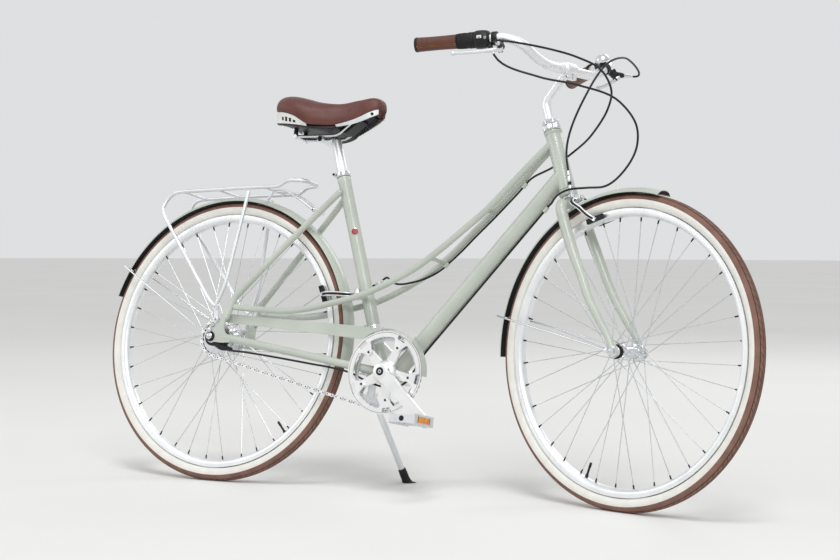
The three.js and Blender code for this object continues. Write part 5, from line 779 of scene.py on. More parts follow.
def twin_at(reach, side):
    """The point of an upper tube's line where it has this share of the reach."""
    path = twin_path(side)
    order = np.argsort(path[:, 0])
    x = reach * head_high[0]
    return np.array([
        x, np.interp(x, path[order, 0], path[order, 1]), np.interp(x, path[order, 0], path[order, 2]),
    ])


def twin_clip(reach):
    """The place and way of the left tube's cable guide, just under the tube."""
    place = twin_at(reach, 1)
    way = unit(twin_at(reach + 0.02, 1) - place)
    under = unit(np.cross(way, LEFT))
    under = under if under[2] < 0 else -under
    return place + (8 + CLIP_RADIUS) * under, way


yoke = seat_at(head_high[2] * 0.5425)[0] / head_high[0]
for name, side in SIDES.items():
    end = twin_at(yoke, side)
    middle = end * (1, 0, 1)
    line = twin_path(side)
    parts = [coped(tube(line, TWIN_RADIUS, 28), unit(line[0] - line[1]), 28)]
    parts.append(rod(end, middle + LEFT * side * 14, TWIN_RADIUS, 28))
    if side < 0:
        for share in (0.674, 0.8275):
            parts.append(rod(twin_at(share, -1), twin_at(share, 1), 5, 24))
            parts += [fillet(twin_at(share, s) - 7 * s * LEFT, -s * LEFT, 5, 1.6, 6) for s in (-1, 1)]
    else:
        parts += [cable_clip(*twin_clip(reach)) for reach in (0.9068, 0.679)]
    dress(f"twin_tube_{name}", LEANING, parts, sage_enamel)

# %% Rear stays with their axle plates
SEAT_STAY_SHARES = np.array([
    [0.6222, 0.2742, 0.9538], [0.538, 0.4355, 0.893], [0.462, 0.5484, 0.8402], [0.308, 0.7419, 0.7332],
    [0.1129, 0.9726, 0.5925],
])
CHAIN_STAY_SHARES = np.array([
    [0.9815, 0.3871, 0.8034], [0.883, 0.4274, 0.8252], [0.8111, 0.5, 0.8395], [0.7392, 0.629, 0.8539],
    [0.616, 0.7903, 0.8825], [0.3696, 0.9032, 0.937], [0.1643, 0.9839, 0.9799], [0.0821, 1.0161, 0.9971],
])
DROPOUT = np.array([
    [31, 64], [46, 66], [47, 54], [38, 41], [36, 28], [38, 14], [46, 6], [60, 3], [60, -13], [36, -15],
    [8, -13], [-8, -12], [-14, -3], [-14, 8], [-6, 20], [8, 30], [24, 42],
])


def axle_end(axle, side, washer, nut, end, washer_finish):
    """A washer, a hexagon nut and the end of the axle, as (radius, distance from the middle)."""
    pieces = ((washer, 32, washer_finish), (nut, 6, chrome_plate), (end, 20, zinc_plate))
    return [turned(np.array(p) * (1, side), axle, LEFT, n, finish=finish) for p, n, finish in pieces]


dropout = rounded(np.concatenate([DROPOUT, DROPOUT[:1]]) + (0, WHEEL_RADIUS), 8, 5)[:-1]
fender_toe = on_wheel(REAR_AXLE, -8, 367.3)
for name, side in SIDES.items():
    seat_stay = smooth(SEAT_STAY_SHARES * (BRACKET_AHEAD, side * STAY_SPREAD, SEAT_TOP), 8)
    dress(f"seat_stay_{name}", LEANING, [
        tube(seat_stay[1:], 7.8, 28), ball(seat_stay[1], 7.8),
    ], sage_enamel)
    stay = smooth(CHAIN_STAY_SHARES * (BRACKET_AHEAD, side * STAY_SPREAD, WHEEL_RADIUS), 8)
    near, far = sorted((side * 66, side * 71))
    parts = [tube(stay[4:], 9.4, 28), plate(dropout, near, far)]
    for place, lug in (((4, 0, 28), 6.5), ((14, 0, 42), 7.5)):
        parts.append(turned([[lug, side * 66], [lug, side * 71]], REAR_AXLE + place, LEFT, 24))
    parts += bolt_head(REAR_AXLE + (4, side * 71, 28), side * LEFT, 4, 3)
    stay_foot = np.array([39, side * 66, 397])
    parts += [
        tube([seat_stay[-1], 0.5 * (seat_stay[-1] + stay_foot), stay_foot], [7.8, 7.4, 6.2], 28),
        ball(stay_foot, 6.2),
    ]
    parts += axle_end(
        REAR_AXLE, side, [[12.5, 70.6], [12.5, 72], [12, 72.4]], [[8.8, 72], [8.8, 78], [7.4, 79]],
        [[4.6, 79], [4.6, 81], [3.6, 81.6]], black_plastic,
    )
    if side > 0:
        parts.append(rod(fender_toe - 33 * LEFT, fender_toe + 33 * LEFT, 5, 24))
    else:
        parts += [
            turned([
                [11, -63.4], [21, -63.4], [22, -62], [22, -57], [18, -56], [18, -53], [21, -52],
                [21, -45.3], [11, -45.3],
            ], REAR_AXLE, LEFT, 48, True, black_plastic),
            turned(band(11, 15, -65.8, -63.4), REAR_AXLE, LEFT, 40, True, zinc_plate),
            tube(
                smooth([[16, -59, 333], [30, -60, 324], [46, -58, 322], [58, -56, 321]], 4),
                [10, 9.6, 9, 8.4, 7.6, 7, 6.4, 5.8, 5, 4.4, 4, 3.6, 3.4],
                16, finish=black_plastic,
            ),
        ]
    dress(f"chain_stay_{name}", LEANING, parts, sage_enamel, bevel=0.5)

# %% [markdown]
# ## Mudguards and rack
# Each mudguard is rolled from thin steel: a shallow arch across, with its edges turned
# in to a small bead. The arch is a closed section swept round the wheel.

# %% Mudguards
GUARD_RADIUS, GUARD_HALF, GUARD_FALL = 362, 24, 11


def mudguard(axle, start, end):
    """Sweeps the arch section round the axle: its radius falls with the 2.6th power of the share
    of the half width, by GUARD_FALL at the edges, where a small bead stiffens it.
    A thin black sheet lies just inside it, painted shade for the guard's underside."""
    share = np.linspace(-1, 1, 21)
    drop = np.abs(share) ** 2.6
    bead = 0.9 * np.exp(-((np.abs(share) - 0.97) / 0.03) ** 2)
    outer = np.stack([GUARD_RADIUS - GUARD_FALL * drop + bead * 0.4, GUARD_HALF * share], 1)
    inner = np.stack([
        GUARD_RADIUS - GUARD_FALL * drop - 1.4 + 0.5 * drop - bead,
        GUARD_HALF * share - share * np.abs(share) ** 6,
    ], 1)
    section = np.concatenate([outer, inner[::-1]])
    angles = np.arange(start, end + 0.01, 1.5)
    ring = on_wheel(axle, angles, 1.0) - axle
    # coat is the thin black sheet inside the guard: painted shade for its underside
    coat = np.concatenate([inner[1:-1] + (0.3, 0), (inner[1:-1] - (0.4, 0))[::-1]])
    swept = lambda line: axle + line[None, :, :1] * ring[:, None] + line[None, :, 1:] * LEFT
    return [shell(swept(section)), shell(swept(coat), finish=black_rubber)]


def guard_wire(axle, angle, end_offset, end_angle):
    """The stay's wire: from one wheel end out along the guard, across under it and back."""
    wire, wall = 2.2, 1.5
    top = GUARD_RADIUS - 2 * wall - wire
    half = [on_wheel(axle, end_angle, 16, end_offset), on_wheel(axle, angle, 56, end_offset)]
    around = ((1.13, -0.9), (1.1, -1.35), (0.9, -1.38), (0.5, -0.55), (0, -0.05))
    half += [on_wheel(axle, angle, top + d * GUARD_FALL, y * GUARD_HALF) for y, d in around]
    route = np.array(half + [p * (1, -1, 1) for p in half[-2::-1]])
    legs = [smooth(route[:2], 10)[:-1], smooth(route[1:-1], 5), smooth(route[-2:], 10)[1:]]
    return tube(np.concatenate(legs), wire, 12)


REAR_WIRE_ANGLE, RACK_BOLT_ANGLE, FRONT_BOLT_ANGLE = 150.3, 77.4, 96
bolt_way = on_wheel(np.zeros(3), REAR_WIRE_ANGLE, 1.0)
rear_guard = mudguard(REAR_AXLE, -8, 163.5)
for side in (-1, 1):
    rear_guard += bolt_head(
        on_wheel(REAR_AXLE, REAR_WIRE_ANGLE, 354.5, side * 21), bolt_way + side * 1.2 * LEFT, 3.2, 2,
    )
rear_guard += bolt_head(
    on_wheel(REAR_AXLE, RACK_BOLT_ANGLE, 361.6), on_wheel(np.zeros(3), RACK_BOLT_ANGLE, 1.0), 3.6,
)
dress("rear_fender", LEANING, rear_guard, sage_enamel)
dress("rear_fender_stay", LEANING, [guard_wire(REAR_AXLE, REAR_WIRE_ANGLE, 73.5, 100)] + [
    turned(
        [[5.5, -1], [5.5, 1], [4, 1.6]], on_wheel(REAR_AXLE, 100, 16, side * 73.5), side * LEFT, 24,
    ) for side in (-1, 1)
], chrome_plate)
front_bolt = bolt_head(
    on_wheel(FRONT_AXLE, FRONT_BOLT_ANGLE, 361.6), on_wheel(np.zeros(3), FRONT_BOLT_ANGLE, 1.0), 3.4,
)
dress("front_fender", TURNED, mudguard(FRONT_AXLE, 75.5, 183) + front_bolt, sage_enamel)
dress("front_fender_stay", TURNED, [guard_wire(FRONT_AXLE, 167, 57.5, 175)] + [
    turned(
        [[5, -1], [5, 1], [4, 1.5]], on_wheel(FRONT_AXLE, 175, 16, side * 57.5), side * LEFT, 24,
    ) for side in (-1, 1)
], chrome_plate)

# %% [markdown]
# The rack is bent from steel rod and painted silver. Its outer hoop, cross bars and
# struts are rods along smooth lines, and each leg pair meets at a flattened, bolted foot.

# %% Rack
RACK_REACH, RACK_HALF, RACK_HEIGHT = 200, 49, 719


def rack_line(shares, side, reach=30):
    """A bent rack rod: shares of the rack's reach, half width and height."""
    return rounded(np.array(shares) * (RACK_REACH, side * RACK_HALF, RACK_HEIGHT), reach)


RAIL = [
    [-0.9775, 1.2245, 0.9395], [-0.95, 1.102, 0.9694], [-0.89, 1.0204, 0.9903], [-0.8, 1, 0.9993],
    [0.155, 1, 1.0097], [0.7, 1, 1.0125], [0.81, 0.9388, 1.0348], [0.98, 0.7347, 1.0362],
    [1.03, 0.4082, 1.0362],
]
spans = np.array([RACK_REACH, RACK_HALF, RACK_HEIGHT])
hoop = np.concatenate([RAIL * spans * (1, -1, 1), (RAIL * spans)[::-1]])
deck = [tube(rounded(hoop, 12), 5, 18)]
for x in (-0.72, -0.2, 0.48):
    height = (0.9993 + 0.0104 * (x + 0.8) / 0.955) * RACK_HEIGHT
    deck += [rod([x * RACK_REACH, -46, height], [x * RACK_REACH, 46, height], 3.5, 16)]
    deck += [fillet([x * RACK_REACH, s * 44, height], -s * LEFT, 3.4, 1.4, 5) for s in (-1, 1)]
STRUT = [[0.48, 0.3265, 1.0129], [0.675, 0.3469, 1.0111], [0.9, 0.3878, 0.9819], [1.16, 0.449, 0.9346]]
deck += [tube(rack_line(STRUT, side), 3.5, 16) for side in (-1, 1)]
deck.append(rod(on_wheel(REAR_AXLE, RACK_BOLT_ANGLE, 363.2), [96, 0, 1.0129 * RACK_HEIGHT], 3.5, 16))
for side in (-1, 1):
    strut_end = np.array([1.15 * RACK_REACH, side * 0.448 * RACK_HALF, 0.936 * RACK_HEIGHT])
    deck += bolt_head(strut_end - 2 * side * LEFT, side * LEFT, 4.6, 7)
dress("rack_deck", LEANING, deck, silver_steel)
tab_way = unit([5, 0, -31.5])
for name, side in SIDES.items():
    foot_share = [0.045, 1.551, 0.5876]
    rear_leg = rack_line([
        [-0.9775, 1.2245, 0.9395], [-0.94, 1.2653, 0.911], [-0.075, 1.5102, 0.612], foot_share,
    ], side)
    front_leg = rack_line([[0.285, 1.1, 0.995], [0.15, 1.4898, 0.662], foot_share], side)
    foot = np.array(foot_share) * (RACK_REACH, side * RACK_HALF, RACK_HEIGHT)
    dress(f"rack_leg_{name}", LEANING, [
        tube(rear_leg, 4.5, 18), tube(front_leg, 4.5, 18),
        turned([[8, 0], [8, 5], [7.4, 5.6]], foot * (1, 0, 1) + side * 71.4 * LEFT, side * LEFT, 24),
        plate(
            capsule(16, 7, 0.8), -1.5, 1.5, None, (tab_way, np.cross(LEFT, tab_way), LEFT),
            (11.5, side * 73, 406.7),
        ),
    ] + bolt_head((14, side * 74.4, 391), side * LEFT, 4.6, 3.6), silver_steel, bevel=0.3)

# %% [markdown]
# ## Drive
# A roller chain is pairs of waisted plates riveted over rollers, 12.7 mm from pin to
# pin. One outer link, one inner link and one roller are drawn once and then copied
# to every place round the two sprockets by arrays of turn-and-shift matrices.

# %% Chain
PITCH = 12.7
ring_pitch, cog_pitch = PITCH / (2 * math.sin(math.pi / 44)), PITCH / (2 * math.sin(math.pi / 22))
drive = (BRACKET - REAR_AXLE)[[0, 2]]
slope = math.atan2(drive[1], drive[0])
spread = math.pi / 2 + math.asin((ring_pitch - cog_pitch) / math.hypot(*drive))


def chain_path(bits=240):
    """The pitch line: an arc round the cog, an arc round the ring, and two straight runs."""
    cog = np.degrees(np.linspace(slope + spread, slope - spread + 2 * math.pi, bits))
    ring = np.degrees(np.linspace(slope - spread, slope + spread, bits))
    line = np.concatenate([on_wheel(REAR_AXLE, cog, cog_pitch), on_wheel(BRACKET, ring, ring_pitch)])
    return np.concatenate([line, line[:1]]) - 42 * LEFT


line = chain_path()
run = np.concatenate([[0], np.cumsum(np.linalg.norm(np.diff(line, axis=0), axis=1))])
links = 2 * round(run[-1] / PITCH / 2)
pins = np.stack([np.interp(np.arange(links) * run[-1] / links, run, line[:, k]) for k in range(3)], 1)
next_pins = np.roll(pins, -1, axis=0)
spots = np.stack([spot(middle, way) for middle, way in zip((pins + next_pins) / 2, next_pins - pins)])
link_plate = capsule(PITCH / 2, 4.0, 0.66, 6)
outer_pair = [plate(link_plate, y, y + 1, satin_aluminium) for y in (-4, 3)]
inner_pair = [plate(link_plate, y, y + 0.9) for y in (-2.8, 1.9)]
roller = turned([[3.6, -1.9], [3.6, 1.9]], -PITCH / 2 * AHEAD, LEFT, 10, finish=dark_steel)
rivet = turned([[1.5, -4.4], [1.8, -4], [1.8, 4], [1.5, 4.4]], -PITCH / 2 * AHEAD, LEFT, 8, finish=dark_steel)
chain = [repeated(part, spots[::2]) for part in outer_pair]
chain += [repeated(part, spots[1::2]) for part in inner_pair]
chain += [repeated(roller, spots), repeated(rivet, spots)]
dress("chain", LEANING, chain, zinc_plate)
print("chain", links, "links, pitch", round(run[-1] / links, 3), "mm")

# %% [markdown]
# The chainring is a stamped alloy star: its outer guard disc narrows between the five
# spider arms to open five large windows, and a short slot lies outside each bolt.

# %% Chainring and guard disc
ARM_TURNS = -9.2 + 72 * np.arange(5)


def lobed_ring(centre, angles, inner, outer, rows, back, front, keep=None, finish=None):
    """A flat ring whose inner and outer radius change with the angle; its grid goes out along
    the front face and back along the rear face, so it is closed without its windows."""
    share = np.linspace(0, 1, rows)[:, None]
    radius = inner + (outer - inner) * share
    way = on_wheel(np.zeros(3), angles, 1.0)
    faces = [radius[..., None] * way[None] + y * LEFT for y in (front, back)]
    grid = centre + np.concatenate([faces[0], faces[1][::-1]])
    return shell(grid, True, True, False, finish, keep=keep)


angles = np.arange(0, 360, 1.0)
off_arm = np.abs((angles - ARM_TURNS[0] + 36) % 72 - 36)
window = np.clip((off_arm - 5) / 9, 0, 1)
window = window * window * (3 - 2 * window)
guard_inner = 58.5 + 25 * window
teeth = 83.6 + 1.0 * np.cos(np.radians(angles) * 44)


def pierced(angles, inner, outer, back, front, slots):
    """The lobed ring with slots: the quads of both faces at the slots are dropped and their
    edges are walled, row by row of the slot's outline."""
    rows = 9
    keep = np.ones((2 * rows, len(angles)), bool)
    cut = slots[None, :] & np.isin(np.arange(rows - 1), [5, 6])[:, None]
    keep[:rows - 1] &= ~cut
    keep[rows:2 * rows - 1] &= ~cut[::-1]
    ring = lobed_ring(BRACKET, angles, inner, outer, rows, back, front, keep)
    count = len(angles)
    walls = []
    r, c = np.nonzero(cut)
    other = lambda row: 2 * rows - 1 - row
    # Each neighbour of a dropped quad: the step to it, and the two corners of the edge they share
    edges = ((-1, 0, (0, 0), (0, 1)), (1, 0, (1, 0), (1, 1)), (0, -1, (0, 0), (1, 0)), (0, 1, (0, 1), (1, 1)))
    for dr, dc, first, second in edges:
        rr, cc = r + dr, (c + dc) % count
        inside = (rr >= 0) & (rr < rows - 1)
        edge = ~(inside & cut[np.clip(rr, 0, rows - 2), cc])
        a_r, a_c = r[edge] + first[0], (c[edge] + first[1]) % count
        b_r, b_c = r[edge] + second[0], (c[edge] + second[1]) % count
        walls.append(np.stack([
            a_r * count + a_c, b_r * count + b_c, other(b_r) * count + b_c, other(a_r) * count + a_c,
        ], -1))
    walls = np.concatenate(walls)
    ring["quads"] = np.concatenate([ring["quads"], walls])
    ring["uv"] = np.concatenate([ring["uv"], np.zeros((len(walls), 4, 2))])
    return ring


ring_parts = [
    pierced(angles, guard_inner, np.full(360, 97.5), -51.0, -54.0, off_arm < 7.5),
    lobed_ring(BRACKET, angles, 58.5 + 17 * window, teeth, 4, -40.6, -43.4, finish=zinc_plate),
    turned(band(93.6, 94.4, -54.25, -53.9), BRACKET, LEFT, 96, True, dark_steel),
]
for turn in ARM_TURNS:
    seat = on_wheel(BRACKET, turn, BOLT_CIRCLE)
    ring_parts.append(turned([[3.9, -54.8], [3.9, -41]], seat, LEFT, 20, finish=chrome_plate))
    ring_parts.append(block(seat - 54.9 * LEFT, (4.6, 1.2, 4.6), finish=dark_steel))
dress("chainring", LEANING, ring_parts, satin_aluminium, bevel=0.35, sharp=30)


# %% Cranks
def arm_outline(angle, reach, half_in, round_radius):
    """A tapering arm from the bracket to a round end, in the plane of the cranks."""
    way, across = on_wheel(np.zeros(3), angle, 1.0), on_wheel(np.zeros(3), angle + 90, 1.0)
    tip = on_wheel(BRACKET + reach * way, np.linspace(angle + 80, angle - 80, 13), round_radius)
    root = [BRACKET - half_in * across, BRACKET + half_in * across]
    return np.concatenate([root, tip])[:, [0, 2]]


for name, side in SIDES.items():
    angle = CRANK_ANGLE + (0 if side < 0 else 180)
    eye = on_wheel(BRACKET, angle, CRANK_LENGTH)
    near, far = sorted((side * 62.0, side * 73.5))
    parts = [
        plate(arm_outline(angle, CRANK_LENGTH, 15.4, 12), near, far),
        turned(
            np.array([[17.5, 35.3], [17.5, 60], [20, 62], [19.4, 72.5], [17, 74], [12, 74.6]]) * (1, side),
            BRACKET, LEFT, 48,
        ),
        turned([
            [9.6, side * 74], [9.6, side * 75.2], [8.4, side * 75.6],
        ], BRACKET, LEFT, 32, finish=black_rubber),
        turned([[4.6, side * 75.2], [4.4, side * 76]], BRACKET, LEFT, 20, finish=chrome_plate),
        # The dark hexagon is painted shade for the bolt's socket
        turned([[2, side * 75.8], [2, side * 76.2]], BRACKET, LEFT, 6, finish=dark_steel),
        turned([[8.8, side * 60], [8.8, side * 75]], eye, LEFT, 24, finish=chrome_plate),
        rod(eye + side * 63 * LEFT, eye + side * 176 * LEFT, 6, 20, zinc_plate),
    ]
    if side < 0:
        parts += [plate(arm_outline(turn, BOLT_CIRCLE, 14.5, 8.6), -50.4, -43.8) for turn in ARM_TURNS]
        parts.append(turned([[30, -50.2], [27, -56], [19, -61.8], [17, -62]], BRACKET, LEFT, 48))
    else:
        parts.append(rod(BRACKET - 61 * LEFT, BRACKET + 62 * LEFT, 8.4, 24, zinc_plate))
    dress(f"crank_{name}", LEANING, parts, satin_aluminium, bevel=1.1)

# %% [markdown]
# The pedals are alloy cages: a barrel turns on its axle, and toothed plates front and
# rear hold an amber reflector each.

# %% Pedals
for name, side in SIDES.items():
    centre = on_wheel(BRACKET, CRANK_ANGLE + (0 if side < 0 else 180), CRANK_LENGTH) + side * 137 * LEFT
    barrel = [
        [6.4, -45], [10.4, -44.5], [11, -42], [9, -34], [8.6, 0], [9, 34], [11, 42], [10.4, 44.5],
        [6.4, 45],
    ]
    parts = [
        turned(np.array(barrel) * (1, -side), centre, LEFT, 32, True),
        turned([[8.6, 44], [8.4, 45.6], [5, 46]], centre, side * LEFT, 24, finish=black_plastic),
    ]
    x = np.linspace(-46, 46, 60)
    tooth = 12.4 - 1.7 * (np.sin(x / 46 * math.pi * 7) ** 2)
    outline = np.concatenate([np.stack([x, tooth], 1), np.stack([x[::-1], -tooth[::-1]], 1)])
    for end in (-1, 1):
        toothed = centre + end * 31.25 * AHEAD
        parts.append(plate(outline, -1.6, 1.6, across=(LEFT, UP, AHEAD), centre=toothed))
        parts.append(block(centre + end * 44.25 * LEFT, (64, 3.2, 19)))
        parts.append(block(centre + end * 30.4 * AHEAD, (3.4, 58, 15), finish=amber_lens))
        parts.append(block(centre + end * 32.9 * AHEAD, (0.8, 54, 13.5), finish=amber_lens))
        for y in (-28, 0, 28):
            parts.append(block(centre + end * 33.2 * AHEAD + y * LEFT, (0.5, 1.4, 15), finish=black_plastic))
    dress(f"pedal_{name}", LEANING, parts, silver_steel, bevel=0.5)

# %% [markdown]
# The chain guard is a flat painted strip above the chain that ends in a curled lip
# over the front of the ring.

# %% Chain guard
def arc(radius, start, end, bits=24):
    """Points on a circle round the bracket, as (x, z) pairs."""
    return on_wheel(BRACKET, np.linspace(start, end, bits), radius)[:, [0, 2]]


strip = np.concatenate([
    [[23, 409], [23, 388]], arc(101.5, 131, 96, 10), arc(103.1, 96, 100, 3), [[464, 383.6]],
])
lip = np.concatenate([arc(101.5, 98, -3, 60), arc(103.1, -3, 98, 60)])
clamp_height = 388
clamp_along = (clamp_height - BRACKET_HEIGHT) / SEAT_UP[2]
guard_seat = seat_at(clamp_height) - 16.2 * LEFT
guard_parts = [
    plate(strip, -49.5, -48), plate(lip, -59, -36),
    block([36.8, -57, 400], (9, 17.6, 1.5)),
    rod([441, -48.5, 383.5], guard_seat + 1.5 * LEFT, 3, 16),
    turned(band(16.2, 17.6, clamp_along - 5, clamp_along + 5), SEAT_FOOT, SEAT_UP, 40, True, chrome_plate),
]
for x, z in ((438, 386), (36, 398)):
    guard_parts += bolt_head([x, -49.5, z], -LEFT, 3.2, 1.8)
dress("chain_guard", LEANING, guard_parts, sage_enamel, bevel=0.4)

# %% [markdown]
# ## Wheels
# Tyre, rim and hub are turned about the axle. The tread runs over the top of the tyre,
# a white band covers each side, and the rim has a brake face with a fine wear line.

# %% Tyres and rims
def wheel_matrix(stand, axle):
    """The stand's matrix for points measured from the axle, so that a wheel can be drawn about zero."""
    moved = stand.copy()
    moved[:, 3] = stand[:, :3] @ axle + stand[:, 3]
    return moved


def tyre_shells():
    """Tread: angles -76..76 round the tyre's own centre; sides from there down to the rim."""
    a = np.radians(np.linspace(-76, 76, 33))
    tread = np.stack([331 + 17.9 * np.cos(a), 17.9 * np.sin(a)], 1)
    inside = np.array([[318, 11], [317, 0], [318, -11]])
    b = np.radians(np.linspace(76, 128, 9))
    side = np.stack([331 + 17.7 * np.cos(b), 17.7 * np.sin(b)], 1)
    turn = 2 * math.pi * WHEEL_RADIUS / 1000
    band_loop = np.concatenate([tread, tread[::-1] * (1, 0.93) - (1.4, 0)])
    # Its outer face, 50 mm wide, has 32 of the loop's 66 rows
    over = turned(band_loop, (0, 0, 0), LEFT, 180, True, tread_brown, (0.05 * 66 / 32, turn))
    # The map runs across the tread by rows and round the wheel by columns, so swap its axes
    over["uv"] = np.stack([over["uv"][..., 1], over["uv"][..., 0] - 0.025], -1)
    under = np.concatenate([side, inside, (side * (1, -1))[::-1]])
    skin = np.concatenate([under, (tread - (0.8, 0))[1:-1]])
    return [over, turned(skin, (0, 0, 0), LEFT, 180, True, sidewall_white)]


def rim_shells():
    """The rim's closed section: a rounded bed, sloping shoulders, and two brake faces."""
    half = np.array([
        [297, 0], [297.2, 4.5], [298.2, 7], [300.5, 10.2], [303.2, 12.9], [304.2, 13.4], [309.4, 13.5],
        [309.7, 13.2], [310, 13.5], [315.6, 13.5], [316, 12.9],
    ])
    profile = np.concatenate([half, (half * (1, -1))[:0:-1]])
    return [turned(profile, (0, 0, 0), LEFT, 180, True, anodised_aluminium)]


# %% Spokes and hubs
def spokes(flange_offset, flange_radius, bits=36):
    """Thirty-six crossed spokes with nipples darkened as painted shade: each leaves its flange
    65 degrees before or after the place where it meets the rim."""
    i = np.arange(bits)
    side = np.where(i % 2 == 0, 1, -1)
    lead = np.where((i // 2) % 2 == 0, 1, -1)
    at_rim = 360 * (i + 0.5) / bits
    start = on_wheel(np.zeros(3), at_rim + lead * 65, 1.0) * (flange_radius - 2)
    start = start + (side * (flange_offset + lead * 1.6))[:, None] * LEFT
    end = on_wheel(np.zeros(3), at_rim, 1.0) * 296.2 + (side * (2.5 + 1.3 * lead))[:, None] * LEFT
    ways = end - start
    lengths = np.linalg.norm(ways, axis=1)
    unit_rod = tube([[0, 0, 0], [0.5, 0, 0], [1, 0, 0]], 1.0, 6, finish=zinc_plate)
    stretch = np.stack([spot(a, w) for a, w in zip(start, ways)])
    stretch[:, :, 0] *= lengths[:, None]
    # Blackened steel on the nipples: painted shade
    nipple = turned([
        [1.4, -8.5], [1.7, -8], [1.8, -2], [2.4, -0.5], [2.4, 0],
    ], (0, 0, 0), AHEAD, 8, finish=dark_steel)
    elbow = turned([[1.6, -2.6], [2, -1.4], [2, 1.4], [1.6, 2.6]], (0, 0, 0), LEFT, 8, finish=chrome_plate)
    return [
        repeated(unit_rod, stretch),
        repeated(nipple, np.stack([spot(b, w) for b, w in zip(end, ways)])),
        repeated(elbow, np.stack([spot(a, w) for a, w in zip(start, ways)])),
    ]


def valve(angle):
    """A tyre valve with its black cap, standing inward from the rim."""
    root = on_wheel(np.zeros(3), angle, 298.0)
    way = -unit(root)
    return [
        turned([[4, 0], [3.6, 6], [2.6, 9], [2.6, 24]], root, way, 16, finish=black_rubber),
        turned([[2.9, 24], [3.1, 25], [3.1, 34], [2, 36]], root, way, 16, finish=black_plastic),
    ]


front_hub = [turned([
    [5, -49.7], [9, -49.7], [9, -44], [11, -42], [12.5, -37], [20, -34.5], [20, -31.5], [14, -29.5],
    [12.4, -24], [12.4, 24], [14, 29.5], [20, 31.5], [20, 34.5], [12.5, 37], [11, 42], [9, 44], [9, 49.7],
    [5, 49.7],
], (0, 0, 0), LEFT, 56)]
DUST_RING = np.array([[11, 37.6], [15.4, 38], [16, 39], [16, 41], [12, 42]])
for side in (-1, 1):
    front_hub.append(turned(DUST_RING * (1, side), (0, 0, 0), LEFT, 40, finish=black_rubber))
rear_hub = [turned([
    [5, -65.7], [9, -65.7], [9, -43.9], [16, -43.8], [16, -34.5], [33, -32.5], [33, -29.5], [28, -28],
    [26, -22], [26, -6], [24.5, -4], [24.5, 10], [26, 12], [26, 22], [28, 28], [33, 29.5], [33, 32.5],
    [20, 35], [17, 40], [12, 46], [9, 50], [9, 65.7], [5, 65.7],
], (0, 0, 0), LEFT, 56)]
for name, stand, axle, hub, offset, flange, valve_angle in (
    ("front", TURNED, FRONT_AXLE, front_hub, 33, 20, 249),
    ("rear", LEANING, REAR_AXLE, rear_hub, 31, 33, 312),
):
    stand_here = wheel_matrix(stand, axle)
    tyre = dress(f"{name}_tyre", stand_here, tyre_shells(), tread_brown, sharp=60)
    place = np.empty(len(tyre.data.vertices) * 3, np.float32)
    tyre.data.vertices.foreach_get("co", place)
    place = place.reshape(-1, 3)
    place[:, 2] = np.maximum(place[:, 2], 0.0002)
    tyre.data.vertices.foreach_set("co", place.ravel())
    dress(f"{name}_rim", stand_here, rim_shells() + valve(valve_angle), anodised_aluminium, sharp=30)
    dress(f"{name}_hub", stand_here, hub + spokes(offset, flange), chrome_plate)

cog_teeth = 39.3 + 0.8 * np.cos(np.radians(np.arange(0, 360, 2.0)) * 22)
cog = lobed_ring(np.zeros(3), np.arange(0, 360, 2.0), np.full(180, 17.0), cog_teeth, 4, -40.6, -43.4)
dress("rear_cog", wheel_matrix(LEANING, REAR_AXLE), [cog], zinc_plate, bevel=0.2)

# %% [markdown]
# ## Fork
# The fork's blades leave the crown close together, bow outwards round the mudguard and
# sweep forward to the axle. They taper from 26 mm to 16 mm.

# %% Fork
FORK_SHARES = np.array([
    [0.982, 0, 0.569, 1], [0.951, 0, 0.745, 1], [0.8602, 0, 0.784, 0.96], [0.6565, 0.1154, 0.853, 0.92],
    [0.4991, 0.2519, 0.873, 0.78], [0.3376, 0.4173, 0.9608, 0.74], [0.2592, 0.5731, 0.9745, 0.72],
    [0.1807, 0.7212, 1, 0.68], [0.111, 0.8846, 1.0098, 0.63], [0.012, 0.9808, 1.0196, 0.6],
])
cup_base = head_base - 16
lock_base = head_top + 12.3
CROWN_RACE = np.array([[16, -6.4], [20, -6.2], [20, -3.4], [19.2, -2.8], [19.2, -1], [20, -0.4]])
fork_parts = [
    rod(on_steerer(cup_base - 2), on_steerer(lock_base + 2), 12.7, 32, chrome_plate),
    turned(CROWN_RACE + (0, cup_base), STEER_FOOT, STEER_UP, 56, finish=chrome_plate),
    turned([[15, 366], [16.5, 372], [16.5, cup_base - 6.4]], STEER_FOOT, STEER_UP, 48),
]
nut_angles = np.arange(0, 360, 2.5)
knurl = 19.3 + 0.6 * np.cos(np.radians(nut_angles) * 24)
way_round = np.stack([np.cos(np.radians(nut_angles)), np.sin(np.radians(nut_angles))], 1)
ring_dirs = way_round[:, :1] * STEER_AHEAD + way_round[:, 1:] * LEFT
knurled = np.stack([
    on_steerer(lock_base + h) + (knurl * s)[:, None] * ring_dirs
    for h, s in ((0, 0.97), (1, 1.02), (11, 1.02), (12, 0.97))
])
fork_parts.append(shell(knurled, finish=chrome_plate))
hexagon = 17.6 / np.cos(np.radians((nut_angles + 30) % 60 - 30))
lock_nut = np.stack([
    on_steerer(lock_base + h) + (np.minimum(hexagon, 19.6) * s)[:, None] * ring_dirs
    for h, s in ((13, 0.95), (14, 1), (23, 1), (24.6, 0.93))
])
fork_parts.append(shell(lock_nut, finish=chrome_plate))
fork_parts.append(turned([[15, 11.5], [15, 13.5]], on_steerer(lock_base), STEER_UP, 40, finish=dark_steel))
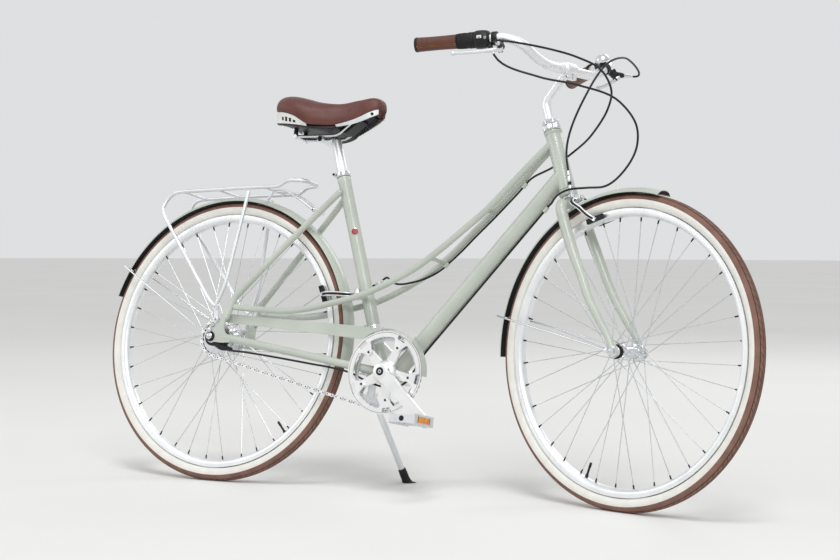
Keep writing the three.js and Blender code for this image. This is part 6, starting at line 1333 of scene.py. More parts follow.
for side in (-1, 1):
    places = np.array([
        on_steerer(along * FORK_LENGTH, forward * FORK_RAKE, side * spread_share * 51)
        for along, forward, spread_share in FORK_SHARES[:, :3]
    ])
    blade = smooth(np.concatenate([places, FORK_SHARES[:, 3:] * 13.2], 1), 7)
    fork_parts.append(tube(blade[:, :3], blade[:, 3], 32))
    near, far = sorted((side * 50.0, side * 55.0))
    tip_disc = [[13.6, near], [14.6, near + 0.8], [14.6, far - 0.8], [13.6, far]]
    fork_parts.append(turned(tip_disc, FRONT_AXLE, LEFT, 40))
    fork_parts += axle_end(
        FRONT_AXLE, side, [[12.6, 55], [12.6, 56], [12, 56.4]], [[8.8, 56.4], [8.8, 61.6], [7.6, 62.6]],
        [[4.6, 62], [4.6, 63], [3.6, 63.6]], chrome_plate,
    )
brake_place = on_steerer(steerer_along(686), 16.5)
front_in = unit((FRONT_AXLE - brake_place) * (1, 0, 1))
front_along = np.cross(front_in, LEFT)
front_along = front_along if front_along[0] > 0 else -front_along
fork_parts.append(rod(brake_place - 12 * front_along, brake_place + 21.5 * front_along, 3, 16, chrome_plate))
brake_nut = [[6.2, 19.4], [6.6, 20.4], [6, 21.4]]
fork_parts.append(turned(brake_nut, brake_place, front_along, 6, finish=chrome_plate))
dress("fork", TURNED, fork_parts, sage_enamel, bevel=0.25)

# %% [markdown]
# ## Stem and handlebar
# A quill stem rises from the headset, bends forward and grips the bar in a clamp. The bar
# sweeps out, up and far back to the hands; both are polished, anodised aluminium.

# %% Stem
clamp_centre = on_steerer(steerer_along(925)) + (65, 0, 68)
stem_low, stem_bend = on_steerer(lock_base + 25 - 75), on_steerer(steerer_along(925))
lean = unit(clamp_centre - stem_bend)
knee_line = rounded([stem_low, on_steerer(lock_base + 26), stem_bend, clamp_centre - 12 * lean], 16, 9)
stem_parts = [
    tube(knee_line, np.interp(np.arange(len(knee_line)), [6, len(knee_line) - 3], [11.05, 10]), 40),
    turned([
        [11.5, -19], [15.4, -18.6], [17.2, -16.5], [17.5, -10], [17.5, 10], [17.2, 16.5], [15.4, 18.6],
        [11.5, 19],
    ], clamp_centre, LEFT, 56, True),
    block(clamp_centre + (9, 0, -17.5), (11, 26, 12)),
    block(clamp_centre + (9, 0, -16.5), (11.6, 1.2, 13), finish=dark_steel),
]
stem_parts += bolt_head(clamp_centre + (9, -13, -18), -LEFT, 4.6, 4)
stem_parts += bolt_head(clamp_centre + (9, 13, -18), LEFT, 4.6, 3)
dress("stem", TURNED, stem_parts, anodised_aluminium, bevel=1.2)


# %% Handlebar
BAR_SWEEP, BAR_HALF, BAR_RISE = 215, 276, 49


def bar_point(share, hand):
    """A point of the bar from shares of its sweep back, half width and rise."""
    back, side, rise = share
    return clamp_centre + (back * BAR_SWEEP, hand * side * BAR_HALF, rise * BAR_RISE)


BAR_SHARES = [
    [-1, 1, 0.7755], [-0.1814, 0.6594, 1], [-0.093, 0.6087, 0.8776], [-0.0233, 0.5435, 0.6531],
    [-0.0047, 0.442, 0.3265], [0.0186, 0.3442, 0.0612],
]
bar_right = [bar_point(share, -1) for share in BAR_SHARES]
bar_left = [bar_point(share, 1) for share in BAR_SHARES][::-1]
inner = [clamp_centre + y * LEFT for y in (-38, -20, 20, 38)]
straight_right = smooth([bar_right[0], bar_right[0] * 0.5 + bar_right[1] * 0.5, bar_right[1]], 6)
straight_left = smooth([bar_left[-2], bar_left[-1] * 0.5 + bar_left[-2] * 0.5, bar_left[-1]], 6)
bar_line = np.concatenate([
    straight_right[:-1], smooth(bar_right[1:] + inner + bar_left[:-1], 9)[:-1], straight_left,
])
dress("handlebar", TURNED, [
    tube(bar_line, BAR_RADIUS, 36, seed=UP),
    turned([[11.2, -34], [12.4, -30], [12.4, 30], [11.2, 34]], clamp_centre, LEFT, 40),
], anodised_aluminium)

# %% [markdown]
# ## Grips, shifter and levers
# The grips are wrapped in brown leather cloth, closed by a zigzag of yellow thread along
# their underside. The thread is one line that steps from side to side of the seam.

# %% Grips
hands = {}
for name, side in SIDES.items():
    tip, inner_end = bar_point(BAR_SHARES[0], side), bar_point(BAR_SHARES[1], side)
    hands[name] = (tip, unit(inner_end - tip))


def grip_radius(t):
    """A slightly waisted grip: 16.5 mm at both ends and 15.7 mm in the middle."""
    return 15.7 + 0.8 * (2 * t - 1) ** 2


for name, length in (("right", 96), ("left", 128)):
    tip, way = hands[name]
    side = SIDES[name]
    t = np.linspace(0, 1, 25)
    outer = np.stack([grip_radius(t), t * length], 1)
    down = unit(np.cross(way, np.cross(-UP, way)))
    outward = unit(np.cross(way, down)) * (1 if np.cross(way, down) @ (side * LEFT) > 0 else -1)
    steps = int(length / 3.2)
    s = np.linspace(0.03, 0.97, 2 * steps)
    zig = np.radians(58 + 11 * np.where(np.arange(2 * steps) % 2 == 0, 1, -1))
    across = down[None] * np.cos(zig)[:, None] + outward[None] * np.sin(zig)[:, None]
    thread = tip + (s * length)[:, None] * way + (grip_radius(s) + 0.25)[:, None] * across
    seam_way = down * math.cos(math.radians(58)) + outward * math.sin(math.radians(58))
    seam = tip + (t * length)[:, None] * way + (grip_radius(t) - 0.1)[:, None] * seam_way
    parts = [
        turned(np.concatenate([outer, [[11.8, length], [11.8, 0]]]), tip, way, 48, True),
        turned([
            [12.4, -4.2], [15.6, -3.6], [16.7, -1.6], [16.9, 2.6], [16.4, 3.2],
        ], tip, way, 48, finish=black_plastic),
        turned([
            [16.7, length - 3.4], [17, length - 2.6], [17, length - 0.2], [16.2, length], [11.8, length],
            [11.8, length - 3.4],
        ], tip, way, 48, True, black_plastic),
        tube(thread, 0.62, 6, finish=yellow_thread),
        tube(seam, 0.5, 6, finish=black_rubber),
    ]
    if side > 0:
        parts.append(turned([[3.4, -5], [3, -5.6]], tip, way, 20, finish=chrome_plate))
    dress(f"grip_{name}", TURNED, parts, grip_leather)


# %% Twist grip and shifter
def ribbed(profile, place, way, ribs, depth, finish, bits=192):
    """A turned rubber sleeve whose radius rises on ribs along it: r + depth * max(0, cos(ribs a))^0.5."""
    a = 2 * np.pi * np.arange(bits) / bits
    rise = depth * np.sqrt(np.clip(np.cos(ribs * a), 0, 1))
    e = unit(np.cross(way, UP))
    f = np.cross(way, e)
    ring = e * np.cos(a)[:, None] + f * np.sin(a)[:, None]
    rows = [place + along * way + (radius + rise * share)[:, None] * ring for radius, along, share in profile]
    return shell(np.stack(rows), True, True, False, finish)


tip, way = hands["right"]
dress("twist_grip", TURNED, [
    ribbed([
        (11.8, 96.4, 0), (16, 96.4, 0), (16.4, 98, 1), (17, 116, 1), (17.2, 118, 0), (17.9, 120, 0),
        (18.5, 133, 0), (18.2, 134.2, 0), (11.8, 134.2, 0),
    ], tip, way, 24, 1.1, black_rubber),
    turned(band(17.4, 18.7, 124, 126), tip, way, 48, True, black_plastic),
], black_rubber, sharp=60)
spout_way = unit([1, 0, -1.6])
spout = tip + (134.6 + 27) * way
window_way = unit(np.cross(np.cross(way, unit([0.4, -1, 0.1])), way))
window_along = way
window_side = np.cross(window_along, window_way)
dress("shifter_housing", TURNED, [
    turned([
        [11.8, 134.7], [17.6, 134.7], [19.6, 136.6], [20.8, 141], [21, 149], [20.6, 157], [19.4, 164],
        [17.2, 168.6], [15, 170.4], [11.8, 170.4],
    ], tip, way, 56, True),
    turned([[6.4, 8], [5.8, 26], [4.4, 27], [4.2, 33]], spout, spout_way, 24),
    block(tip + 149 * way + 20.2 * window_way, (14, 10, 3), (window_along, window_side, window_way)),
    block(
        tip + 149 * way + 21.5 * window_way, (11, 7, 0.8), (window_along, window_side, window_way),
        white_plastic,
    ),
    block(
        tip + 149 * way + 21.9 * window_way + 1.5 * window_side,
        (5, 2.6, 0.4), (window_along, window_side, window_way), red_enamel,
    ),
] + bolt_head(
    tip + 162 * way + 19.2 * unit(np.cross(way, UP)), unit(np.cross(way, UP)), 3.2, 1.6,
), black_plastic, bevel=0.5)

# %% Brake levers and their clamps
LEVER_CURVE = np.array([[0, 0, 1], [0.2, -0.2, 0.95], [0.5, -0.3, 0.8], [0.8, -0.1, 0.75], [1, 0.2, 0.8]])
barrels = {}
for name, side in SIDES.items():
    tip, way = hands[name]
    outward = -way
    forward = unit(np.cross(outward, UP)) * side
    down = unit(np.cross(forward, outward))
    down = down if down[2] < 0 else -down
    clamp = tip + 181 * way
    pivot = clamp + 19 * way + 33.5 * forward + 32 * down
    to_bar = unit(-33.5 * forward - 32 * down)
    end = pivot + 108 * outward - 2 * UP
    blade_way = unit(end - pivot)
    axis = unit(np.cross(blade_way, to_bar))
    square = np.cross(axis, blade_way)
    curve = np.concatenate([
        pivot + LEVER_CURVE[:, :1] * 108 * blade_way + LEVER_CURVE[:, 1:2] * 8 * square,
        LEVER_CURVE[:, 2:] * 4.4,
    ], 1)
    blade = smooth(curve, 9)
    dress(f"lever_{name}", TURNED, [
        turned([[6.5, -5], [6.5, 5]], pivot, axis, 32),
        tube(blade[:, :3], blade[:, 3] * 1.1, 24, seed=axis, flat=1.12),
        ball(blade[-1, :3], 5.9),
    ], silver_steel, bevel=0.5)
    root = 2.5 * 6.5
    neck = pivot + root * square
    start = neck + 2.6 * square
    base = pivot + 11 * square
    barrels[name] = (base + 38 * forward, forward)
    parts = [
        turned([
            [11.8, -6.5], [15, -6.5], [15.5, -5.8], [15.5, 5.8], [15, 6.5], [11.8, 6.5],
        ], clamp, way, 40, True),
        rod(clamp - 13.95 * to_bar, start, 5.85, 24),
        block(neck + 2.6 * square, (10.4, 6.2, 18.4), (blade_way, square, axis)),
        turned([[7.6, -7], [7.8, 4], [6.6, 18], [5.4, 24]], base, forward, 28),
        turned([
            [3.6, 23], [3.6, 26], [4.6, 27], [4.6, 35], [3.6, 38],
        ], base, forward, 24, finish=chrome_plate),
        turned([[2.2, -8.6], [3.4, -8.2], [3.4, 8.2], [2.2, 8.6]], pivot, axis, 20, finish=chrome_plate),
    ] + [
        block(
            pivot + e * 6.6 * axis + root / 2 * square, (10.4, root + 6.5, 2.6), (blade_way, square, axis),
        )
        for e in (-1, 1)
    ]
    parts += bolt_head(clamp + 15.2 * down - 1 * forward, down, 3.4, 2.4)
    dress(f"lever_bracket_{name}", TURNED, parts, black_plastic, bevel=0.7)

# %% [markdown]
# ## Brakes and cables
# Each caliper has two curved alloy arms on one bolt, with a black block on a steel
# shoe. The cables are plastic-covered steel coil in one smooth line from barrel to clamp.

# %% Brake calipers
CALIPER_SHARES = np.array([
    [0, 0, 0], [0.02, 0.02, 0.55], [0.16, 0.1, 0.95], [0.45, 0.45, 1.02], [0.85, 0.85, 1], [1, 1, 0.72],
])


def caliper(which, stand, pivot, inward, along, axle, cable_side, depth, arch):
    """Two arms from the bolt round the tyre to the rim, their pads, and the cable's arm."""
    at = lambda deep, high, side: pivot + deep * inward + high * along + side * LEFT
    found = None
    for order, (hand, side) in enumerate(SIDES.items()):
        low = 0.3 + order * 9.1
        middle = low + 4.4
        route = [at(d * depth, middle + h * (arch - middle), side * w * 33) for d, h, w in CALIPER_SHARES]
        pad = at(depth, arch, side * (13.5 + 2.5 + 4))
        rise = unit((pad - axle) * (1, 0, 1))
        pad_way = unit(np.cross(rise, LEFT))
        edge = np.array([[0], [0.5], [1], [1], [1], [1]]) * 4.2 * pad_way
        loops = [np.array(route) - edge, np.array(route) + edge]
        parts = [
            turned([[3.3, low], [8, low], [8, low + 8.8], [3.3, low + 8.8]], pivot, along, 32, True),
            tube(smooth(route, 8), 3.2, 20, seed=along, finish=black_plastic),
            rod(loops[0][-1], loops[1][-1], 1.9, 14),
            *(tube(smooth(loop, 8), 1.9, 14) for loop in loops),
            block(pad, (46, 7.4, 11), (pad_way, LEFT, rise), black_rubber),
            block(pad + side * 3.9 * LEFT, (41, 1.6, 9), (pad_way, LEFT, rise), dark_steel),
            turned([[5.4, 3], [5.4, 7], [4.6, 8]], pad, side * LEFT, 6, finish=chrome_plate),
            *(ball(loop[-1], 1.9, sides=14) for loop in loops),
        ]
        if side == cable_side:
            elbow = at(-24, middle + 6, side * 21.5)
            top = at(-52.8, middle + 13.2, side * 21.5)
            lift = unit(top - elbow)
            parts += [
                tube(smooth([at(0, middle, side * 6), at(-1, middle, side * 13), elbow], 6), 3.8, 20),
                turned([
                    [4.2, -4], [4.2, 6], [3.2, 7], [3.2, 16], [4, 17], [4, 24], [3.2, 28],
                ], elbow, lift, 24, finish=chrome_plate),
                turned([
                    [3.7, 7.5], [4.3, 9], [3.8, 10.5], [4.3, 12], [3.8, 13.5], [4.2, 15],
                ], elbow, lift, 20, finish=black_rubber),
            ]
            found = (top, lift)
        dress(f"{which}_brake_arm_{hand}", stand, parts, anodised_aluminium, bevel=0.5)
    return found


front_top, front_lift = caliper("front", TURNED, brake_place, front_in, front_along, FRONT_AXLE, -1, 73, 46)
rear_top, rear_lift = caliper("rear", LEANING, rear_pivot, rear_in, rear_along, REAR_AXLE, 1, 83, 29)

# %% Cables
STILL = np.eye(3, 4)


def on_bars(*points):
    """Points of the straight front end, in millimetres in the frame."""
    return placed(points, TURNED) * 1000


def on_frame(*points):
    """Points of the upright bicycle, in millimetres in the frame."""
    return placed(points, LEANING) * 1000


STRAIGHT_END = 14.7


def ferrule(place, way):
    """The crimped metal sleeve on the end of a cable housing."""
    return turned([[2.5, -0.4], [3.1, 0], [3.1, 9], [2.6, 10]], place, way, 16, finish=chrome_plate)


lever_start, lever_way = barrels["left"]
foot = front_top + 0.9 * front_lift
front_run = smooth([
    lever_start, lever_start + STRAIGHT_END * lever_way, [933, 150, 1040], [948, 60, 1010], [944, 0, 940],
    foot + 44 * front_lift, foot + STRAIGHT_END * front_lift, foot,
], 12)
dress("front_brake_cable", TURNED, [
    tube(front_run, CABLE_RADIUS, 14), ferrule(lever_start, lever_way), ferrule(foot, front_lift),
], black_housing)


def crossing_cable(name, bar_points, frame_points, bends):
    """A cable over the steering joint: one smooth line from the bar to the frame, and its ferrules."""
    dress(name, STILL, [
        tube(smooth(np.concatenate([bar_points, frame_points]), 8), CABLE_RADIUS, 14),
        ferrule(bar_points[0], bar_points[1] - bar_points[0]),
        ferrule(frame_points[-1], frame_points[-2] - frame_points[-1]),
    ], black_housing, bends=bends)


lever_start, lever_way = barrels["right"]
foot = rear_top + 0.9 * rear_lift
clips = np.array([twin_clip(reach)[0] for reach in (0.9068, 0.86, 0.82, 0.77, 0.72, 0.679)])
first_way, last_way = twin_clip(0.9068)[1], twin_clip(0.679)[1]
bar_points = on_bars(
    lever_start, lever_start + STRAIGHT_END * lever_way, [959, -150, 1007], [992, -100, 994],
    [1020, -50, 970], [1025, -20, 931], [997, 4, 892], [959, 8, 848],
)
frame_points = on_frame(
    [884, 30, 812], [836, 30, 778], clips[0] + 15 * first_way, clips[0], clips[0] - 15 * first_way,
    *clips[1:-1],
    clips[-1] + 15 * last_way, clips[-1], clips[-1] - 15 * last_way, [505, 22, 505], [440, 24, 506],
    foot + 22 * rear_lift, foot,
)
bend = (frame_points[1] / 1000, bar_points[-2] / 1000)
crossing_cable("rear_brake_cable", bar_points, frame_points, bend)

# %% Gear cable
def under_down(share):
    """A point of the cable's line under the down tube."""
    return on_down(share) + (DOWN_RADIUS + CLIP_RADIUS) * down_under


spout_end = spout + 33.2 * spout_way
bar_points = on_bars(
    spout_end, spout_end + STRAIGHT_END * spout_way, [925, -150, 950], [985, -90, 935], [1042, -10, 903],
    [1068, 20, 848], [1062, 30, 810], [1033, 25, 756], [989, 12, 721],
)
frame_points = on_frame(
    [950, -33, 714], [907, -37, 709], [884, -31, 701], [867, -18, 692], [858, -8, 686],
    *[under_down(share) for share in (0.875, 0.86, 0.83, 0.68, 0.5, 0.3, 0.15)],
    [500, -6, 251], [460, -12, 250], [420, -24, 262], [385, -34, 277], [340, -45, 286], [290, -51, 292],
    [200, -57, 303], [100, -57, 314], [50, -56, 318], [22, -56, 322],
)
bend = (frame_points[2] / 1000, bar_points[-1] / 1000)
crossing_cable("shift_cable", bar_points, frame_points, bend)

# %% Bell and striker
bell_on = bar_point(BAR_SHARES[4], 1) * 0.43 + bar_point(BAR_SHARES[3], 1) * 0.57
bell_along = unit(bar_point(BAR_SHARES[3], 1) - bar_point(BAR_SHARES[4], 1))
bell_up = unit(UP - bell_along * bell_along[2])
bell_base = bell_on + 20 * bell_up
dome = np.radians(np.linspace(4, 86, 14))
dress("bell", TURNED, [
    turned([[11.8, -6], [14.5, -6], [14.5, 6], [11.8, 6]], bell_on, bell_along, 36, True, black_plastic),
    rod(bell_on + 12.6 * bell_up, bell_base + bell_up, 8, 28, black_plastic),
    turned([
        [15.8, 0.2], [16.6, 0.4], [17, 1.4], [17, 3],
        *np.stack([17 * np.cos(dome * 0.98), 3 + 13 * np.sin(dome)], 1).tolist(),
    ], bell_base, bell_up, 56),
    turned([[2.4, 15.4], [2.2, 16.2], [1.2, 16.6]], bell_base, bell_up, 20),
], chrome_plate, bevel=0.4)
striker_side = -bell_along
striker = bell_on + (20 - 3.6 - 0.3) * bell_up + (0.45 * 17 + 3.6 + 0.3) * striker_side
striker_end = striker + 16 * striker_side + 16 / 3 * unit(np.cross(bell_up, striker_side))
dress("bell_striker", TURNED, [
    turned([[3.6, -3.6], [3.6, 1.6], [3, 1.8]], striker, bell_up, 24),
    rod(striker, striker_end, 1.8, 16), ball(striker_end, 3.2),
], black_plastic, bevel=0.3)

# %% [markdown]
# ## Seat
# A post slides in the seat tube and carries the saddle's two steel rails in a clamp.
# The saddle is moulded foam on a stiff nylon pan, under a smooth leather-cloth cover,
# so it keeps one crowned shape: sections are drawn along its length and lofted.

# %% Seat post with its clamp
NECK_RADII = [11, 10.5, 10, 9.4, 8.8, 8.3, 7.9, 7.6, 7.4] + [7.2] * 7
clamp_low = np.array([232, 0, 850.0])
post_top = seat_at(852)
dress("seat_post", LEANING, [
    tube([seat_at(667), seat_at(760), post_top - 3 * SEAT_UP, post_top], [12.7, 12.7, 12.7, 11.6], 40),
    tube(
        smooth([post_top - 14 * SEAT_UP, post_top, post_top * 0.4 + clamp_low * 0.6, clamp_low], 5),
        NECK_RADII, 28,
    ),
    turned([
        [8, -26.5], [9, -25.8], [9, -18.6], [7.6, -18], [7.6, 18], [9, 18.6], [9, 25.8], [8, 26.5],
    ], clamp_low, LEFT, 36),
    turned([[5.6, -31], [6.4, -30], [6.4, -26.6]], clamp_low, LEFT, 6, finish=dark_steel),
    turned([[6.4, 26.6], [6.4, 30], [5.6, 31]], clamp_low, LEFT, 6, finish=dark_steel),
], anodised_aluminium, bevel=0.3)

# %% Saddle rails
RAIL_POINTS = np.array([[150, 886], [160, 859], [232, 859], [278.8, 859], [331, 900.4]])
rails = []
for side in (-1, 1):
    line = np.stack([RAIL_POINTS[:, 0], np.full(5, side * 22.0), RAIL_POINTS[:, 1]], 1)
    rails.append(tube(rounded(line, 14, 7), 3.5, 18))
rails.append(rod([160, -26, 859], [160, 26, 859], 3.5, 18))
rails += [
    turned([[6.2, 0], [6.4, 6], [5, 8.4]], [160, side * 20.5, 859], side * LEFT, 20)
    for side in (-1, 1)
]
dress("saddle_rails", LEANING, rails, chrome_plate)

# %% Saddle sections
SADDLE_LENGTH, SADDLE_HALF, SADDLE_DEPTH, SADDLE_REAR, SADDLE_BASE = 268, 104, 92, 122, 870
SADDLE_SHARES = np.array([
    [-0.004, 0.36, 0.67, 0.5, 0.3], [0, 0.5, 0.73, 0.47, 0.24], [0.0205, 0.6923, 0.835, 0.43, 0.16],
    [0.0717, 0.8654, 0.91, 0.37, 0.1], [0.1638, 0.9712, 0.925, 0.32, 0.06],
    [0.2765, 1, 0.87, 0.215, 0.02], [0.34, 0.975, 0.825, 0.11, 0], [0.3857, 0.9423, 0.79, 0.03, -0.02],
    [0.5051, 0.8077, 0.7391, 0, -0.02], [0.6246, 0.6058, 0.7391, 0.0435, 0.02],
    [0.8, 0.395, 0.85, 0.25, 0.16], [0.9317, 0.2885, 0.8913, 0.4565, 0.33],
    [0.985, 0.2, 0.83, 0.53, 0.42], [1, 0.1, 0.7065, 0.6, 0.5],
])
TOP_HALF = smooth(
    np.array([[0, 1], [0.42, 0.97], [0.74, 0.85], [0.94, 0.58], [1, 0.26], [0.975, 0.08]], float),
    5,
)


def saddle_rows(bits=6):
    """Stations along the saddle: its X, half width, and the heights of its top, of the cover's
    lower edge and of the pan's lower edge, in millimetres."""
    spans = (SADDLE_LENGTH, SADDLE_HALF, SADDLE_DEPTH, SADDLE_DEPTH, SADDLE_DEPTH)
    rows = smooth(SADDLE_SHARES * spans + (SADDLE_REAR, 0, SADDLE_BASE, SADDLE_BASE, SADDLE_BASE), bits)
    rows[:, 3] = np.minimum(rows[:, 3], rows[:, 2] - 4)
    return rows


def saddle_surface(half):
    """point = (x, width y, low + (top - low) z) for every (y, z) of the half section and its mirror."""
    rows = saddle_rows()
    section = np.concatenate([half, (half * (-1, 1))[::-1]])
    y = rows[:, 1:2] * section[None, :, 0]
    z = rows[:, 3:4] + (rows[:, 2:3] - rows[:, 3:4]) * section[None, :, 1]
    return shell(np.stack([np.broadcast_to(rows[:, :1], y.shape), y, z], -1))


cover_half = np.concatenate([TOP_HALF[1:], [
    [0.94, 0.03], [0.88, 0.08], [0.7, 0.14], [0.3, 0.18], [0.05, 0.18],
]])
cover_shell = saddle_surface(np.concatenate([[[0.001, 1]], cover_half]))
cover = dress("saddle_cover", LEANING, [cover_shell], brown_leather, sharp=70)

# %% Saddle pan with its pierced rear plates and nose plate
def pan_stations():
    """The pan keeps inside the cover and ends on its own lower edge, 12 mm higher in the nose."""
    rows = saddle_rows()
    keep = (rows[:, 0] > 128) & (rows[:, 0] < 362)
    rows = rows[keep]
    height = np.minimum(30, 0.5 * (rows[:, 2] - rows[:, 4]))
    lifted = rows[:, 4] + 12 * np.clip((rows[:, 0] - 285) / 30, 0, 1)
    return rows[:, 0], 0.87 * rows[:, 1], lifted, height


pan_x, pan_half, pan_low, pan_height = pan_stations()
PAN_SECTION = np.array([
    [0.001, 0.9], [0.6, 0.86], [0.9, 0.5], [1, 0.2], [1.02, -0.08], [0.95, -0.14], [0.86, -0.02],
    [0.6, 0.02], [0.3, 0.1], [0.001, 0.12],
])
pan_section = np.concatenate([PAN_SECTION, (PAN_SECTION * (-1, 1))[::-1]])
pan_grid = np.stack([
    np.broadcast_to(pan_x[:, None], (len(pan_x), len(pan_section))), pan_half[:, None] * pan_section[:, 0],
    pan_low[:, None] + pan_height[:, None] * pan_section[:, 1],
], -1)


def saddle_strip(x_range, shares, lift, side, finish, bits=(25, 5)):
    """A thin plate under the cover's edge, with rows along X. At share t of the way from that
    edge down to the pan's, its point is (x, (0.95 - 0.06 t) width + lift, edge + t (pan - edge))."""
    rows = saddle_rows()
    x = np.linspace(*x_range, bits[0])
    width, edge, low = (np.interp(x, rows[3:, 0], rows[3:, k])[:, None] for k in (1, 3, 4))
    t = np.linspace(*shares, bits[1])[None]
    y = (0.95 - 0.06 * t) * width + lift
    z = edge + 2 + t * (low - edge - 2)
    across = np.broadcast_to(x[:, None], z.shape)
    sides = [np.stack([across, side * (y - inward), z], -1) for inward in (0, 3)]
    return shell(np.concatenate([sides[0], sides[1][:, ::-1]], axis=1), finish=finish)


plates = []
PIERCINGS = ((158, 164, 0.42, 0.72), (169, 176, 0.36, 0.78), (181, 188, 0.4, 0.78), (193, 200, 0.5, 0.78))
for side in (-1, 1):
    plates.append(saddle_strip((134, 228), (0, 1), 0.4, side, white_plastic))
    plates.append(saddle_strip((292, 386), (0, 1), 0.4, side, silver_steel))
    for x0, x1, top, low in PIERCINGS:
        plates.append(saddle_strip((x0, x1), (top, low), 0.9, side, black_plastic, (4, 3)))
    plates.append(turned([[3.4, 0], [3.4, 6]], (374, side * 24, 908), side * LEFT, 16, finish=dark_steel))
dress("saddle_base", LEANING, [shell(pan_grid)] + plates + [
    rod([158, side * 22, 862], [158, side * 22, 892], 5.6, 16) for side in (-1, 1)
] + [
    plate([[282, 863], [302, 866], [338, 894], [338, 906], [280, 892]], -19, 19),
], black_plastic, bevel=0.4)

# %% [markdown]
# ## Kickstand
# The stand's leg hangs from a bracket clamped behind the bottom bracket. It is an
# aluminium rod whose groove behind is a thin dark rod of painted shade, with a flared rubber foot, flat on
# the ground.

# %% Kickstand
stand_pivot = np.array([404, 45, 232.0])
rake, splay = math.radians(15.9), math.radians(13.1)
stand_axis = np.array([-math.sin(rake), math.cos(rake) * math.cos(splay), math.cos(rake) * math.sin(splay)])
leg_top = stand_pivot + 6.65 * stand_axis
leg_end = leg_top + (41, 136, -197.16)
leg_way = unit(leg_end - leg_top)
arm_start = np.array([416, 23.5, 274.9])
dress("kickstand_bracket", LEANING, [
    block((416, 7.5, 276.5), (24, 70.4, 3.2)), block((416, 0, 284.1), (24, 32, 18)),
    tube([arm_start, stand_pivot - 8 * stand_axis], 9.6, 28),
    turned([[11, -16], [12, -15], [12, -1], [11, 0]], stand_pivot, stand_axis, 40),
    turned([[4, -1], [4, 12]], stand_pivot, stand_axis, 20, finish=chrome_plate),
    turned([[6, 13.4], [6.4, 12.4], [6.4, 11]], stand_pivot, stand_axis, 6, finish=chrome_plate),
] + bolt_head((416, 0, 275), -UP, 6, 4), silver_steel, bevel=0.8)
leg_back = unit(np.cross(leg_way, LEFT))
leg_back = leg_back if leg_back[0] < 0 else -leg_back
dress("kickstand_leg", LEANING, [
    turned([
        [4.3, 0.3], [10.2, 0.3], [11, 1.2], [11, 15.4], [10.2, 16.2], [4.3, 16.2],
    ], stand_pivot, stand_axis, 40, True),
    tube([leg_top, leg_top + 0.5 * (leg_end - leg_top), leg_end - 12 * leg_way], 7.5, 28),
    # The thin dark rod along the leg's back is painted shade for its groove
    tube([
        leg_top + 22 * leg_way + 6.2 * leg_back, leg_end - 30 * leg_way + 6.2 * leg_back,
    ], 2.0, 12, finish=dark_steel),
], silver_steel, bevel=0.6)
foot_profile = np.array([
    [7.7, -40], [9.2, -38], [9.6, -30], [9.8, -14], [11, -6], [13.4, 3], [15.6, 11], [16.2, 16],
    [16.2, 19], [15, 22], [6, 24],
])
stand_foot = dress("kickstand_foot", LEANING, [
    turned(foot_profile, leg_end, leg_way, 48),
    turned(band(9.5, 10.3, -26, -24.6), leg_end, leg_way, 32, True),
    turned(band(9.5, 10.3, -20, -18.6), leg_end, leg_way, 32, True),
], black_rubber)
spots_z = np.empty(len(stand_foot.data.vertices) * 3, np.float32)
stand_foot.data.vertices.foreach_get("co", spots_z)
spots_z = spots_z.reshape(-1, 3)
spots_z[:, 2] = np.maximum(spots_z[:, 2], 0.0)
stand_foot.data.vertices.foreach_set("co", spots_z.ravel())

# %% [markdown]
# ## Floor, light and box
# A plain pale floor meets a white surround. Three soft area lamps and one wide overhead
# light reach the bicycle, and the surround gives its white to what the camera and metal see.

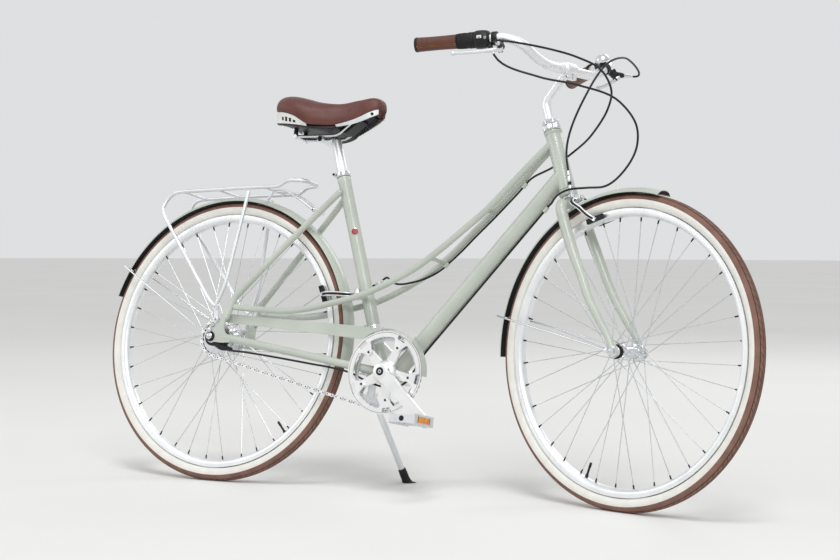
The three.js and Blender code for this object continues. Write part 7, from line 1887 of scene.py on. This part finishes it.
# %% Floor and world
matt = {"Roughness": 0.9, "Specular_IOR_Level": 0.1}
floor_finish, floor_tree, floor_shader, floor_place = begin_finish("plain_pale_floor", **matt)
drift = add(floor_tree, "ShaderNodeTexNoise", {"Vector": floor_place, "Scale": 0.6, "Detail": 3}).outputs[0]
floor_tone = add(floor_tree, "ShaderNodeValToRGB", {"Fac": drift}, stops=[(0.3, "ECECEA"), (0.7, "F0F0EE")])
floor_tree.links.new(floor_tone.outputs[0], floor_shader.inputs["Base Color"])
floor_mesh = bpy.data.meshes.new("floor")
FLOOR_HALF, FLOOR_DROP = 50, 0.0006
corners = [(x * FLOOR_HALF, y * FLOOR_HALF, -FLOOR_DROP) for x, y in ((-1, -1), (1, -1), (1, 1), (-1, 1))]
floor_mesh.from_pydata(corners, [], [(0, 1, 2, 3)])
floor_mesh.materials.append(floor_finish)
floor = bpy.data.objects.new("floor", floor_mesh)
bpy.context.scene.collection.objects.link(floor)
world = bpy.data.worlds.new("studio")
bpy.context.scene.world = world
world.use_nodes = True
sky_tree = world.node_tree
sky_tree.nodes.clear()
rays = add(sky_tree, "ShaderNodeLightPath").outputs
seen = rays["Is Camera Ray"]
for ray in ("Is Glossy Ray", "Is Transmission Ray"):
    seen = add(sky_tree, "ShaderNodeMath", {0: seen, 1: rays[ray]}, operation="MAXIMUM").outputs[0]
strength = add(sky_tree, "ShaderNodeMapRange", {"Value": seen, "To Min": 0.46, "To Max": 0.8}).outputs[0]
sky = add(sky_tree, "ShaderNodeBackground", {"Color": linear("F6F7F8"), "Strength": strength})
add(sky_tree, "ShaderNodeOutputWorld", {"Surface": sky.outputs[0]})

# %% Lamps
def lamp(name, kind, place, **settings):
    """A lamp that shines from its place towards the middle of the bicycle."""
    data = bpy.data.lights.new(name, kind)
    for key, value in settings.items():
        setattr(data, key, value)
    made = bpy.data.objects.new(name, data)
    made.location = place
    made.rotation_mode = "QUATERNION"
    made.rotation_quaternion = (Vector((0, 0, 0.5)) - Vector(place)).to_track_quat("-Z", "Y")
    bpy.context.scene.collection.objects.link(made)


lamp("key", "AREA", (2.6, -4.2, 4.4), energy=115, size=2.6, shape="DISK")
lamp("fill", "AREA", (-4.2, -2.6, 2.6), energy=36, size=3.2, shape="DISK")
lamp("rim", "AREA", (0.6, 4.4, 3.6), energy=40, size=3.0, shape="DISK")
lamp("overhead", "SUN", (0.6, -1.4, 4.5), energy=0.95, angle=math.radians(22))
bpy.context.scene.view_settings.view_transform = "Standard"
